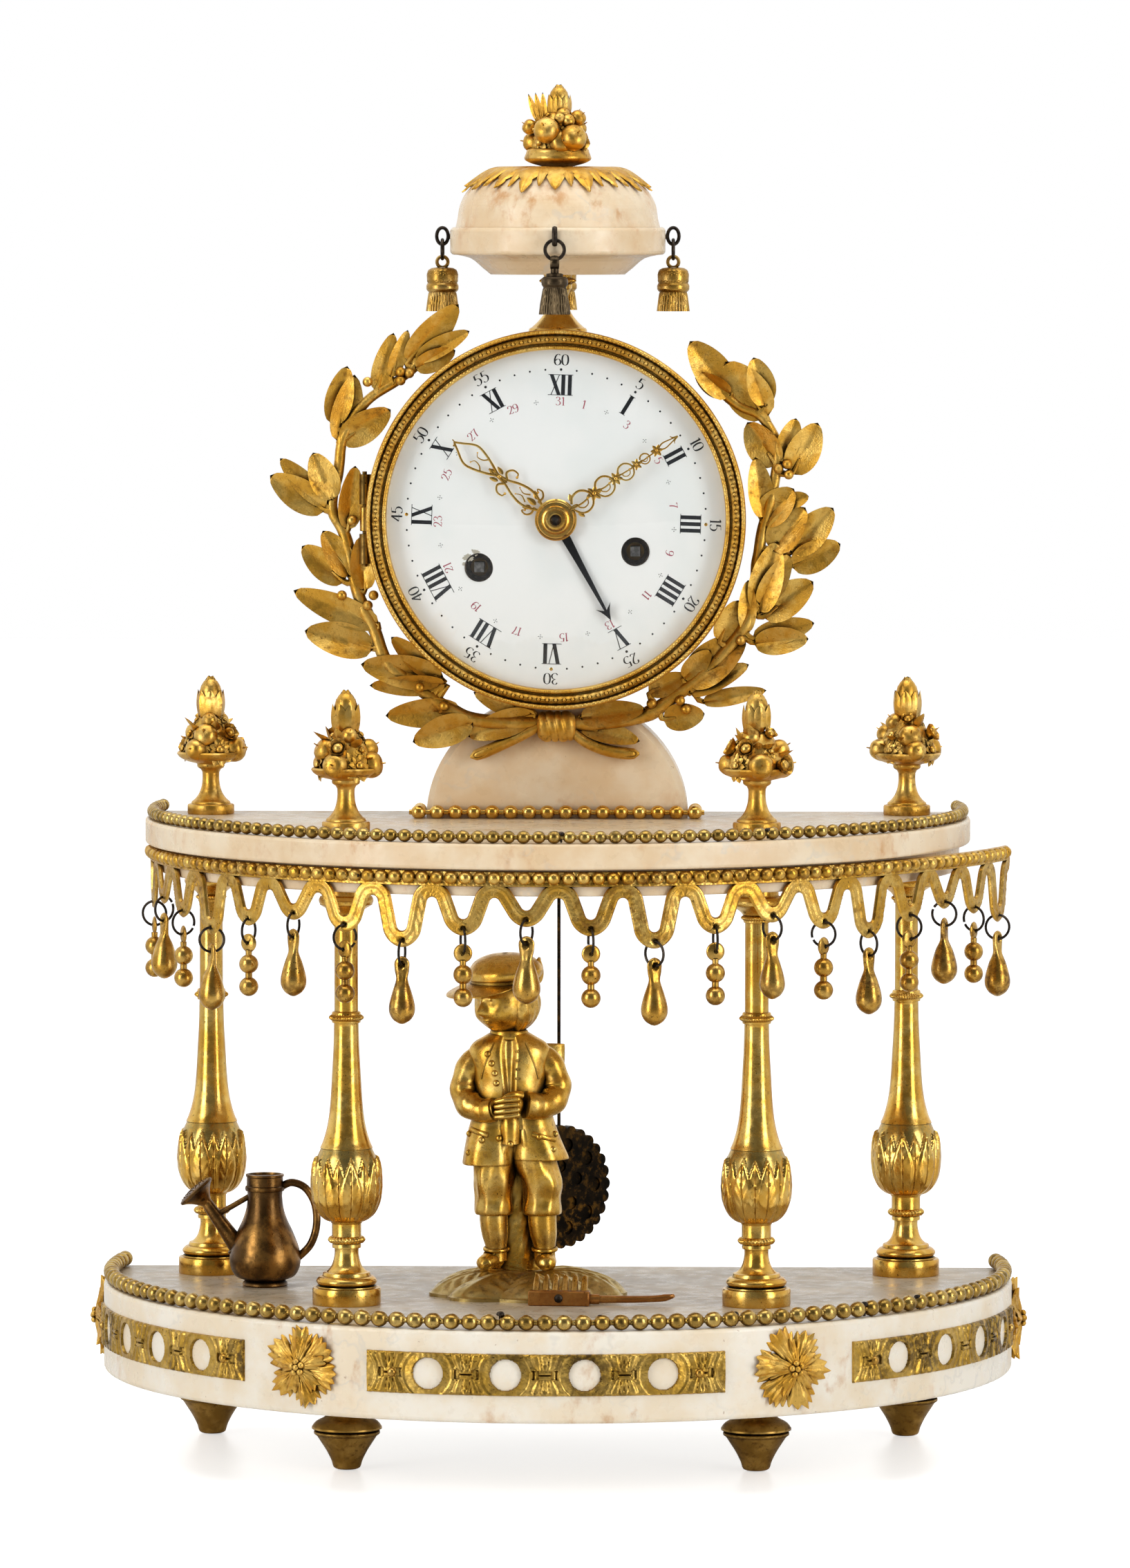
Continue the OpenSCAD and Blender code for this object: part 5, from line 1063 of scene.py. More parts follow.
def column_relief(r, z, a):
    """Leaves, collar, punched band and milled rings of a column, added to its radius."""
    front, _ = leaf_row(z, a, 0.0, LEAF_TO, 0.44, 0.95)
    behind, _ = leaf_row(z, a, 0.5, LEAF_TO - 0.6, 0.4, 0.55)
    in_cup = (z > LEAF_FROM - 0.3) & (z < LINE_Z)
    leaves = np.where(in_cup, np.maximum(front, behind) - 0.35 * smooth_step((z - LEAF_FROM) / 3), 0)
    twist = rope(z, a, 22.1, 1.15, 0.2, 30, 2.2)
    milled = rope(z, a, 98.2, 0.9, 0.16, 40, 0.6) + rope(z, a, 132.6, 0.8, 0.14, 36, 1.6)
    punched = np.where((z > 23.7) & (z < 27.5), 0.09 * np.sin(61 * a + 5 * z) * np.sin(9 * z + 23 * a), 0)
    return leaves + twist + milled + punched


def column_recess(points, z0):
    """The recess value of each point: 1 on the bulb's ground between the leaf tips."""
    a, z = np.arctan2(points[:, 1], points[:, 0]), points[:, 2] - z0
    _, on_front = leaf_row(z, a, 0.0, LEAF_TO, 0.44, 0.95)
    _, on_behind = leaf_row(z, a, 0.5, LEAF_TO - 0.6, 0.4, 0.55)
    ground = (1 - np.maximum(on_front, on_behind)) * smooth_step((z - 41) / 4) * (z < LINE_Z)
    low_rim = 0.35 * (np.abs(z - 6) < 0.5)
    return np.clip(ground + low_rim, 0, 1)


one_column = moved(revolve(column_profile(), 208, column_relief), place=(0, 0, BASE_TOP))
recess = column_recess(one_column[0], BASE_TOP)
for k, (node, place) in enumerate(zip(COLUMN_NODES, COLUMNS)):
    turned_column = moved(one_column, turn_z(math.radians(11.25 + 9 * k)), (*place, 0))
    piece(node.replace("column", "turned_column"), turned_column, column_gilding, nodes=[node],
          recess=recess)
print("Four columns of", len(one_column[2]), "faces each")

# %% [markdown]
# ## Fruit finials
# Over each column stands a turned foot with a cup, and in it a heap of cast fruit and flowers with
# a tall bud on top. No two heaps are alike. The parts are small: an apple is a ball with dimples at
# its poles, a daisy is a ring of petals about a button, and a leaf is a grid folded along its rib.

# %% Fruit, flowers and leaves
DIMPLE, PETALS = 0.18, 11


def leaf(length, width, fold=0.25, bend=0.3, teeth=0.0, rows=18, columns=9, thick=0.35, veins=0.06,
         pointed=1.0):
    """A leaf along +Y: half width w sin(pi t)^p, edges folded up, bent up along its run, with veins."""
    t = np.linspace(0, 1, rows)[:, None]
    u = np.linspace(-1, 1, columns)[None, :]
    half = width / 2 * np.sin(math.pi * t ** 0.8) ** (0.75 * pointed)
    half = half * (1 + teeth * (1 - 2 * np.abs((t * 7) % 1 - 0.5)))
    rib = rounded(u, 0.16) * (1 - t)
    side = np.sin((t * 9 + np.abs(u) * 1.6) * TAU) * veins * width * 0.25 * np.abs(u) * (1 - np.abs(u))
    height = fold * width * np.abs(u) ** 1.3 * np.sin(math.pi * t) + bend * length * t ** 2
    height = height - 0.05 * width * rib + side
    top = np.stack([half * u, length * t + 0 * u, height + 0 * half], -1)
    depth = thick * np.sin(math.pi * np.clip(t, 0.02, 0.98)) * (1 - 0.7 * u ** 2)
    return between(top, top - np.array([0, 0, 1.0]) * depth[..., None])


def fruit(radius, tall=1.0, sides=18):
    """An apple or pear with a stalk: r = R cos b, z = R (tall sin b), sunk by a dimple at the top."""
    b = np.linspace(-math.pi / 2, math.pi / 2, 13)
    r = np.cos(b) * (1 - 0.12 * np.sin(b) * (tall - 1) * 3)
    z = np.sin(b) * tall - DIMPLE * np.clip(np.sin(b), 0, 1) ** 6
    profile = np.stack([np.abs(np.round(r, 9)), z], -1) * radius
    stalk = revolve([(0, 0), (0.07, 0), (0.05, 0.3), (0, 0.3)], 6)
    return joined([revolve(profile, sides), moved(stalk, None, (0, 0, 0.85 * tall * radius), radius)])


def daisy(radius):
    """A flower looking along +Z: petals in a ring, a smaller ring above, and a button."""
    petal = leaf(radius, radius * 0.62, fold=0.12, bend=-0.12, rows=9, columns=5, veins=0, pointed=0.7)
    few = PETALS - 3
    turns = turn_z(np.arange(PETALS) * TAU / PETALS)
    upper = turn_z((np.arange(few) + 0.5) * TAU / few)
    return joined([copies(petal, turns, np.zeros((PETALS, 3))),
                   copies(petal, upper, np.tile([0, 0, radius * 0.16], (few, 1)), np.full(few, 0.66)),
                   moved(ball(radius * 0.26, 12, 8, (1, 1, 0.7)), None, (0, 0, radius * 0.22))])


def rose(radius):
    """An opening rose: three rings of broad cupped petals round a small ball."""
    parts = [moved(ball(radius * 0.42, 12, 8), None, (0, 0, radius * 0.4))]
    for count, size, tilt in ((5, 1.0, 0.55), (5, 0.78, 0.95), (4, 0.56, 1.3)):
        petal = leaf(radius * size, radius * size * 0.95, fold=0.3, bend=0.25, rows=8, columns=6, veins=0,
                     pointed=0.55)
        turn = turn_z((np.arange(count) + tilt) * TAU / count) @ turn_x(tilt)
        parts.append(copies(petal, turn, np.zeros((count, 3))))
    return joined(parts)


def bud(height, radius):
    """The bud on top: overlapping pointed leaves in four rings round an egg."""
    parts = [moved(ball(1, 14, 10, (radius * 0.75, radius * 0.75, height * 0.46)), None,
                   (0, 0, height * 0.44))]
    for ring in range(4):
        count = 7 - ring
        size = height * (0.62 - 0.07 * ring)
        one = leaf(size, radius * 0.98, fold=0.16, bend=0.14, rows=12, columns=7, thick=0.4)
        lean = 1.38 + 0.06 * ring
        around = turn_z((np.arange(count) + 0.5 * ring) * TAU / count)
        turn = around @ turn_x(lean)
        out = around @ np.array([0, radius * (0.72 - 0.13 * ring), 0])
        out[:, 2] = height * (0.02 + 0.17 * ring)
        parts.append(copies(one, turn, out))
    return joined(parts)


# Number of fruits in a ring, its radius and height as shares of the heap's, and the fruits' size
HEAP_RINGS = ((7, 0.66, 0.2, 1.0), (6, 0.52, 0.47, 0.95), (5, 0.34, 0.74, 0.72))
HEAP_LEAVES = 14


def heap(radius, height, seed):
    """A heap in a cup: a core, three rings of fruit and flowers, and leaves that stick out between them."""
    chance = np.random.default_rng(seed)
    makers = [lambda: daisy(radius * 0.44), lambda: fruit(radius * 0.34), lambda: rose(radius * 0.38),
              lambda: daisy(radius * 0.36), lambda: fruit(radius * 0.3, 1.25)]
    parts = [revolve(curve([(0, 0), (radius * 0.48, 0), (radius * 0.7, height * 0.16),
                            (radius * 0.6, height * 0.45), (radius * 0.36, height * 0.78),
                            (0, height * 0.9)], 4), 24)]
    for ring, (count, reach, lift, size) in enumerate(HEAP_RINGS):
        first = chance.uniform(0, TAU)
        for k in range(count):
            a = first + k * TAU / count + chance.uniform(-0.08, 0.08)
            out = np.array([math.cos(a), math.sin(a), (0.15, 0.6, 1.1)[ring]])
            made = makers[(k + ring + seed) % len(makers)]()
            place = (radius * reach * math.cos(a), radius * reach * math.sin(a), height * lift)
            parts.append(moved(moved(made, turn_z(chance.uniform(0, TAU))), basis(out)[0], place, size))
    blade = leaf(radius * 0.95, radius * 0.5, fold=0.22, bend=0.1, teeth=0.08)
    a = chance.uniform(0, TAU) + np.arange(HEAP_LEAVES) * TAU / HEAP_LEAVES
    lean = chance.uniform(0.2, 1.15, HEAP_LEAVES)
    turn = turn_z(a) @ np.stack([turn_x(t) for t in lean])
    rise = np.linspace(0.04, 0.55, HEAP_LEAVES)[chance.permutation(HEAP_LEAVES)] * height
    place = np.stack([-np.sin(a) * radius * 0.32, np.cos(a) * radius * 0.32, rise], -1)
    size = chance.uniform(0.8, 1.0, HEAP_LEAVES) * np.where(np.arange(HEAP_LEAVES) % 2, 0.78, 0.7)
    parts.append(copies(blade, turn, place, size))
    return joined(parts)


CUP_PROFILE = [(0, 0), (8.0, 0), (8.2, 0.3), (8.2, 3.0), (7.9, 3.4), (6.9, 3.6), (6.8, 4.1)]
CUP_PROFILE += curve([(6.6, 4.4), (5.4, 5.4), (4.1, 7.3), (3.25, 9.8), (2.95, 12.4), (3.0, 14.6)],
                     4).tolist()
CUP_PROFILE += [(3.5, 15.6), (4.5, 16.2), (4.8, 16.7), (4.8, 17.5)]
CUP_PROFILE += curve([(5.4, 17.8), (8.2, 18.5), (10.8, 19.8), (11.9, 21.2)], 4).tolist()
CUP_PROFILE += [(11.5, 21.8), (0, 21.9)]
cup = revolve(CUP_PROFILE, 64)
finials = []
for k, place in enumerate(COLUMNS):
    fruits = joined([heap(13.4, 18.0, 100 + k), moved(bud(16.0, 5.6), None, (0, 0, 14.2))])
    finials += [moved(cup, None, (*place, SLAB_TOP)),
                moved(fruits, turn_z(0.7 * k), (*place, SLAB_TOP + 19.2))]
finials = joined(finials)
piece("fruit_finials", finials, fruit_gilding, nodes=["column_finials"])
print("Four finials of", len(finials[2]), "faces; tallest point %.1f mm" % finials[0][:, 2].max())
# %% [markdown]
# ## The fringe
# The fringe is a strip of gilt sheet bronze. A row of half balls runs along its top, and below
# hangs a ribbon bent into twenty waves, smooth above an engraved line and hatched below it. It
# follows the slab, but at the right it has sprung loose and runs out in a wider curve. The CAD
# joints say where each wave has its hole, so the waves are laid out from them.

# %% Where the fringe runs
# The slab's lower step stands back from the upper one, and the strip's middle lies in front of it
STEP_BACK, STRIP_OUT = 3.8, 1.2
FRINGE_R = SLAB_R - STEP_BACK + STRIP_OUT
SPRING_ANGLE, SPRING_R = math.radians(43.0), 225.0
SPRING_AT = SPRING_ANGLE * FRINGE_R
DROPS = ["%s_drop_%d" % (("bead", "pear")[k % 2], k // 2 + 1) for k in range(20)]
JOINTS = {j["name"]: j for j in frame["joints"]}
HOLES = np.array([JOINTS[d + "_swing"]["pos_m"] for d in DROPS]) / MM - np.array([0, PLAN_Y, 0])
STRIP_H, RIBBON_W, BEND_R = 5.3, 5.2, 4.5
STRIP_BOTTOM = span("fringe_band")[1][2] - STRIP_H


def heading(s):
    """Direction of the strip at run s: s / R on the slab, then SPRING_ANGLE + (s - SPRING_AT) / SPRING_R."""
    return np.where(s < SPRING_AT, s / FRINGE_R, SPRING_ANGLE + (s - SPRING_AT) / SPRING_R)


def on_fringe(s, z, out):
    """Point at run s and height z, out millimetres in front of the strip's middle."""
    h = heading(s)
    on_slab = FRINGE_R * np.stack([np.sin(h), -np.cos(h)], -1)
    far = (FRINGE_R - SPRING_R) * np.array([math.sin(SPRING_ANGLE), -math.cos(SPRING_ANGLE)])
    loose = SPRING_R * np.stack([np.sin(h), -np.cos(h)], -1) + far
    flat = np.where((s < SPRING_AT)[..., None], on_slab, loose)
    flat = flat + np.asarray(out)[..., None] * np.stack([np.sin(h), -np.cos(h)], -1)
    return np.concatenate([flat, (z + 0 * s)[..., None]], -1)


def run_of(points):
    """Run s of points near the strip, found by comparing with a fine row of its own points."""
    s = np.linspace(-FRINGE_R * 1.6, 230, 4000)
    row = on_fringe(s, 0 * s, 0 * s)[:, :2]
    return s[np.argmin(np.linalg.norm(points[:, None, :2] - row[None], axis=2), axis=1)]


DIP_S = run_of(HOLES)
DIP_PITCH = float(np.median(np.diff(DIP_S)))
BAND_LEFT, BAND_RIGHT = -FRINGE_R * math.radians(86.6), 218.0
print("Waves %.2f mm apart, first at %.1f and last at %.1f mm" % (DIP_PITCH, DIP_S[0], DIP_S[-1]))

# %% [markdown]
# The strip's front is a grid of run and height. Each bead is a half ball,
# sqrt(1 - u^2 - v^2), and a plain band with a rounded edge runs below the row.

# %% Strip
BEAD_PITCH = 4.95
STRIP_COLUMNS, STRIP_ROWS = 1420, 19
s, v = np.meshgrid(np.linspace(BAND_LEFT, BAND_RIGHT, STRIP_COLUMNS), np.linspace(0, STRIP_H, STRIP_ROWS),
                   indexing="ij")
bead_u = ((s % BEAD_PITCH) / BEAD_PITCH * 2 - 1) * 1.08
bead_v = (v - 3.0) / 2.1
cushion = np.sqrt(np.clip(1 - bead_u ** 2 - bead_v ** 2, 0, 1))
uneven = 1 + 0.1 * np.sin(np.floor(s / BEAD_PITCH) * 12.9898)
proud = 0.1 + 2.0 * cushion * uneven + 0.3 * rounded(v - 0.55, 0.7)
proud = proud + 0.06 * np.sin(s * 3.1) * np.sin(v * 2.3 + s)
# A break in the casting on the right, and dents
proud = proud - 0.7 * np.exp(-((s - 106.5) / 0.5) ** 2) - 0.35 * np.exp(-((s - 63) / 1.4) ** 2)
edge = np.ones_like(v)
edge[:, [0, -1]] = 0
edge[[0, -1], :] = 0
front = on_fringe(s, STRIP_BOTTOM + v, edge * (0.9 + proud) - 0.2)
back = on_fringe(s, STRIP_BOTTOM + v, np.full_like(v, -1.0))
strip = between(front, back)
print("Strip of", len(strip[2]), "faces")

# %% [markdown]
# A wave of the ribbon is a band of even width whose middle runs along an arc at the bottom, a
# leaning straight and an arc at the crest. With arcs of radius R that turn through q, one side
# falls 2R (1 - cos q) + (P/2 - 2R sin q) tan q over half a pitch P, so a table of q gives the lean
# for each depth. The hole is a dimple on both faces, with near-black painted shade inside it,
# and the ring's wire runs through it.

# %% Waves
LEANS = np.radians(np.linspace(5, 88, 300))
FALLS = 2 * BEND_R * (1 - np.cos(LEANS)) + (DIP_PITCH / 2 - 2 * BEND_R * np.sin(LEANS)) * np.tan(LEANS)


def wave_band(place, depth, phase):
    """One wave: arcs and straights, offset by u w/2 along their normal, and the relief of the front."""
    lean = float(np.interp(depth - RIBBON_W, FALLS, LEANS))
    fall = float(np.interp(lean, LEANS, FALLS))
    arc = BEND_R * lean
    straight = (DIP_PITCH / 2 - 2 * BEND_R * math.sin(lean)) / math.cos(lean)
    half = 2 * arc + straight
    t, u = np.meshgrid(np.linspace(-1, 1, 69), np.linspace(-1, 1, 13), indexing="ij")
    run = np.abs(t) * half
    up, down = np.minimum(run, arc) / BEND_R, np.minimum(half - run, arc) / BEND_R
    level = np.clip(run - arc, 0, straight)
    x = np.where(run <= arc + straight, BEND_R * np.sin(up) + level * math.cos(lean),
                 DIP_PITCH / 2 - BEND_R * np.sin(down))
    z = np.where(run <= arc + straight, -fall + BEND_R * (1 - np.cos(up)) + level * math.sin(lean),
                 -BEND_R * (1 - np.cos(down)))
    turn = np.where(run <= arc + straight, up, down) * np.sign(t)
    x = x * np.sign(t)
    # The lowest part is a little wider, where the hole needs metal round it
    wide = RIBBON_W / 2 * (1 + 0.14 * np.exp(-(run / 2.2) ** 2) * (u < 0))
    x = x - u * wide * np.sin(turn)
    z = z - RIBBON_W / 2 + u * wide * np.cos(turn)
    signed = np.sign(t) * run
    upper = smooth_step((u - 0.02) / 0.12)
    h = 0.62 + 0.14 * upper + 0.12 * rounded(u - 0.5, 0.45)
    h = h - 0.3 * np.exp(-((u - 0.42) / 0.07) ** 2)
    h = h + (1 - upper) * 0.13 * np.sin(signed * 7 + 2.2 * u + phase) * np.sin(5 * u + signed * 1.1)
    h = h * (1 - 0.25 * np.abs(u) ** 8)
    return x + place, z, h


def wave_surface(place, depth, hole_z, phase):
    """Front and back of a wave, with a dimple round the hole, closed at the edges."""
    x, z, h = wave_band(place, depth, phase)
    top = STRIP_BOTTOM + RIBBON_W * 0.3
    from_hole = np.hypot(x - place, z + top - hole_z)
    dimple = smooth_step((1.15 - from_hole) / 0.5)
    lip = 0.12 * np.exp(-((from_hole - 1.4) / 0.3) ** 2)
    front = on_fringe(x, top + z, (h + lip) * (1 - dimple) + 0.05)
    back = on_fringe(x, top + z, -0.6 * (1 - dimple) - 0.02)
    edge_points = on_fringe(x, top + z, 0.1 + 0 * h)
    front[:, [0, -1]] = edge_points[:, [0, -1]]
    return between(front, back)


DEPTHS = STRIP_BOTTOM - HOLES[:, 2] + 2.1
waves = [wave_surface(DIP_S[k], DEPTHS[k] + RIBBON_W * 0.3, HOLES[k, 2], k * 1.7) for k in range(20)]
fringe = joined([strip] + waves)
# Painted shade: the mask round each hole takes the near-black recess colour, so the dimple reads as a dark
# hole.
in_hole = np.zeros(len(fringe[0]))
for hole in HOLES:
    near = np.linalg.norm(fringe[0] - hole, axis=1)
    in_hole = np.maximum(in_hole, smooth_step((1.25 - near) / 0.4))
piece("fringe_band_chased", fringe, fringe_gilding, nodes=["fringe_band"], sharp=math.radians(50),
      recess=in_hole)
nails = []
for s0 in np.array([-66.0, 12.5]):
    out = on_fringe(s0, STRIP_BOTTOM + 3.0, np.array(1.2))
    nails.append(moved(head, turn_z(float(heading(s0))) @ turn_x(math.pi / 2), out, 0.95))
piece("fringe_nails", joined(nails), iron_wire)
print("Fringe of", len(fringe[2]), "faces")

# %% [markdown]
# ## Drops
# Ten pear drops and ten pairs of beads hang on iron rings, and swing in and out about their
# holes. Each drop rides on its own CAD body. The rings are bent from wire and don't quite close,
# and each hangs turned by an angle of its own.

# %% Pears, bead pairs and rings
RING_R, WIRE = 4.2, 0.45


def wire_ring(turn, gap):
    """A ring of wire hung in the y-z plane below the origin, turned about z, with a small gap."""
    a = np.linspace(gap, TAU - 0.2 + gap, 34)
    path = np.stack([0 * a, RING_R * np.sin(a), -RING_R + RING_R * np.cos(a)], -1)
    return moved(sweep(path, WIRE, 8, up=(1, 0, 0)), turn_z(turn))


def pear(own):
    """A pear drop: a flat eye that swells to a pear, with a soft groove down its front and back."""
    profile = [(0, 2.7)]
    profile += [(2.5 * math.sin(k * math.pi / 12), 2.65 * math.cos(k * math.pi / 12)) for k in range(1, 6)]
    profile += curve([(2.45, 0), (2.25, -2.0), (1.85, -4.0), (2.1, -5.6), (2.95, -8.2), (3.75, -11.0),
                      (4.1, -13.2), (3.85, -15.2), (2.7, -17.0), (1.0, -18.1)], 4).tolist()
    profile.append((0.0, -18.35))
    p, corners, sizes = revolve(profile, 36)
    # The eye is beaten flat, and further down the pear is round
    round_share = smooth_step((-p[:, 2] - 1.0) / 6.5)
    p = p.copy()
    p[:, 1] *= 0.38 + 0.62 * round_share
    groove = np.exp(-(p[:, 0] / 0.8) ** 2) * 0.25 * round_share * (1 - round_share) * 4
    p[:, 1] -= groove * np.sign(p[:, 1])
    hole = smooth_step((1.25 - np.hypot(p[:, 0], p[:, 2])) / 0.5)
    p[:, 1] *= 1 - 0.85 * hole
    p[:, 0] *= 1 + 0.05 * math.sin(own * 2.3)
    return p, corners, sizes


def bead_pair(own):
    """A disc eye with two balls under it on a short neck."""
    disc = [(2.85 * math.sin(k), 0.8 * math.cos(k)) for k in np.linspace(0.25, math.pi - 0.25, 9)]
    eye = moved(revolve([(0, 0.35), (1.2, 0.5)] + disc + [(1.2, -0.5), (0, -0.35)], 28), turn_x(math.pi / 2))
    ball_low = [(0, -2.2), (1.0, -2.2), (0.95, -3.6)]
    for centre in (-6.45, -13.35):
        b = np.linspace(1.2, -1.2 if centre > -10 else -math.pi / 2, 12)
        ball_low += list(zip(2.95 * np.cos(b), centre + 2.95 * np.sin(b)))
    ball_low = [(max(r, 0), z) for r, z in ball_low]
    ball_low[-1] = (0, ball_low[-1][1])
    return joined([eye, moved(revolve(ball_low, 26), turn_z(own))])


RING_TURNS = 0.34 + 0.24 * np.sin(np.arange(20) * 2.4)
PEAR_SIZE, PAIR_SIZE = 1.09, 1.11
for k, drop in enumerate(DROPS):
    facing = float(heading(np.array(DIP_S[k])))
    eye = HOLES[k] - np.array([0, 0, 2 * RING_R])
    kind, size = (pear(k), PEAR_SIZE) if k % 2 else (bead_pair(k), PAIR_SIZE)
    bob = moved(kind, turn_z(facing + 0.25 * math.sin(k * 1.9)), eye, size)
    # Painted shade: the near-black recess colour is laid round the eye, so the flattened eye reads as a hole.
    hole_mask = smooth_step((1.3 - np.linalg.norm(bob[0] - eye, axis=1)) / 0.5)
    body = JOINTS[drop + "_swing"]["child"]
    piece(drop + "_gilt", bob, drop_gilding, body=body, nodes=[drop], recess=hole_mask)
    side = 1 if k % 3 else -1
    ring = moved(wire_ring(facing + side * RING_TURNS[k], 0.3 + 0.9 * (k % 4)), None, HOLES[k])
    piece(drop + "_ring", ring, iron_wire, body=body)
print("Twenty drops on their rings")
# %% [markdown]
# ## Figures on the enamel
# The dial carries three rings: black Roman hours, minute dots with small Arabic numbers beyond
# them, and carmine odd dates within, with a five-dot star for each even day. All of them stand
# with their tops outwards. An enameller's brush is fat downwards and thin sideways, so each
# stroke here is a line whose width depends on its direction.

# %% Pen, digits and the place of a figure on the dial
DIAL_FRONT, DIAL_SAG = -span("dial")[0][1], 2.4
DIAL_TURN = math.radians(1.9)
DIAL_BALL = (DIAL_R ** 2 + DIAL_SAG ** 2) / (2 * DIAL_SAG)
# Radii of the dates, the hours, the minute dots and the minute numbers, and the paint's thickness
DATE_RING, HOUR_RING, DOT_RING, MINUTE_RING = 41.0, 46.6, 51.9, 55.3
PAINT = 0.035


def dial_front(r):
    """How far the enamel stands in front of the plan's centre: a shallow sphere with sag DIAL_SAG."""
    return DIAL_FRONT - DIAL_BALL + np.sqrt(DIAL_BALL ** 2 - r ** 2)


def pen(points, thick, thin):
    """A flat brush stroke in the x-z plane: width thin + (thick - thin) |upright share|^2."""
    p = curve(points, 5)
    p = np.column_stack([p[:, 0], 0 * p[:, 0], p[:, 1]])
    t = np.gradient(p, axis=0)
    upright = np.abs(t[:, 2]) / np.maximum(np.linalg.norm(t, axis=1), 1e-9)
    width = (thin + (thick - thin) * upright ** 2) / 2
    return sweep(p, width, 4, up=(0, 1, 0), flat=0.12)


DIGITS = {
    "0": [[(0.3, 0.98), (0.1, 0.86), (0.03, 0.5), (0.1, 0.14), (0.3, 0.02), (0.5, 0.14), (0.57, 0.5),
           (0.5, 0.86), (0.3, 0.98)]],
    "1": [[(0.08, 0.84), (0.24, 0.97)], [(0.26, 0.98), (0.26, 0.0)], [(0.12, 0.0), (0.4, 0.0)]],
    "2": [[(0.08, 0.74), (0.12, 0.92), (0.3, 1.0), (0.5, 0.9), (0.52, 0.7), (0.36, 0.4), (0.05, 0.04)],
          [(0.05, 0.04), (0.2, 0.1), (0.42, 0.02), (0.58, 0.16)]],
    "3": [[(0.08, 0.84), (0.22, 0.99), (0.42, 0.94), (0.5, 0.77), (0.4, 0.6), (0.22, 0.54)],
          [(0.22, 0.54), (0.45, 0.47), (0.57, 0.27), (0.45, 0.06), (0.22, 0.0), (0.05, 0.14)]],
    "4": [[(0.44, 0.98), (0.02, 0.3)], [(0.02, 0.3), (0.62, 0.3)], [(0.44, 0.98), (0.44, 0.0)]],
    "5": [[(0.53, 0.98), (0.16, 0.96)], [(0.16, 0.96), (0.12, 0.56)],
          [(0.12, 0.56), (0.32, 0.62), (0.52, 0.5), (0.56, 0.28), (0.42, 0.05), (0.2, 0.0), (0.05, 0.12)]],
    "6": [[(0.52, 0.9), (0.36, 0.99), (0.16, 0.84), (0.05, 0.5), (0.1, 0.14), (0.3, 0.01), (0.5, 0.1),
           (0.57, 0.3), (0.46, 0.52), (0.28, 0.55), (0.1, 0.4)]],
    "7": [[(0.04, 0.82), (0.1, 0.96), (0.34, 0.92), (0.57, 0.98)], [(0.57, 0.98), (0.36, 0.55), (0.28, 0.0)]],
    "9": [[(0.08, 0.1), (0.24, 0.01), (0.44, 0.16), (0.55, 0.5), (0.5, 0.86), (0.3, 0.99), (0.1, 0.9),
           (0.03, 0.7), (0.14, 0.48), (0.32, 0.45), (0.5, 0.6)]],
}


def number(text, height, thick, thin):
    """The digits of a number side by side, centred on the origin of the x-z plane."""
    strokes, x = [], 0.0
    for digit in text:
        for line in DIGITS[digit]:
            points = [((px + x) * height, (pz - 0.5) * height) for px, pz in line]
            strokes.append(pen(points, thick * height, thin * height))
        x += 0.46 if digit == "1" else 0.68
    made = joined(strokes)
    return moved(made, place=(-(x - 0.08) * height / 2, 0, 0))


def bar(x0, x1, width, height):
    """A bold straight stroke from the foot at x0 to the head at x1, with square ends."""
    x, z = np.array([[x0 - width / 2, -height / 2], [x0 + width / 2, -height / 2],
                     [x1 + width / 2, height / 2], [x1 - width / 2, height / 2]]).T
    ring = np.stack([x, 0 * x, z], -1)
    top = ring + np.array([0, -0.04, 0])
    points = np.concatenate([top, ring + np.array([0, 0.05, 0])])
    corners = [0, 1, 2, 3, 7, 6, 5, 4]
    corners += [c for k in range(4) for c in (k, k + 4, (k + 1) % 4 + 4, (k + 1) % 4)]
    return outward((points, np.array(corners), np.full(6, 4)))


def roman(text):
    """A Roman hour from bold bars and hairlines, closed above and below by a hairline serif."""
    height, bold, hair, gap = 7.0, 1.32, 0.2, 2.28
    parts, x = [], 0.0
    for letter in text:
        if letter == "I":
            parts.append(bar(x, x, bold, height))
            x += gap
        elif letter == "V":
            parts += [bar(x + 1.5, x, bold, height), bar(x + 1.6, x + 3.1, hair * 1.4, height)]
            x += 3.1 + gap * 0.62
        else:
            parts += [bar(x + 2.7, x, bold, height), bar(x, x + 2.7, hair * 1.4, height)]
            x += 2.7 + gap * 0.62
    x = x - (gap if text.endswith("I") else gap * 0.62)
    for z in (-height / 2, height / 2):
        parts.append(moved(bar(x / 2, x / 2, x + bold + 0.9, hair), place=(0, 0, z)))
    return moved(joined(parts), place=(-x / 2, 0, 0))


def on_enamel(surface, radius, turn):
    """Moves a figure to a radius and a clockwise turn from the top, and lays it on the enamel."""
    a = turn + DIAL_TURN
    p = surface[0].copy()
    x = (radius + p[:, 2]) * math.sin(a) + p[:, 0] * math.cos(a)
    z = (radius + p[:, 2]) * math.cos(a) - p[:, 0] * math.sin(a)
    y = p[:, 1] - dial_front(np.hypot(x, z)) - PAINT
    return np.stack([x, y, z + DIAL_Z], -1), surface[1], surface[2]


def dot(radius):
    """A drop of enamel: a very flat ball."""
    return ball(radius, 12, 4, (1, 0.16, 1))


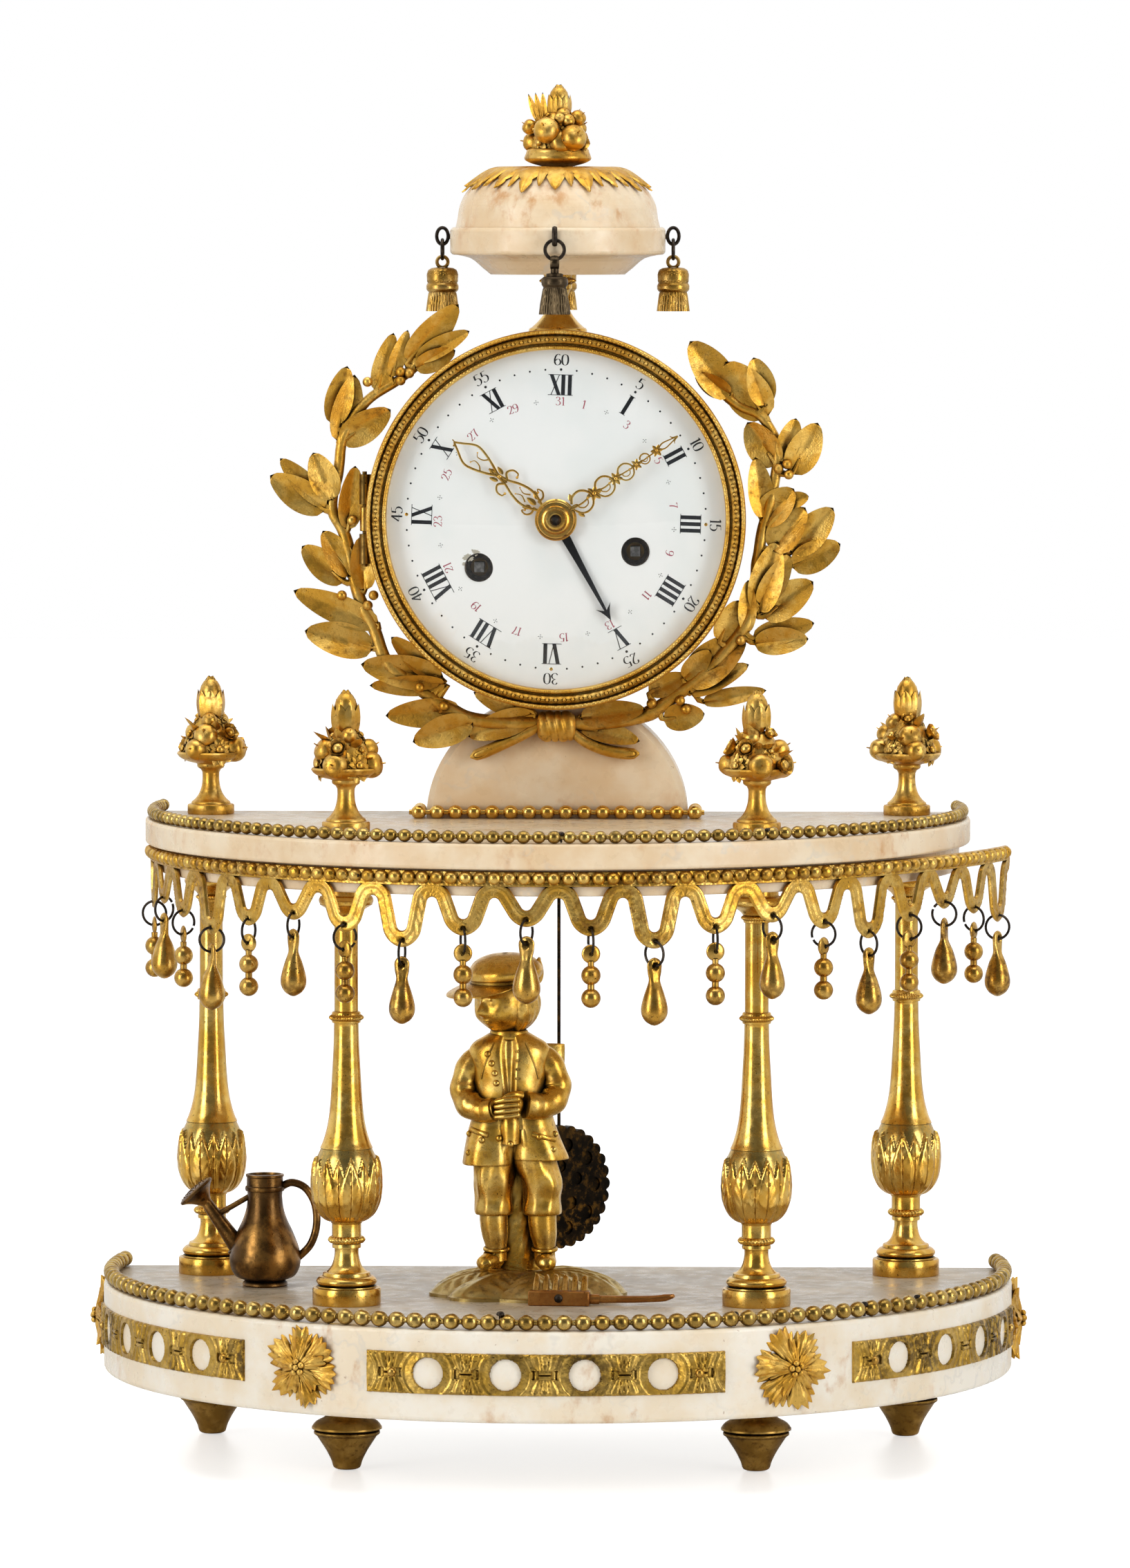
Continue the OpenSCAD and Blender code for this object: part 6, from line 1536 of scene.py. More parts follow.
HOURS = ["XII", "I", "II", "III", "IIII", "V", "VI", "VII", "VIII", "IX", "X", "XI"]
black = [on_enamel(roman(h), HOUR_RING, k * TAU / 12) for k, h in enumerate(HOURS)]
black += [on_enamel(number(str(5 * k if k else 60), 3.9, 0.15, 0.035), MINUTE_RING, k * TAU / 12)
          for k in range(12)]
black += [on_enamel(dot(0.36 if k % 5 else 0.48), DOT_RING, k * TAU / 60) for k in range(60)
          if k not in (15, 30, 45)]
star = [(0.62 * math.sin(k * TAU / 4), 0.62 * math.cos(k * TAU / 4)) for k in range(4)] + [(0, 0)]
for day in range(2, 31, 2):
    a = day * TAU / 31
    black += [on_enamel(moved(dot(0.17), place=(dx, 0, dz)), DATE_RING, a) for dx, dz in star]
piece("dial_black_figures", joined(black), black_enamel)
red = [on_enamel(number(str(day), 2.9, 0.14, 0.04), DATE_RING, day * TAU / 31) for day in range(1, 32, 2)]
piece("dial_dates", joined(red), red_enamel)
gold_dots = [on_enamel(dot(0.62), DOT_RING, k * TAU / 4) for k in (1, 2, 3)]
piece("dial_gold_dots", joined(gold_dots), burnished_gilding)
print("Twelve hours, twelve minute numbers and sixteen dates")

# %% [markdown]
# The winding holes have a dark iron rim, and a dark sleeve inside each one paints the shade of
# the hole. At the left one a slipped key has chipped the enamel down to its grey ground.

# %% Winding holes and the chip
barrel_places = [(middle("going_barrel")[0], middle("going_barrel")[2]),
                 (middle("strike_barrel")[0], middle("strike_barrel")[2])]
rims, shade_wells = [], []
for bx, bz in barrel_places:
    front = -float(dial_front(math.hypot(bx, bz - DIAL_Z)))
    rims.append(moved(torus(4.75, 0.26, 48, 8), turn_x(math.pi / 2), (bx, front + 0.06, bz)))
    # Painted shade: a dark iron sleeve lines the hole, so it reads black inside.
    shade_well = revolve([(4.72, 0.6), (4.72, 3.4), (3.1, 3.4), (3.1, 3.0), (4.45, 3.0), (4.5, 0.6)], 48)
    shade_wells.append(moved(shade_well, turn_x(-math.pi / 2), (bx, front, bz)))
piece("winding_hole_rims_and_shade_wells", joined(rims + shade_wells), iron_wire)


def chip(cx, cz, radius, seed):
    """A flake off the enamel: a very flat cap with a ragged outline."""
    chance = np.random.default_rng(seed)
    a = np.linspace(0, TAU, 40, endpoint=False)[None, :]
    t = np.array([0, 0.5, 0.85, 1.0])[:, None]
    ragged = 1 + sum(chance.uniform(0.03, 0.16) * np.sin(k * a + chance.uniform(0, TAU))
                     for k in (2, 3, 5, 8, 13))
    x, z = cx + radius * t * ragged * np.cos(a), cz + 0.7 * radius * t * ragged * np.sin(a)
    y = -dial_front(np.hypot(x, z)) - 0.03 * (1 - t ** 2)
    top = np.stack([x, y + 0 * x, z + DIAL_Z], -1)
    low = top + np.array([0, 0.12, 0])
    low[-1] = top[-1]
    return outward(weld(joined([grid(top, wrap_columns=True), grid(low[::-1], wrap_columns=True)])))


left_x, left_z = min(barrel_places)
rel_z = left_z - DIAL_Z
chips = [chip(left_x - 3.9, rel_z + 3.4, 1.9, 3), chip(left_x - 1.2, rel_z + 5.3, 1.5, 4),
         chip(left_x - 5.2, rel_z + 1.2, 0.9, 5)]
enamel_ground = fired_enamel("chipped_enamel_ground", "#b3ad9c", "#8e8874", 0.6)
piece("dial_chips", joined(chips), enamel_ground)
print("Two rims and three chips")

# %% [markdown]
# ## Hands
# The hour and minute hands are sawn from sheet brass, filed, chased and gilt: scrolls with leaves
# where they cross. We lay each scroll as a flattened bar along a drawn curve, and each
# leaf as a small folded blade. A hand is drawn pointing up, and then turned to its hour.

# %% Bars, leaves and the hour hand
def scroll(points, width, taper=0.55, y=0.0, ball_end=0.0):
    """A flattened bar along a curve in the x-z plane, tapering to its end, there with a small ball."""
    p = curve(points, 6)
    p = np.column_stack([p[:, 0], 0 * p[:, 0] + y, p[:, 1]])
    t = np.linspace(0, 1, len(p))
    made = [sweep(p, width / 2 * (1 - (1 - taper) * t), 8, up=(0, 1, 0), flat=0.75)]
    if ball_end:
        made.append(moved(ball(ball_end, 10, 6, (1, 0.8, 1)), place=p[-1]))
    return joined(made)


def mirrored(surface):
    """The surface and its mirror image across the hand's own line."""
    flipped = outward((surface[0] * np.array([-1, 1, 1]), surface[1], surface[2]))
    return joined([surface, flipped])


def small_leaf(x, z, turn, length, width):
    """A little folded leaf in the x-z plane, its tip turned clockwise from up."""
    blade = leaf(length, width, fold=-0.18, bend=0.0, rows=8, columns=5, veins=0, thick=0.4)
    return moved(moved(blade, turn_x(math.pi / 2)), turn_y(turn), (x, -0.15, z))


def leaf_star(z, radius, turn):
    """A rosette of six small leaves with a ball in the middle."""
    parts = [small_leaf(0, z, turn + k * TAU / 6, radius, radius * 0.55) for k in range(6)]
    return joined(parts + [moved(ball(radius * 0.28, 10, 6, (1, 0.8, 1)), place=(0, -0.25, z))])


def set_hand(surface, turn, y):
    """Turns a hand drawn pointing up to its angle clockwise from twelve, at its distance in front."""
    return moved(surface, turn_y(turn), (0, -y, DIAL_Z))


HOUR_Y, MINUTE_Y, DATE_Y = 25.8, 27.3, 24.5
HOUR_TURN, MINUTE_TURN, DATE_TURN = math.radians(307.3), math.radians(55.5), math.radians(151.3)
half_hour_hand = joined([
    scroll([(0.9, 6.5), (2.5, 10.2), (3.0, 13.5), (2.3, 17.5), (0.7, 22.0), (0.35, 26.5)], 1.0, 0.8),
    scroll([(1.0, 8.5), (3.4, 8.2), (4.9, 9.6), (4.6, 11.4), (3.8, 10.6)], 0.9, 0.4, ball_end=0.42),
    scroll([(0.6, 21.5), (2.6, 23.4), (4.6, 22.2), (4.7, 20.0), (3.5, 19.5)], 0.95, 0.5, ball_end=0.5),
    scroll([(0.3, 25.6), (1.7, 28.6), (3.1, 32.4), (3.9, 36.0), (3.4, 38.4), (1.5, 41.6), (0.0, 44.3)],
           0.95, 0.75),
    scroll([(2.6, 31.0), (1.2, 32.4), (0.8, 34.6), (2.0, 35.6)], 0.6, 0.4, ball_end=0.3),
    scroll([(1.6, 12.2), (0.5, 14.5), (1.3, 16.6)], 0.6, 0.4, ball_end=0.3),
    small_leaf(1.6, 9.5, 0.7, 3.2, 1.7), small_leaf(1.4, 24.0, 0.3, 3.4, 1.5),
    small_leaf(0.8, 26.2, -0.35, 3.2, 1.4)])
hour_hand = joined([mirrored(half_hour_hand), small_leaf(0, 21.0, 0, 5.0, 2.0),
                    small_leaf(0, 8.5, 0, 4.2, 2.0),
                    moved(ball(0.75, 10, 6, (1, 0.7, 1)), place=(0, -0.3, 24.6)),
                    scroll([(-1.3, 43.5), (0, 44.0), (0.4, 45.3)], 0.7, 0.5)])
hour_ring = moved(revolve([(4.0, -0.5), (6.2, -0.5), (6.4, -0.2), (6.4, 0.3), (6.0, 0.6), (4.0, 0.6)], 48),
                  turn_x(math.pi / 2))
piece("hour_hand_pierced", set_hand(joined([hour_hand, hour_ring]), HOUR_TURN, HOUR_Y), burnished_gilding,
      body="hour", nodes=["hour_hand"])
print("Hour hand of", len(hour_hand[2]), "faces")

# %% Minute hand with its hub
circle_parts = []
for centre_z, radius, width in ((11.2, 3.9, 0.95), (20.6, 3.5, 0.85), (29.4, 2.9, 0.75), (37.4, 1.8, 0.6)):
    a = np.radians(np.array([200, 240, 285, 330, 10, 50, 90, 125, 160, 185]))
    ring = np.stack([radius * np.sin(a), centre_z + radius * np.cos(a)], -1)
    inner = [(radius * 0.55 * math.sin(t), centre_z + radius * 0.55 * math.cos(t)) for t in
             np.radians([185, 150, 100, 50, 0, -50, -100])]
    circle_parts.append(scroll(list(map(tuple, ring)) + inner[:5], width, 0.45, ball_end=width * 0.5))
    circle_parts.append(moved(scroll(list(map(tuple, ring[:7])), width * 0.8, 0.6), np.diag([-1.0, 1, 1])))
minute_parts = [outward(part) for part in circle_parts]
minute_parts += [leaf_star(16.2, 2.9, 0.2), leaf_star(25.2, 2.5, 0.5), leaf_star(33.9, 2.1, 0.1),
                 leaf_star(42.4, 2.3, 0.4), small_leaf(2.2, 8.0, 1.2, 2.8, 1.6),
                 small_leaf(-2.2, 8.0, -1.2, 2.8, 1.6)]
tip_loop = mirrored(joined([scroll([(0.2, 43.2), (1.0, 45.2), (0.75, 47.4), (0.12, 50.4)], 0.55, 0.8),
                            scroll([(0.0, 51.2), (0.7, 49.4), (1.5, 48.9)], 0.55, 0.5)]))
spine = scroll([(0, 6.0), (0.4, 11.2), (-0.3, 16.2), (0.3, 20.6), (-0.2, 25.2), (0.2, 33.9), (0, 43.0)],
               0.7, 0.7)
hub_profile = [(1.75, -2.0), (7.0, -2.0), (7.25, -1.7), (7.25, -0.9), (6.85, -0.55), (6.55, -0.6),
               (6.3, -0.2), (6.1, 0.1), (5.0, 0.15), (4.75, 0.45), (4.55, 0.95), (4.1, 1.15), (3.7, 1.0),
               (3.5, 1.15), (3.3, 1.75), (2.7, 1.95), (2.0, 1.85), (1.75, 1.5)]
hub = moved(revolve(hub_profile + [hub_profile[0]], 72), turn_x(math.pi / 2))
minute_hand = joined(minute_parts + [tip_loop, spine])
whole_hand = set_hand(joined([minute_hand, moved(hub, place=(0, -0.35, 0))]), MINUTE_TURN, MINUTE_Y)
piece("minute_hand_pierced", whole_hand, burnished_gilding, body="minute", nodes=["minute_hand"])
screw = revolve([(0, 0), (1.7, 0), (1.7, 1.6), (1.4, 1.9), (0.7, 2.2), (0, 2.25)], 24)
piece("hub_screw", moved(screw, turn_x(math.pi / 2), (0, -MINUTE_Y + 0.9, DIAL_Z)), iron_wire,
      body="minute")

# %% [markdown]
# The date hand is plain: a tapered strip of steel with an arrow's barb, filed to a ridge along its
# front and blued. Its strip and barb are flat plates, so an outline and a thickness are enough.

# %% Date hand
def plate(outline, thickness):
    """A flat plate of any outline in the x-z plane, half its thickness to each side."""
    p = np.asarray(outline, float)
    n = len(p)
    front = np.column_stack([p[:, 0], np.full(n, -thickness / 2), p[:, 1]])
    back = front * [1, -1, 1]
    corners = list(range(n)) + list(range(2 * n - 1, n - 1, -1))
    for k in range(n):
        corners += [k, k + n, (k + 1) % n + n, (k + 1) % n]
    return outward((np.concatenate([front, back]), np.array(corners), np.array([n, n] + [4] * n)))


shank = [(-1.45, 3.5), (1.45, 3.5), (1.55, 8.0), (1.15, 16.0), (0.8, 26.0), (0.5, 35.2), (0.3, 37.0),
         (0.0, 39.8), (-0.3, 37.0), (-0.5, 35.2), (-0.8, 26.0), (-1.15, 16.0), (-1.55, 8.0)]
barb = [(0.0, 39.8), (0.95, 37.2), (1.7, 35.7), (2.9, 34.0), (1.75, 34.9), (0.9, 35.5), (0.0, 36.2)]
ridge = scroll([(0, 4.0), (0, 16.0), (0, 36.0)], 0.9, 0.35, y=-0.3)
date_hand = joined([plate(shank, 0.8), mirrored(plate(barb, 0.75)), ridge])
piece("date_hand_blued", set_hand(date_hand, DATE_TURN, DATE_Y), blued_steel, body="date",
      nodes=["date_hand"])
print("Minute hand of", len(minute_hand[2]), "faces, and the date hand")

# %% [markdown]
# ## Bezel
# The bezel is a turned brass ring. Its outer bead is knurled like rope, its inner one is milled, and
# in the hollow between them two waves cross round a row of tiny beads. The waves are relief on
# the turned profile, and the beads are copies of one ball.

# %% Bezel ring
bezel_low, bezel_high = span("bezel")
BEZEL_R = (bezel_high[2] - bezel_low[2]) / 2
BEZEL_BACK, BEZEL_SIDES, BEADS = 21.95, 1056, 132
bezel_profile = [(59.0, 0.2), (58.75, 1.2), (58.7, 3.2), (58.9, 4.6)]
bezel_profile += [(59.6 - 0.75 * math.cos(k * math.pi / 8), 4.7 + 0.85 * math.sin(k * math.pi / 8))
                  for k in range(9)]
bezel_profile += [(60.5, 4.6), (60.9, 4.9), (61.2, 5.6), (61.8, 6.1), (62.4, 6.25), (63.0, 6.15),
                  (63.6, 5.8), (64.0, 5.4)]
bezel_profile += [(64.9 - 0.9 * math.cos(k * math.pi / 10), 5.3 + 1.5 * math.sin(k * math.pi / 10))
                  for k in range(11)]
bezel_profile += [(65.8, 4.6), (65.75, 3.2), (65.5, 2.6), (65.6, 0.4), (65.4, 0.0), (59.2, 0.0)]
bezel_profile = dense(bezel_profile, 4.4, 7.2, 0.28)


def bezel_surface():
    """The ring about +Z: rope and milling tilt the profile outwards, and waves lift the hollow."""
    r, z = bezel_profile.T
    a = np.linspace(0, TAU, BEZEL_SIDES, endpoint=False)[None, :]
    r, z = r[:, None] + 0 * a, z[:, None] + 0 * a
    outer = np.where((r > 63.95) & (z > 5.0), 0.16 * np.sin(264 * a + 2.4 * (r - 65)), 0)
    inner = np.where((r < 60.4) & (z > 4.65), 0.13 * np.sin(264 * a), 0)
    wave = 0.75 * np.cos(BEADS / 2 * a)
    guilloche = 0.32 * np.maximum(rounded(r - 62.4 - wave, 0.3), rounded(r - 62.4 + wave, 0.3))
    z = z + outer + inner + np.where((r > 60.9) & (r < 63.9) & (z > 4.8), guilloche, 0)
    ring = np.stack([r * np.cos(a), r * np.sin(a), z], -1)
    return outward(weld(grid(ring, wrap_rows=True, wrap_columns=True)))


a = np.linspace(0, TAU, BEADS, endpoint=False)
tiny = spread(ball(0.66, 8, 6), np.stack([62.4 * np.cos(a), 62.4 * np.sin(a), np.full(BEADS, 6.45)], -1))
bezel_all = moved(joined([bezel_surface(), tiny]), turn_x(math.pi / 2), (0, -BEZEL_BACK, DIAL_Z))
piece("bezel_knurled", bezel_all, chased_gilding, body="bezel", nodes=["bezel"], sharp=math.radians(60))
knuckle = revolve([(0, -4.2), (1.5, -4.2), (1.7, -4.0), (1.7, 4.0), (1.5, 4.2), (0, 4.2)], 20)
hinge_at = JOINTS["bezel_hinge"]["pos_m"]
hinge_x, hinge_y = hinge_at[0] / MM, hinge_at[1] / MM - PLAN_Y
lug = plate([(-1.2, -4.1), (6.0, -4.1), (6.0, 4.1), (-1.2, 4.1)], 1.3)
lugs = joined([moved(knuckle, place=(hinge_x, hinge_y, DIAL_Z)),
               moved(lug, place=(hinge_x + 1.2, hinge_y - 2.2, DIAL_Z))])
piece("bezel_hinge_lugs", lugs, worn_gilding, body="bezel")
print("Bezel of", len(bezel_all[2]), "faces; outer radius %.1f mm" % BEZEL_R)
# %% [markdown]
# ## The laurel wreath
# Two laurel branches are cast in one piece with their leaves, chased, matted, and pinned to the
# drum. Laurel leaves are lens shaped with a sunk midrib, and grow in twos and threes between
# berries. Each leaf is given here by its stalk, its tip and its width, in half millimetres from
# the dial's centre, because a chaser never made two alike; the blade itself is one formula.

# %% Laurel branches
WREATH_Y = middle("laurel_wreath")[1]
LEFT_LEAVES = [(-8, -68, -31, -75.5, 7.5), (-8, -67, -29, -60.5, 6.5), (-29, -70.5, -50, -77.5, 8.5),
               (-33, -66.5, -59.5, -68.5, 8), (-38, -57.5, -65, -58, 6), (-39, -55.5, -68, -50.5, 9),
               (-41, -55.5, -57.5, -41, 6), (-63.5, -45, -87.5, -39, 9.5), (-61.5, -37, -91.5, -25, 8),
               (-66.5, -25, -68, -6, 7), (-73.5, -22, -88.5, -9.5, 8), (-71.5, -20, -81, -4, 7.5),
               (-80, 3, -99.5, 15, 9), (-80, 4.5, -96, 21, 6), (-77.5, 6.5, -84.5, 23, 8),
               (-72.5, -4, -70, 18.5, 7), (-75, 26.5, -57.5, 38, 8.5), (-75.5, 26.5, -70, 50, 8.5),
               (-77.5, 32.5, -72.5, 53, 7.5), (-62.5, 44, -56.5, 64.5, 6), (-57.5, 49, -51.5, 65.5, 4.5),
               (-52, 54, -34, 74.5, 8.5), (-49, 55, -30, 65, 5.5), (-49, 52, -35, 58.5, 6)]
RIGHT_LEAVES = [(8, -69, 31, -66, 7), (8, -72, 29, -77, 6), (37, -69.5, 51.5, -67.5, 7.5),
                (32, -60.5, 45, -54, 6), (50.5, -63.5, 73, -59.5, 5), (46, -60.5, 67, -50.5, 6),
                (45, -57.5, 65.5, -40.5, 11), (44, -55.5, 53.5, -45.5, 6), (56.5, -42.5, 63, -28, 7),
                (68.5, -43, 87.5, -41.5, 7.5), (68, -41.5, 89.5, -36, 7), (66, -39.5, 66.5, -21, 5),
                (71.5, -34, 89, -21.5, 9.5), (70, -33, 76.5, -7.5, 9), (70.5, -30, 81, -12, 7),
                (81.5, -16.5, 98.5, -8.5, 8.5), (81.5, -12, 96, 4, 9), (74.5, -11, 86.5, 4, 9.5),
                (79.5, 5.5, 87.5, 8, 4.5), (71, -1.5, 82.5, 10.5, 9), (72, 0, 69, 21.5, 7),
                (76.5, 18.5, 66, 33.5, 9), (81.5, 15.5, 90.5, 33.5, 9), (78.5, 20.5, 83, 35, 6.5),
                (72.5, 39, 68, 56, 8), (73, 35, 58.5, 54.5, 12), (60.5, 42, 46, 61.5, 10),
                (60.5, 43, 48, 50.5, 6)]
LEFT_STEM = [(-6, -71), (-17.5, -71), (-33, -68.5), (-47, -59.5), (-58.5, -50.5), (-63.5, -38), (-69, -26),
             (-73.5, -6), (-78, 4), (-75.5, 18.5), (-74.5, 26.5), (-70.5, 35), (-64.5, 42), (-55, 48),
             (-49, 53)]
RIGHT_STEM = [(6, -71), (18, -70.5), (31, -68), (41, -61.5), (51.5, -53.5), (61.5, -42.5), (67, -34),
              (69, -22), (71, -6), (73, 2), (75.5, 12.5), (76.5, 24.5), (71.5, 35), (63.5, 39), (58.5, 43)]
BERRIES = [(-74.5, -26.5), (-65.5, -30), (-63.5, -26.5), (-71, -0.5), (-65.5, 47.5), (-54, 48), (-54, 51),
           (-51, 50.5), (-39, -65), (-47.5, -58.5), (77, 17.5), (80, 19), (80.5, 15.5), (45, -66),
           (43, -63), (64, -42), (33, -64)]


def laurel(place, chance):
    """One leaf facing the viewer: its +Y is turned to run from stalk to tip, and it rolls a little."""
    x0, z0, x1, z1, width = place
    reach = np.array([x1 - x0, 0, z1 - z0], float)
    blade = leaf(np.linalg.norm(reach), width * 1.3, fold=chance.uniform(0.08, 0.2),
                 bend=chance.uniform(-0.05, 0.06), rows=16, columns=9, thick=1.1, veins=0.09, pointed=0.75)
    turn = basis((0, -1, 0), reach)[0] @ turn_y(chance.uniform(-0.3, 0.3))
    return moved(blade, turn, (x0, WREATH_Y - chance.uniform(0.0, 1.6), DIAL_Z + z0))


def branch(leaves, stem, chance):
    """The stem, thick at the bow and knotted where leaves spring, and a stalk from it under each leaf."""
    line = np.array([(x, WREATH_Y + 0.3, DIAL_Z + z) for x, z in stem])
    fine = along(curve(line, 8), 110)
    share = np.linspace(0, 1, len(fine))
    knots = 1 + 0.16 * np.clip(np.sin(share * 46), 0, 1) ** 3
    parts = [sweep(fine, (2.6 - 1.0 * share) * knots, 10, up=(0, 1, 0), flat=0.85)]
    for one in leaves:
        parts.append(laurel(one, chance))
        base = np.array([one[0], WREATH_Y, DIAL_Z + one[1]])
        tip = np.array([one[2], WREATH_Y, DIAL_Z + one[3]])
        root = fine[np.argmin(np.linalg.norm(fine - base, axis=1))]
        stalk = along(curve([root, (root + base) / 2, base, base + 0.3 * (tip - base)], 4), 8)
        parts.append(sweep(stalk, np.linspace(1.5, 0.5, 8), 7, up=(0, 1, 0)))
    return joined(parts)


chance = np.random.default_rng(31)
wreath = [branch(LEFT_LEAVES, LEFT_STEM, chance), branch(RIGHT_LEAVES, RIGHT_STEM, chance)]
berry_places = [(x, WREATH_Y - 1.7, DIAL_Z + z) for x, z in BERRIES]
wreath.append(spread(ball(1.75, 14, 9), berry_places))
print("Wreath of", len(LEFT_LEAVES) + len(RIGHT_LEAVES), "leaves and", len(BERRIES), "berries")

# %% [markdown]
# A ribbon is wrapped tightly round both branches at the bottom, and their two cut ends come out
# under it, each with a slanting cut that shows its pith. The ribbon is a short thick tube whose
# surface is pressed into slanting folds.

# %% Ribbon and cut stems
u = np.linspace(-1, 1, 57)[:, None]
a = np.linspace(0, TAU, 56, endpoint=False)[None, :]
folds = np.abs(np.sin(math.pi * (2.15 * u + 0.34 * np.sin(a) + 0.16 * np.sin(4.3 * u)))) ** 0.55
swell = np.sqrt(np.clip(1 - np.abs(u) ** 7, 0, 1)) * (0.86 + 0.14 * folds)
BOW_Z = DIAL_Z - 72.0
wrap_points = np.stack([7.0 * u + 0 * a, WREATH_Y - 0.4 - 3.7 * swell * np.cos(a),
                        BOW_Z + 5.5 * swell * np.sin(a)], -1)
ribbon = outward(weld(grid(wrap_points, wrap_columns=True)))


def cut_stem(points):
    """A stem with a slanting cut: a tapered bar, a rim round the cut, and a sunk oval inside it."""
    line = along(curve([(x, WREATH_Y - 0.6, DIAL_Z + z) for x, z in points], 6), 30)
    radius = np.interp(np.linspace(0, 1, 30), [0, 0.3, 0.82, 0.93, 1], [1.6, 2.0, 2.15, 1.9, 0.5])
    spot = line[-5] + np.array([0, -1.75, 0])
    oval = basis((0, -1, 0), line[-1] - line[-8])[0] @ np.diag([0.42, 1, 0.5])
    return joined([sweep(line, radius, 12, up=(0, 1, 0)), moved(torus(3.0, 0.4, 28, 8), oval, spot),
                   moved(ball(2.5, 16, 6, (1, 1, 0.12)), oval, spot + np.array([0, 0.15, 0]))])


wreath += [ribbon, cut_stem([(-5, -71.5), (-13, -75.5), (-20.5, -79), (-26, -81.4), (-30, -82.7)]),
           cut_stem([(5, -73.5), (10, -77.3), (17, -80.2), (24, -81.4), (28.8, -81.4)])]
wreath = joined(wreath)
piece("laurel_wreath_chased", wreath, laurel_gilding, nodes=["laurel_wreath"], sharp=math.radians(48))
print("Wreath from z %.1f to %.1f mm" % (wreath[0][:, 2].min(), wreath[0][:, 2].max()))

# %% [markdown]
# ## Vase mounts
# A turned stem with a roped ring carries the vase. On the marble lies a crown of leaves, stamped
# from sheet and bent over the shoulder, so its surface here is a flat star whose radius is wound
# along the vase's own profile. Four hooks in the rim hold the tassels.

# %% Stem, crown and hook eyes
STEM_FOOT = DIAL_Z + DRUM_R
STEM_PROFILE = [(0, -0.8), (10.1, -0.8), (10.2, 2.2), (9.8, 2.9)]
STEM_PROFILE += curve([(9.2, 3.1), (6.8, 5.4), (4.6, 8.4), (3.5, 12.0), (3.6, 14.2), (4.5, 16.4)],
                      5).tolist()
STEM_PROFILE += [(4.9, 16.7), (4.95, 18.1), (4.7, 18.3)]
STEM_PROFILE += bulge(5.0, 18.35, 1.25, 2.0)
STEM_PROFILE += [(4.7, 20.4), (4.8, 21.0), (5.2, VASE_BOTTOM - STEM_FOOT), (0, VASE_BOTTOM - STEM_FOOT)]
stem = revolve(STEM_PROFILE, 96, lambda r, z, a: rope(z, a, 19.35, 0.85, 0.24, 26, 1.6))
piece("vase_stem_turned", moved(stem, place=(0, 0, STEM_FOOT)), column_gilding, nodes=["vase_stem"])

SHOULDER = curve([(9, VASE_TOP + 0.5), (15, VASE_TOP + 0.4), (22.6, VASE_TOP), (28.1, VASE_TOP - 3.3),
                  (31.9, VASE_TOP - 7.6), (34.1, VASE_TOP - 11.7)], 10)
SHOULDER_RUN = np.concatenate([[0], np.cumsum(np.linalg.norm(np.diff(SHOULDER, axis=0), axis=1))])


def on_shoulder(run, around, lift):
    """Point at a run down the shoulder and an angle around it, lift above the marble along its normal."""
    r, z = (np.interp(run, SHOULDER_RUN, SHOULDER[:, k]) for k in (0, 1))
    slope = np.gradient(SHOULDER, SHOULDER_RUN, axis=0)
    dr, dz = (np.interp(run, SHOULDER_RUN, slope[:, k]) for k in (0, 1))
    r, z = r - dz * lift, z + dr * lift
    return np.stack([r * np.sin(around), -r * np.cos(around), z], -1)


def crown_leaf(turn, length, width, lobes, seed):
    """A stamped leaf: it widens, is cut in by lobes and ends in a point; ribbed, its tip bent up."""
    t = np.linspace(0, 1, 34)[:, None]
    v = np.linspace(-1, 1, 11)[None, :]
    body = (0.3 + 0.7 * smooth_step(t / 0.62)) * np.clip((1 - t) / 0.42, 0, 1) ** 0.72
    notch = 1 - lobes * np.clip(np.sin(t * 21 + seed), 0, 1) ** 4 * (t > 0.4)
    half = width / 2 * body * notch
    run = t * length + 0 * v
    r = np.interp(run, SHOULDER_RUN, SHOULDER[:, 0])
    lift = 0.55 + 0.5 * (1 - v ** 2) - 0.3 * rounded(v, 0.13) + 0.16 * np.cos(v * 13) * (1 - np.abs(v))
    lift = lift + 1.0 * t ** 9 + 0.25 * math.sin(seed * 3)
    wave = 0.02 * math.sin(seed * 7)
    top = on_shoulder(run, turn + wave + v * half / r, lift)
    low = on_shoulder(run, turn + wave + v * half / r, lift * 0.35 + 1.0 * t ** 9 * 0.62)
    return between(top, low)


crown = [crown_leaf((k + 0.5) * TAU / 18, 24.2, 4.8, 0.1, k) for k in range(18)]
crown += [moved(crown_leaf(k * TAU / 18, 25.8 + 1.1 * math.sin(2.3 * k), 8.6, 0.3, k), place=(0, 0, 0.15))
          for k in range(18)]
crown.append(moved(torus(10.5, 0.7, 48, 8), place=(0, 0, VASE_TOP + 0.8)))


def hook_eye():
    """A flattened oval loop in the y-z plane, with a shank that runs back into the rim."""
    a = np.linspace(0, TAU, 28, endpoint=False)
    loop = np.stack([0 * a, 1.3 + 2.9 * np.sin(a), 2.0 * np.cos(a)], -1)
    shank = np.array([(0, 0.9, -6.5), (0, 0.9, -4), (0, 1.2, -2)], float)
    return joined([sweep(loop, 0.62, 10, up=(1, 0, 0), flat=1.5, closed=True),
                   sweep(shank, 0.85, 10, up=(1, 0, 0))])


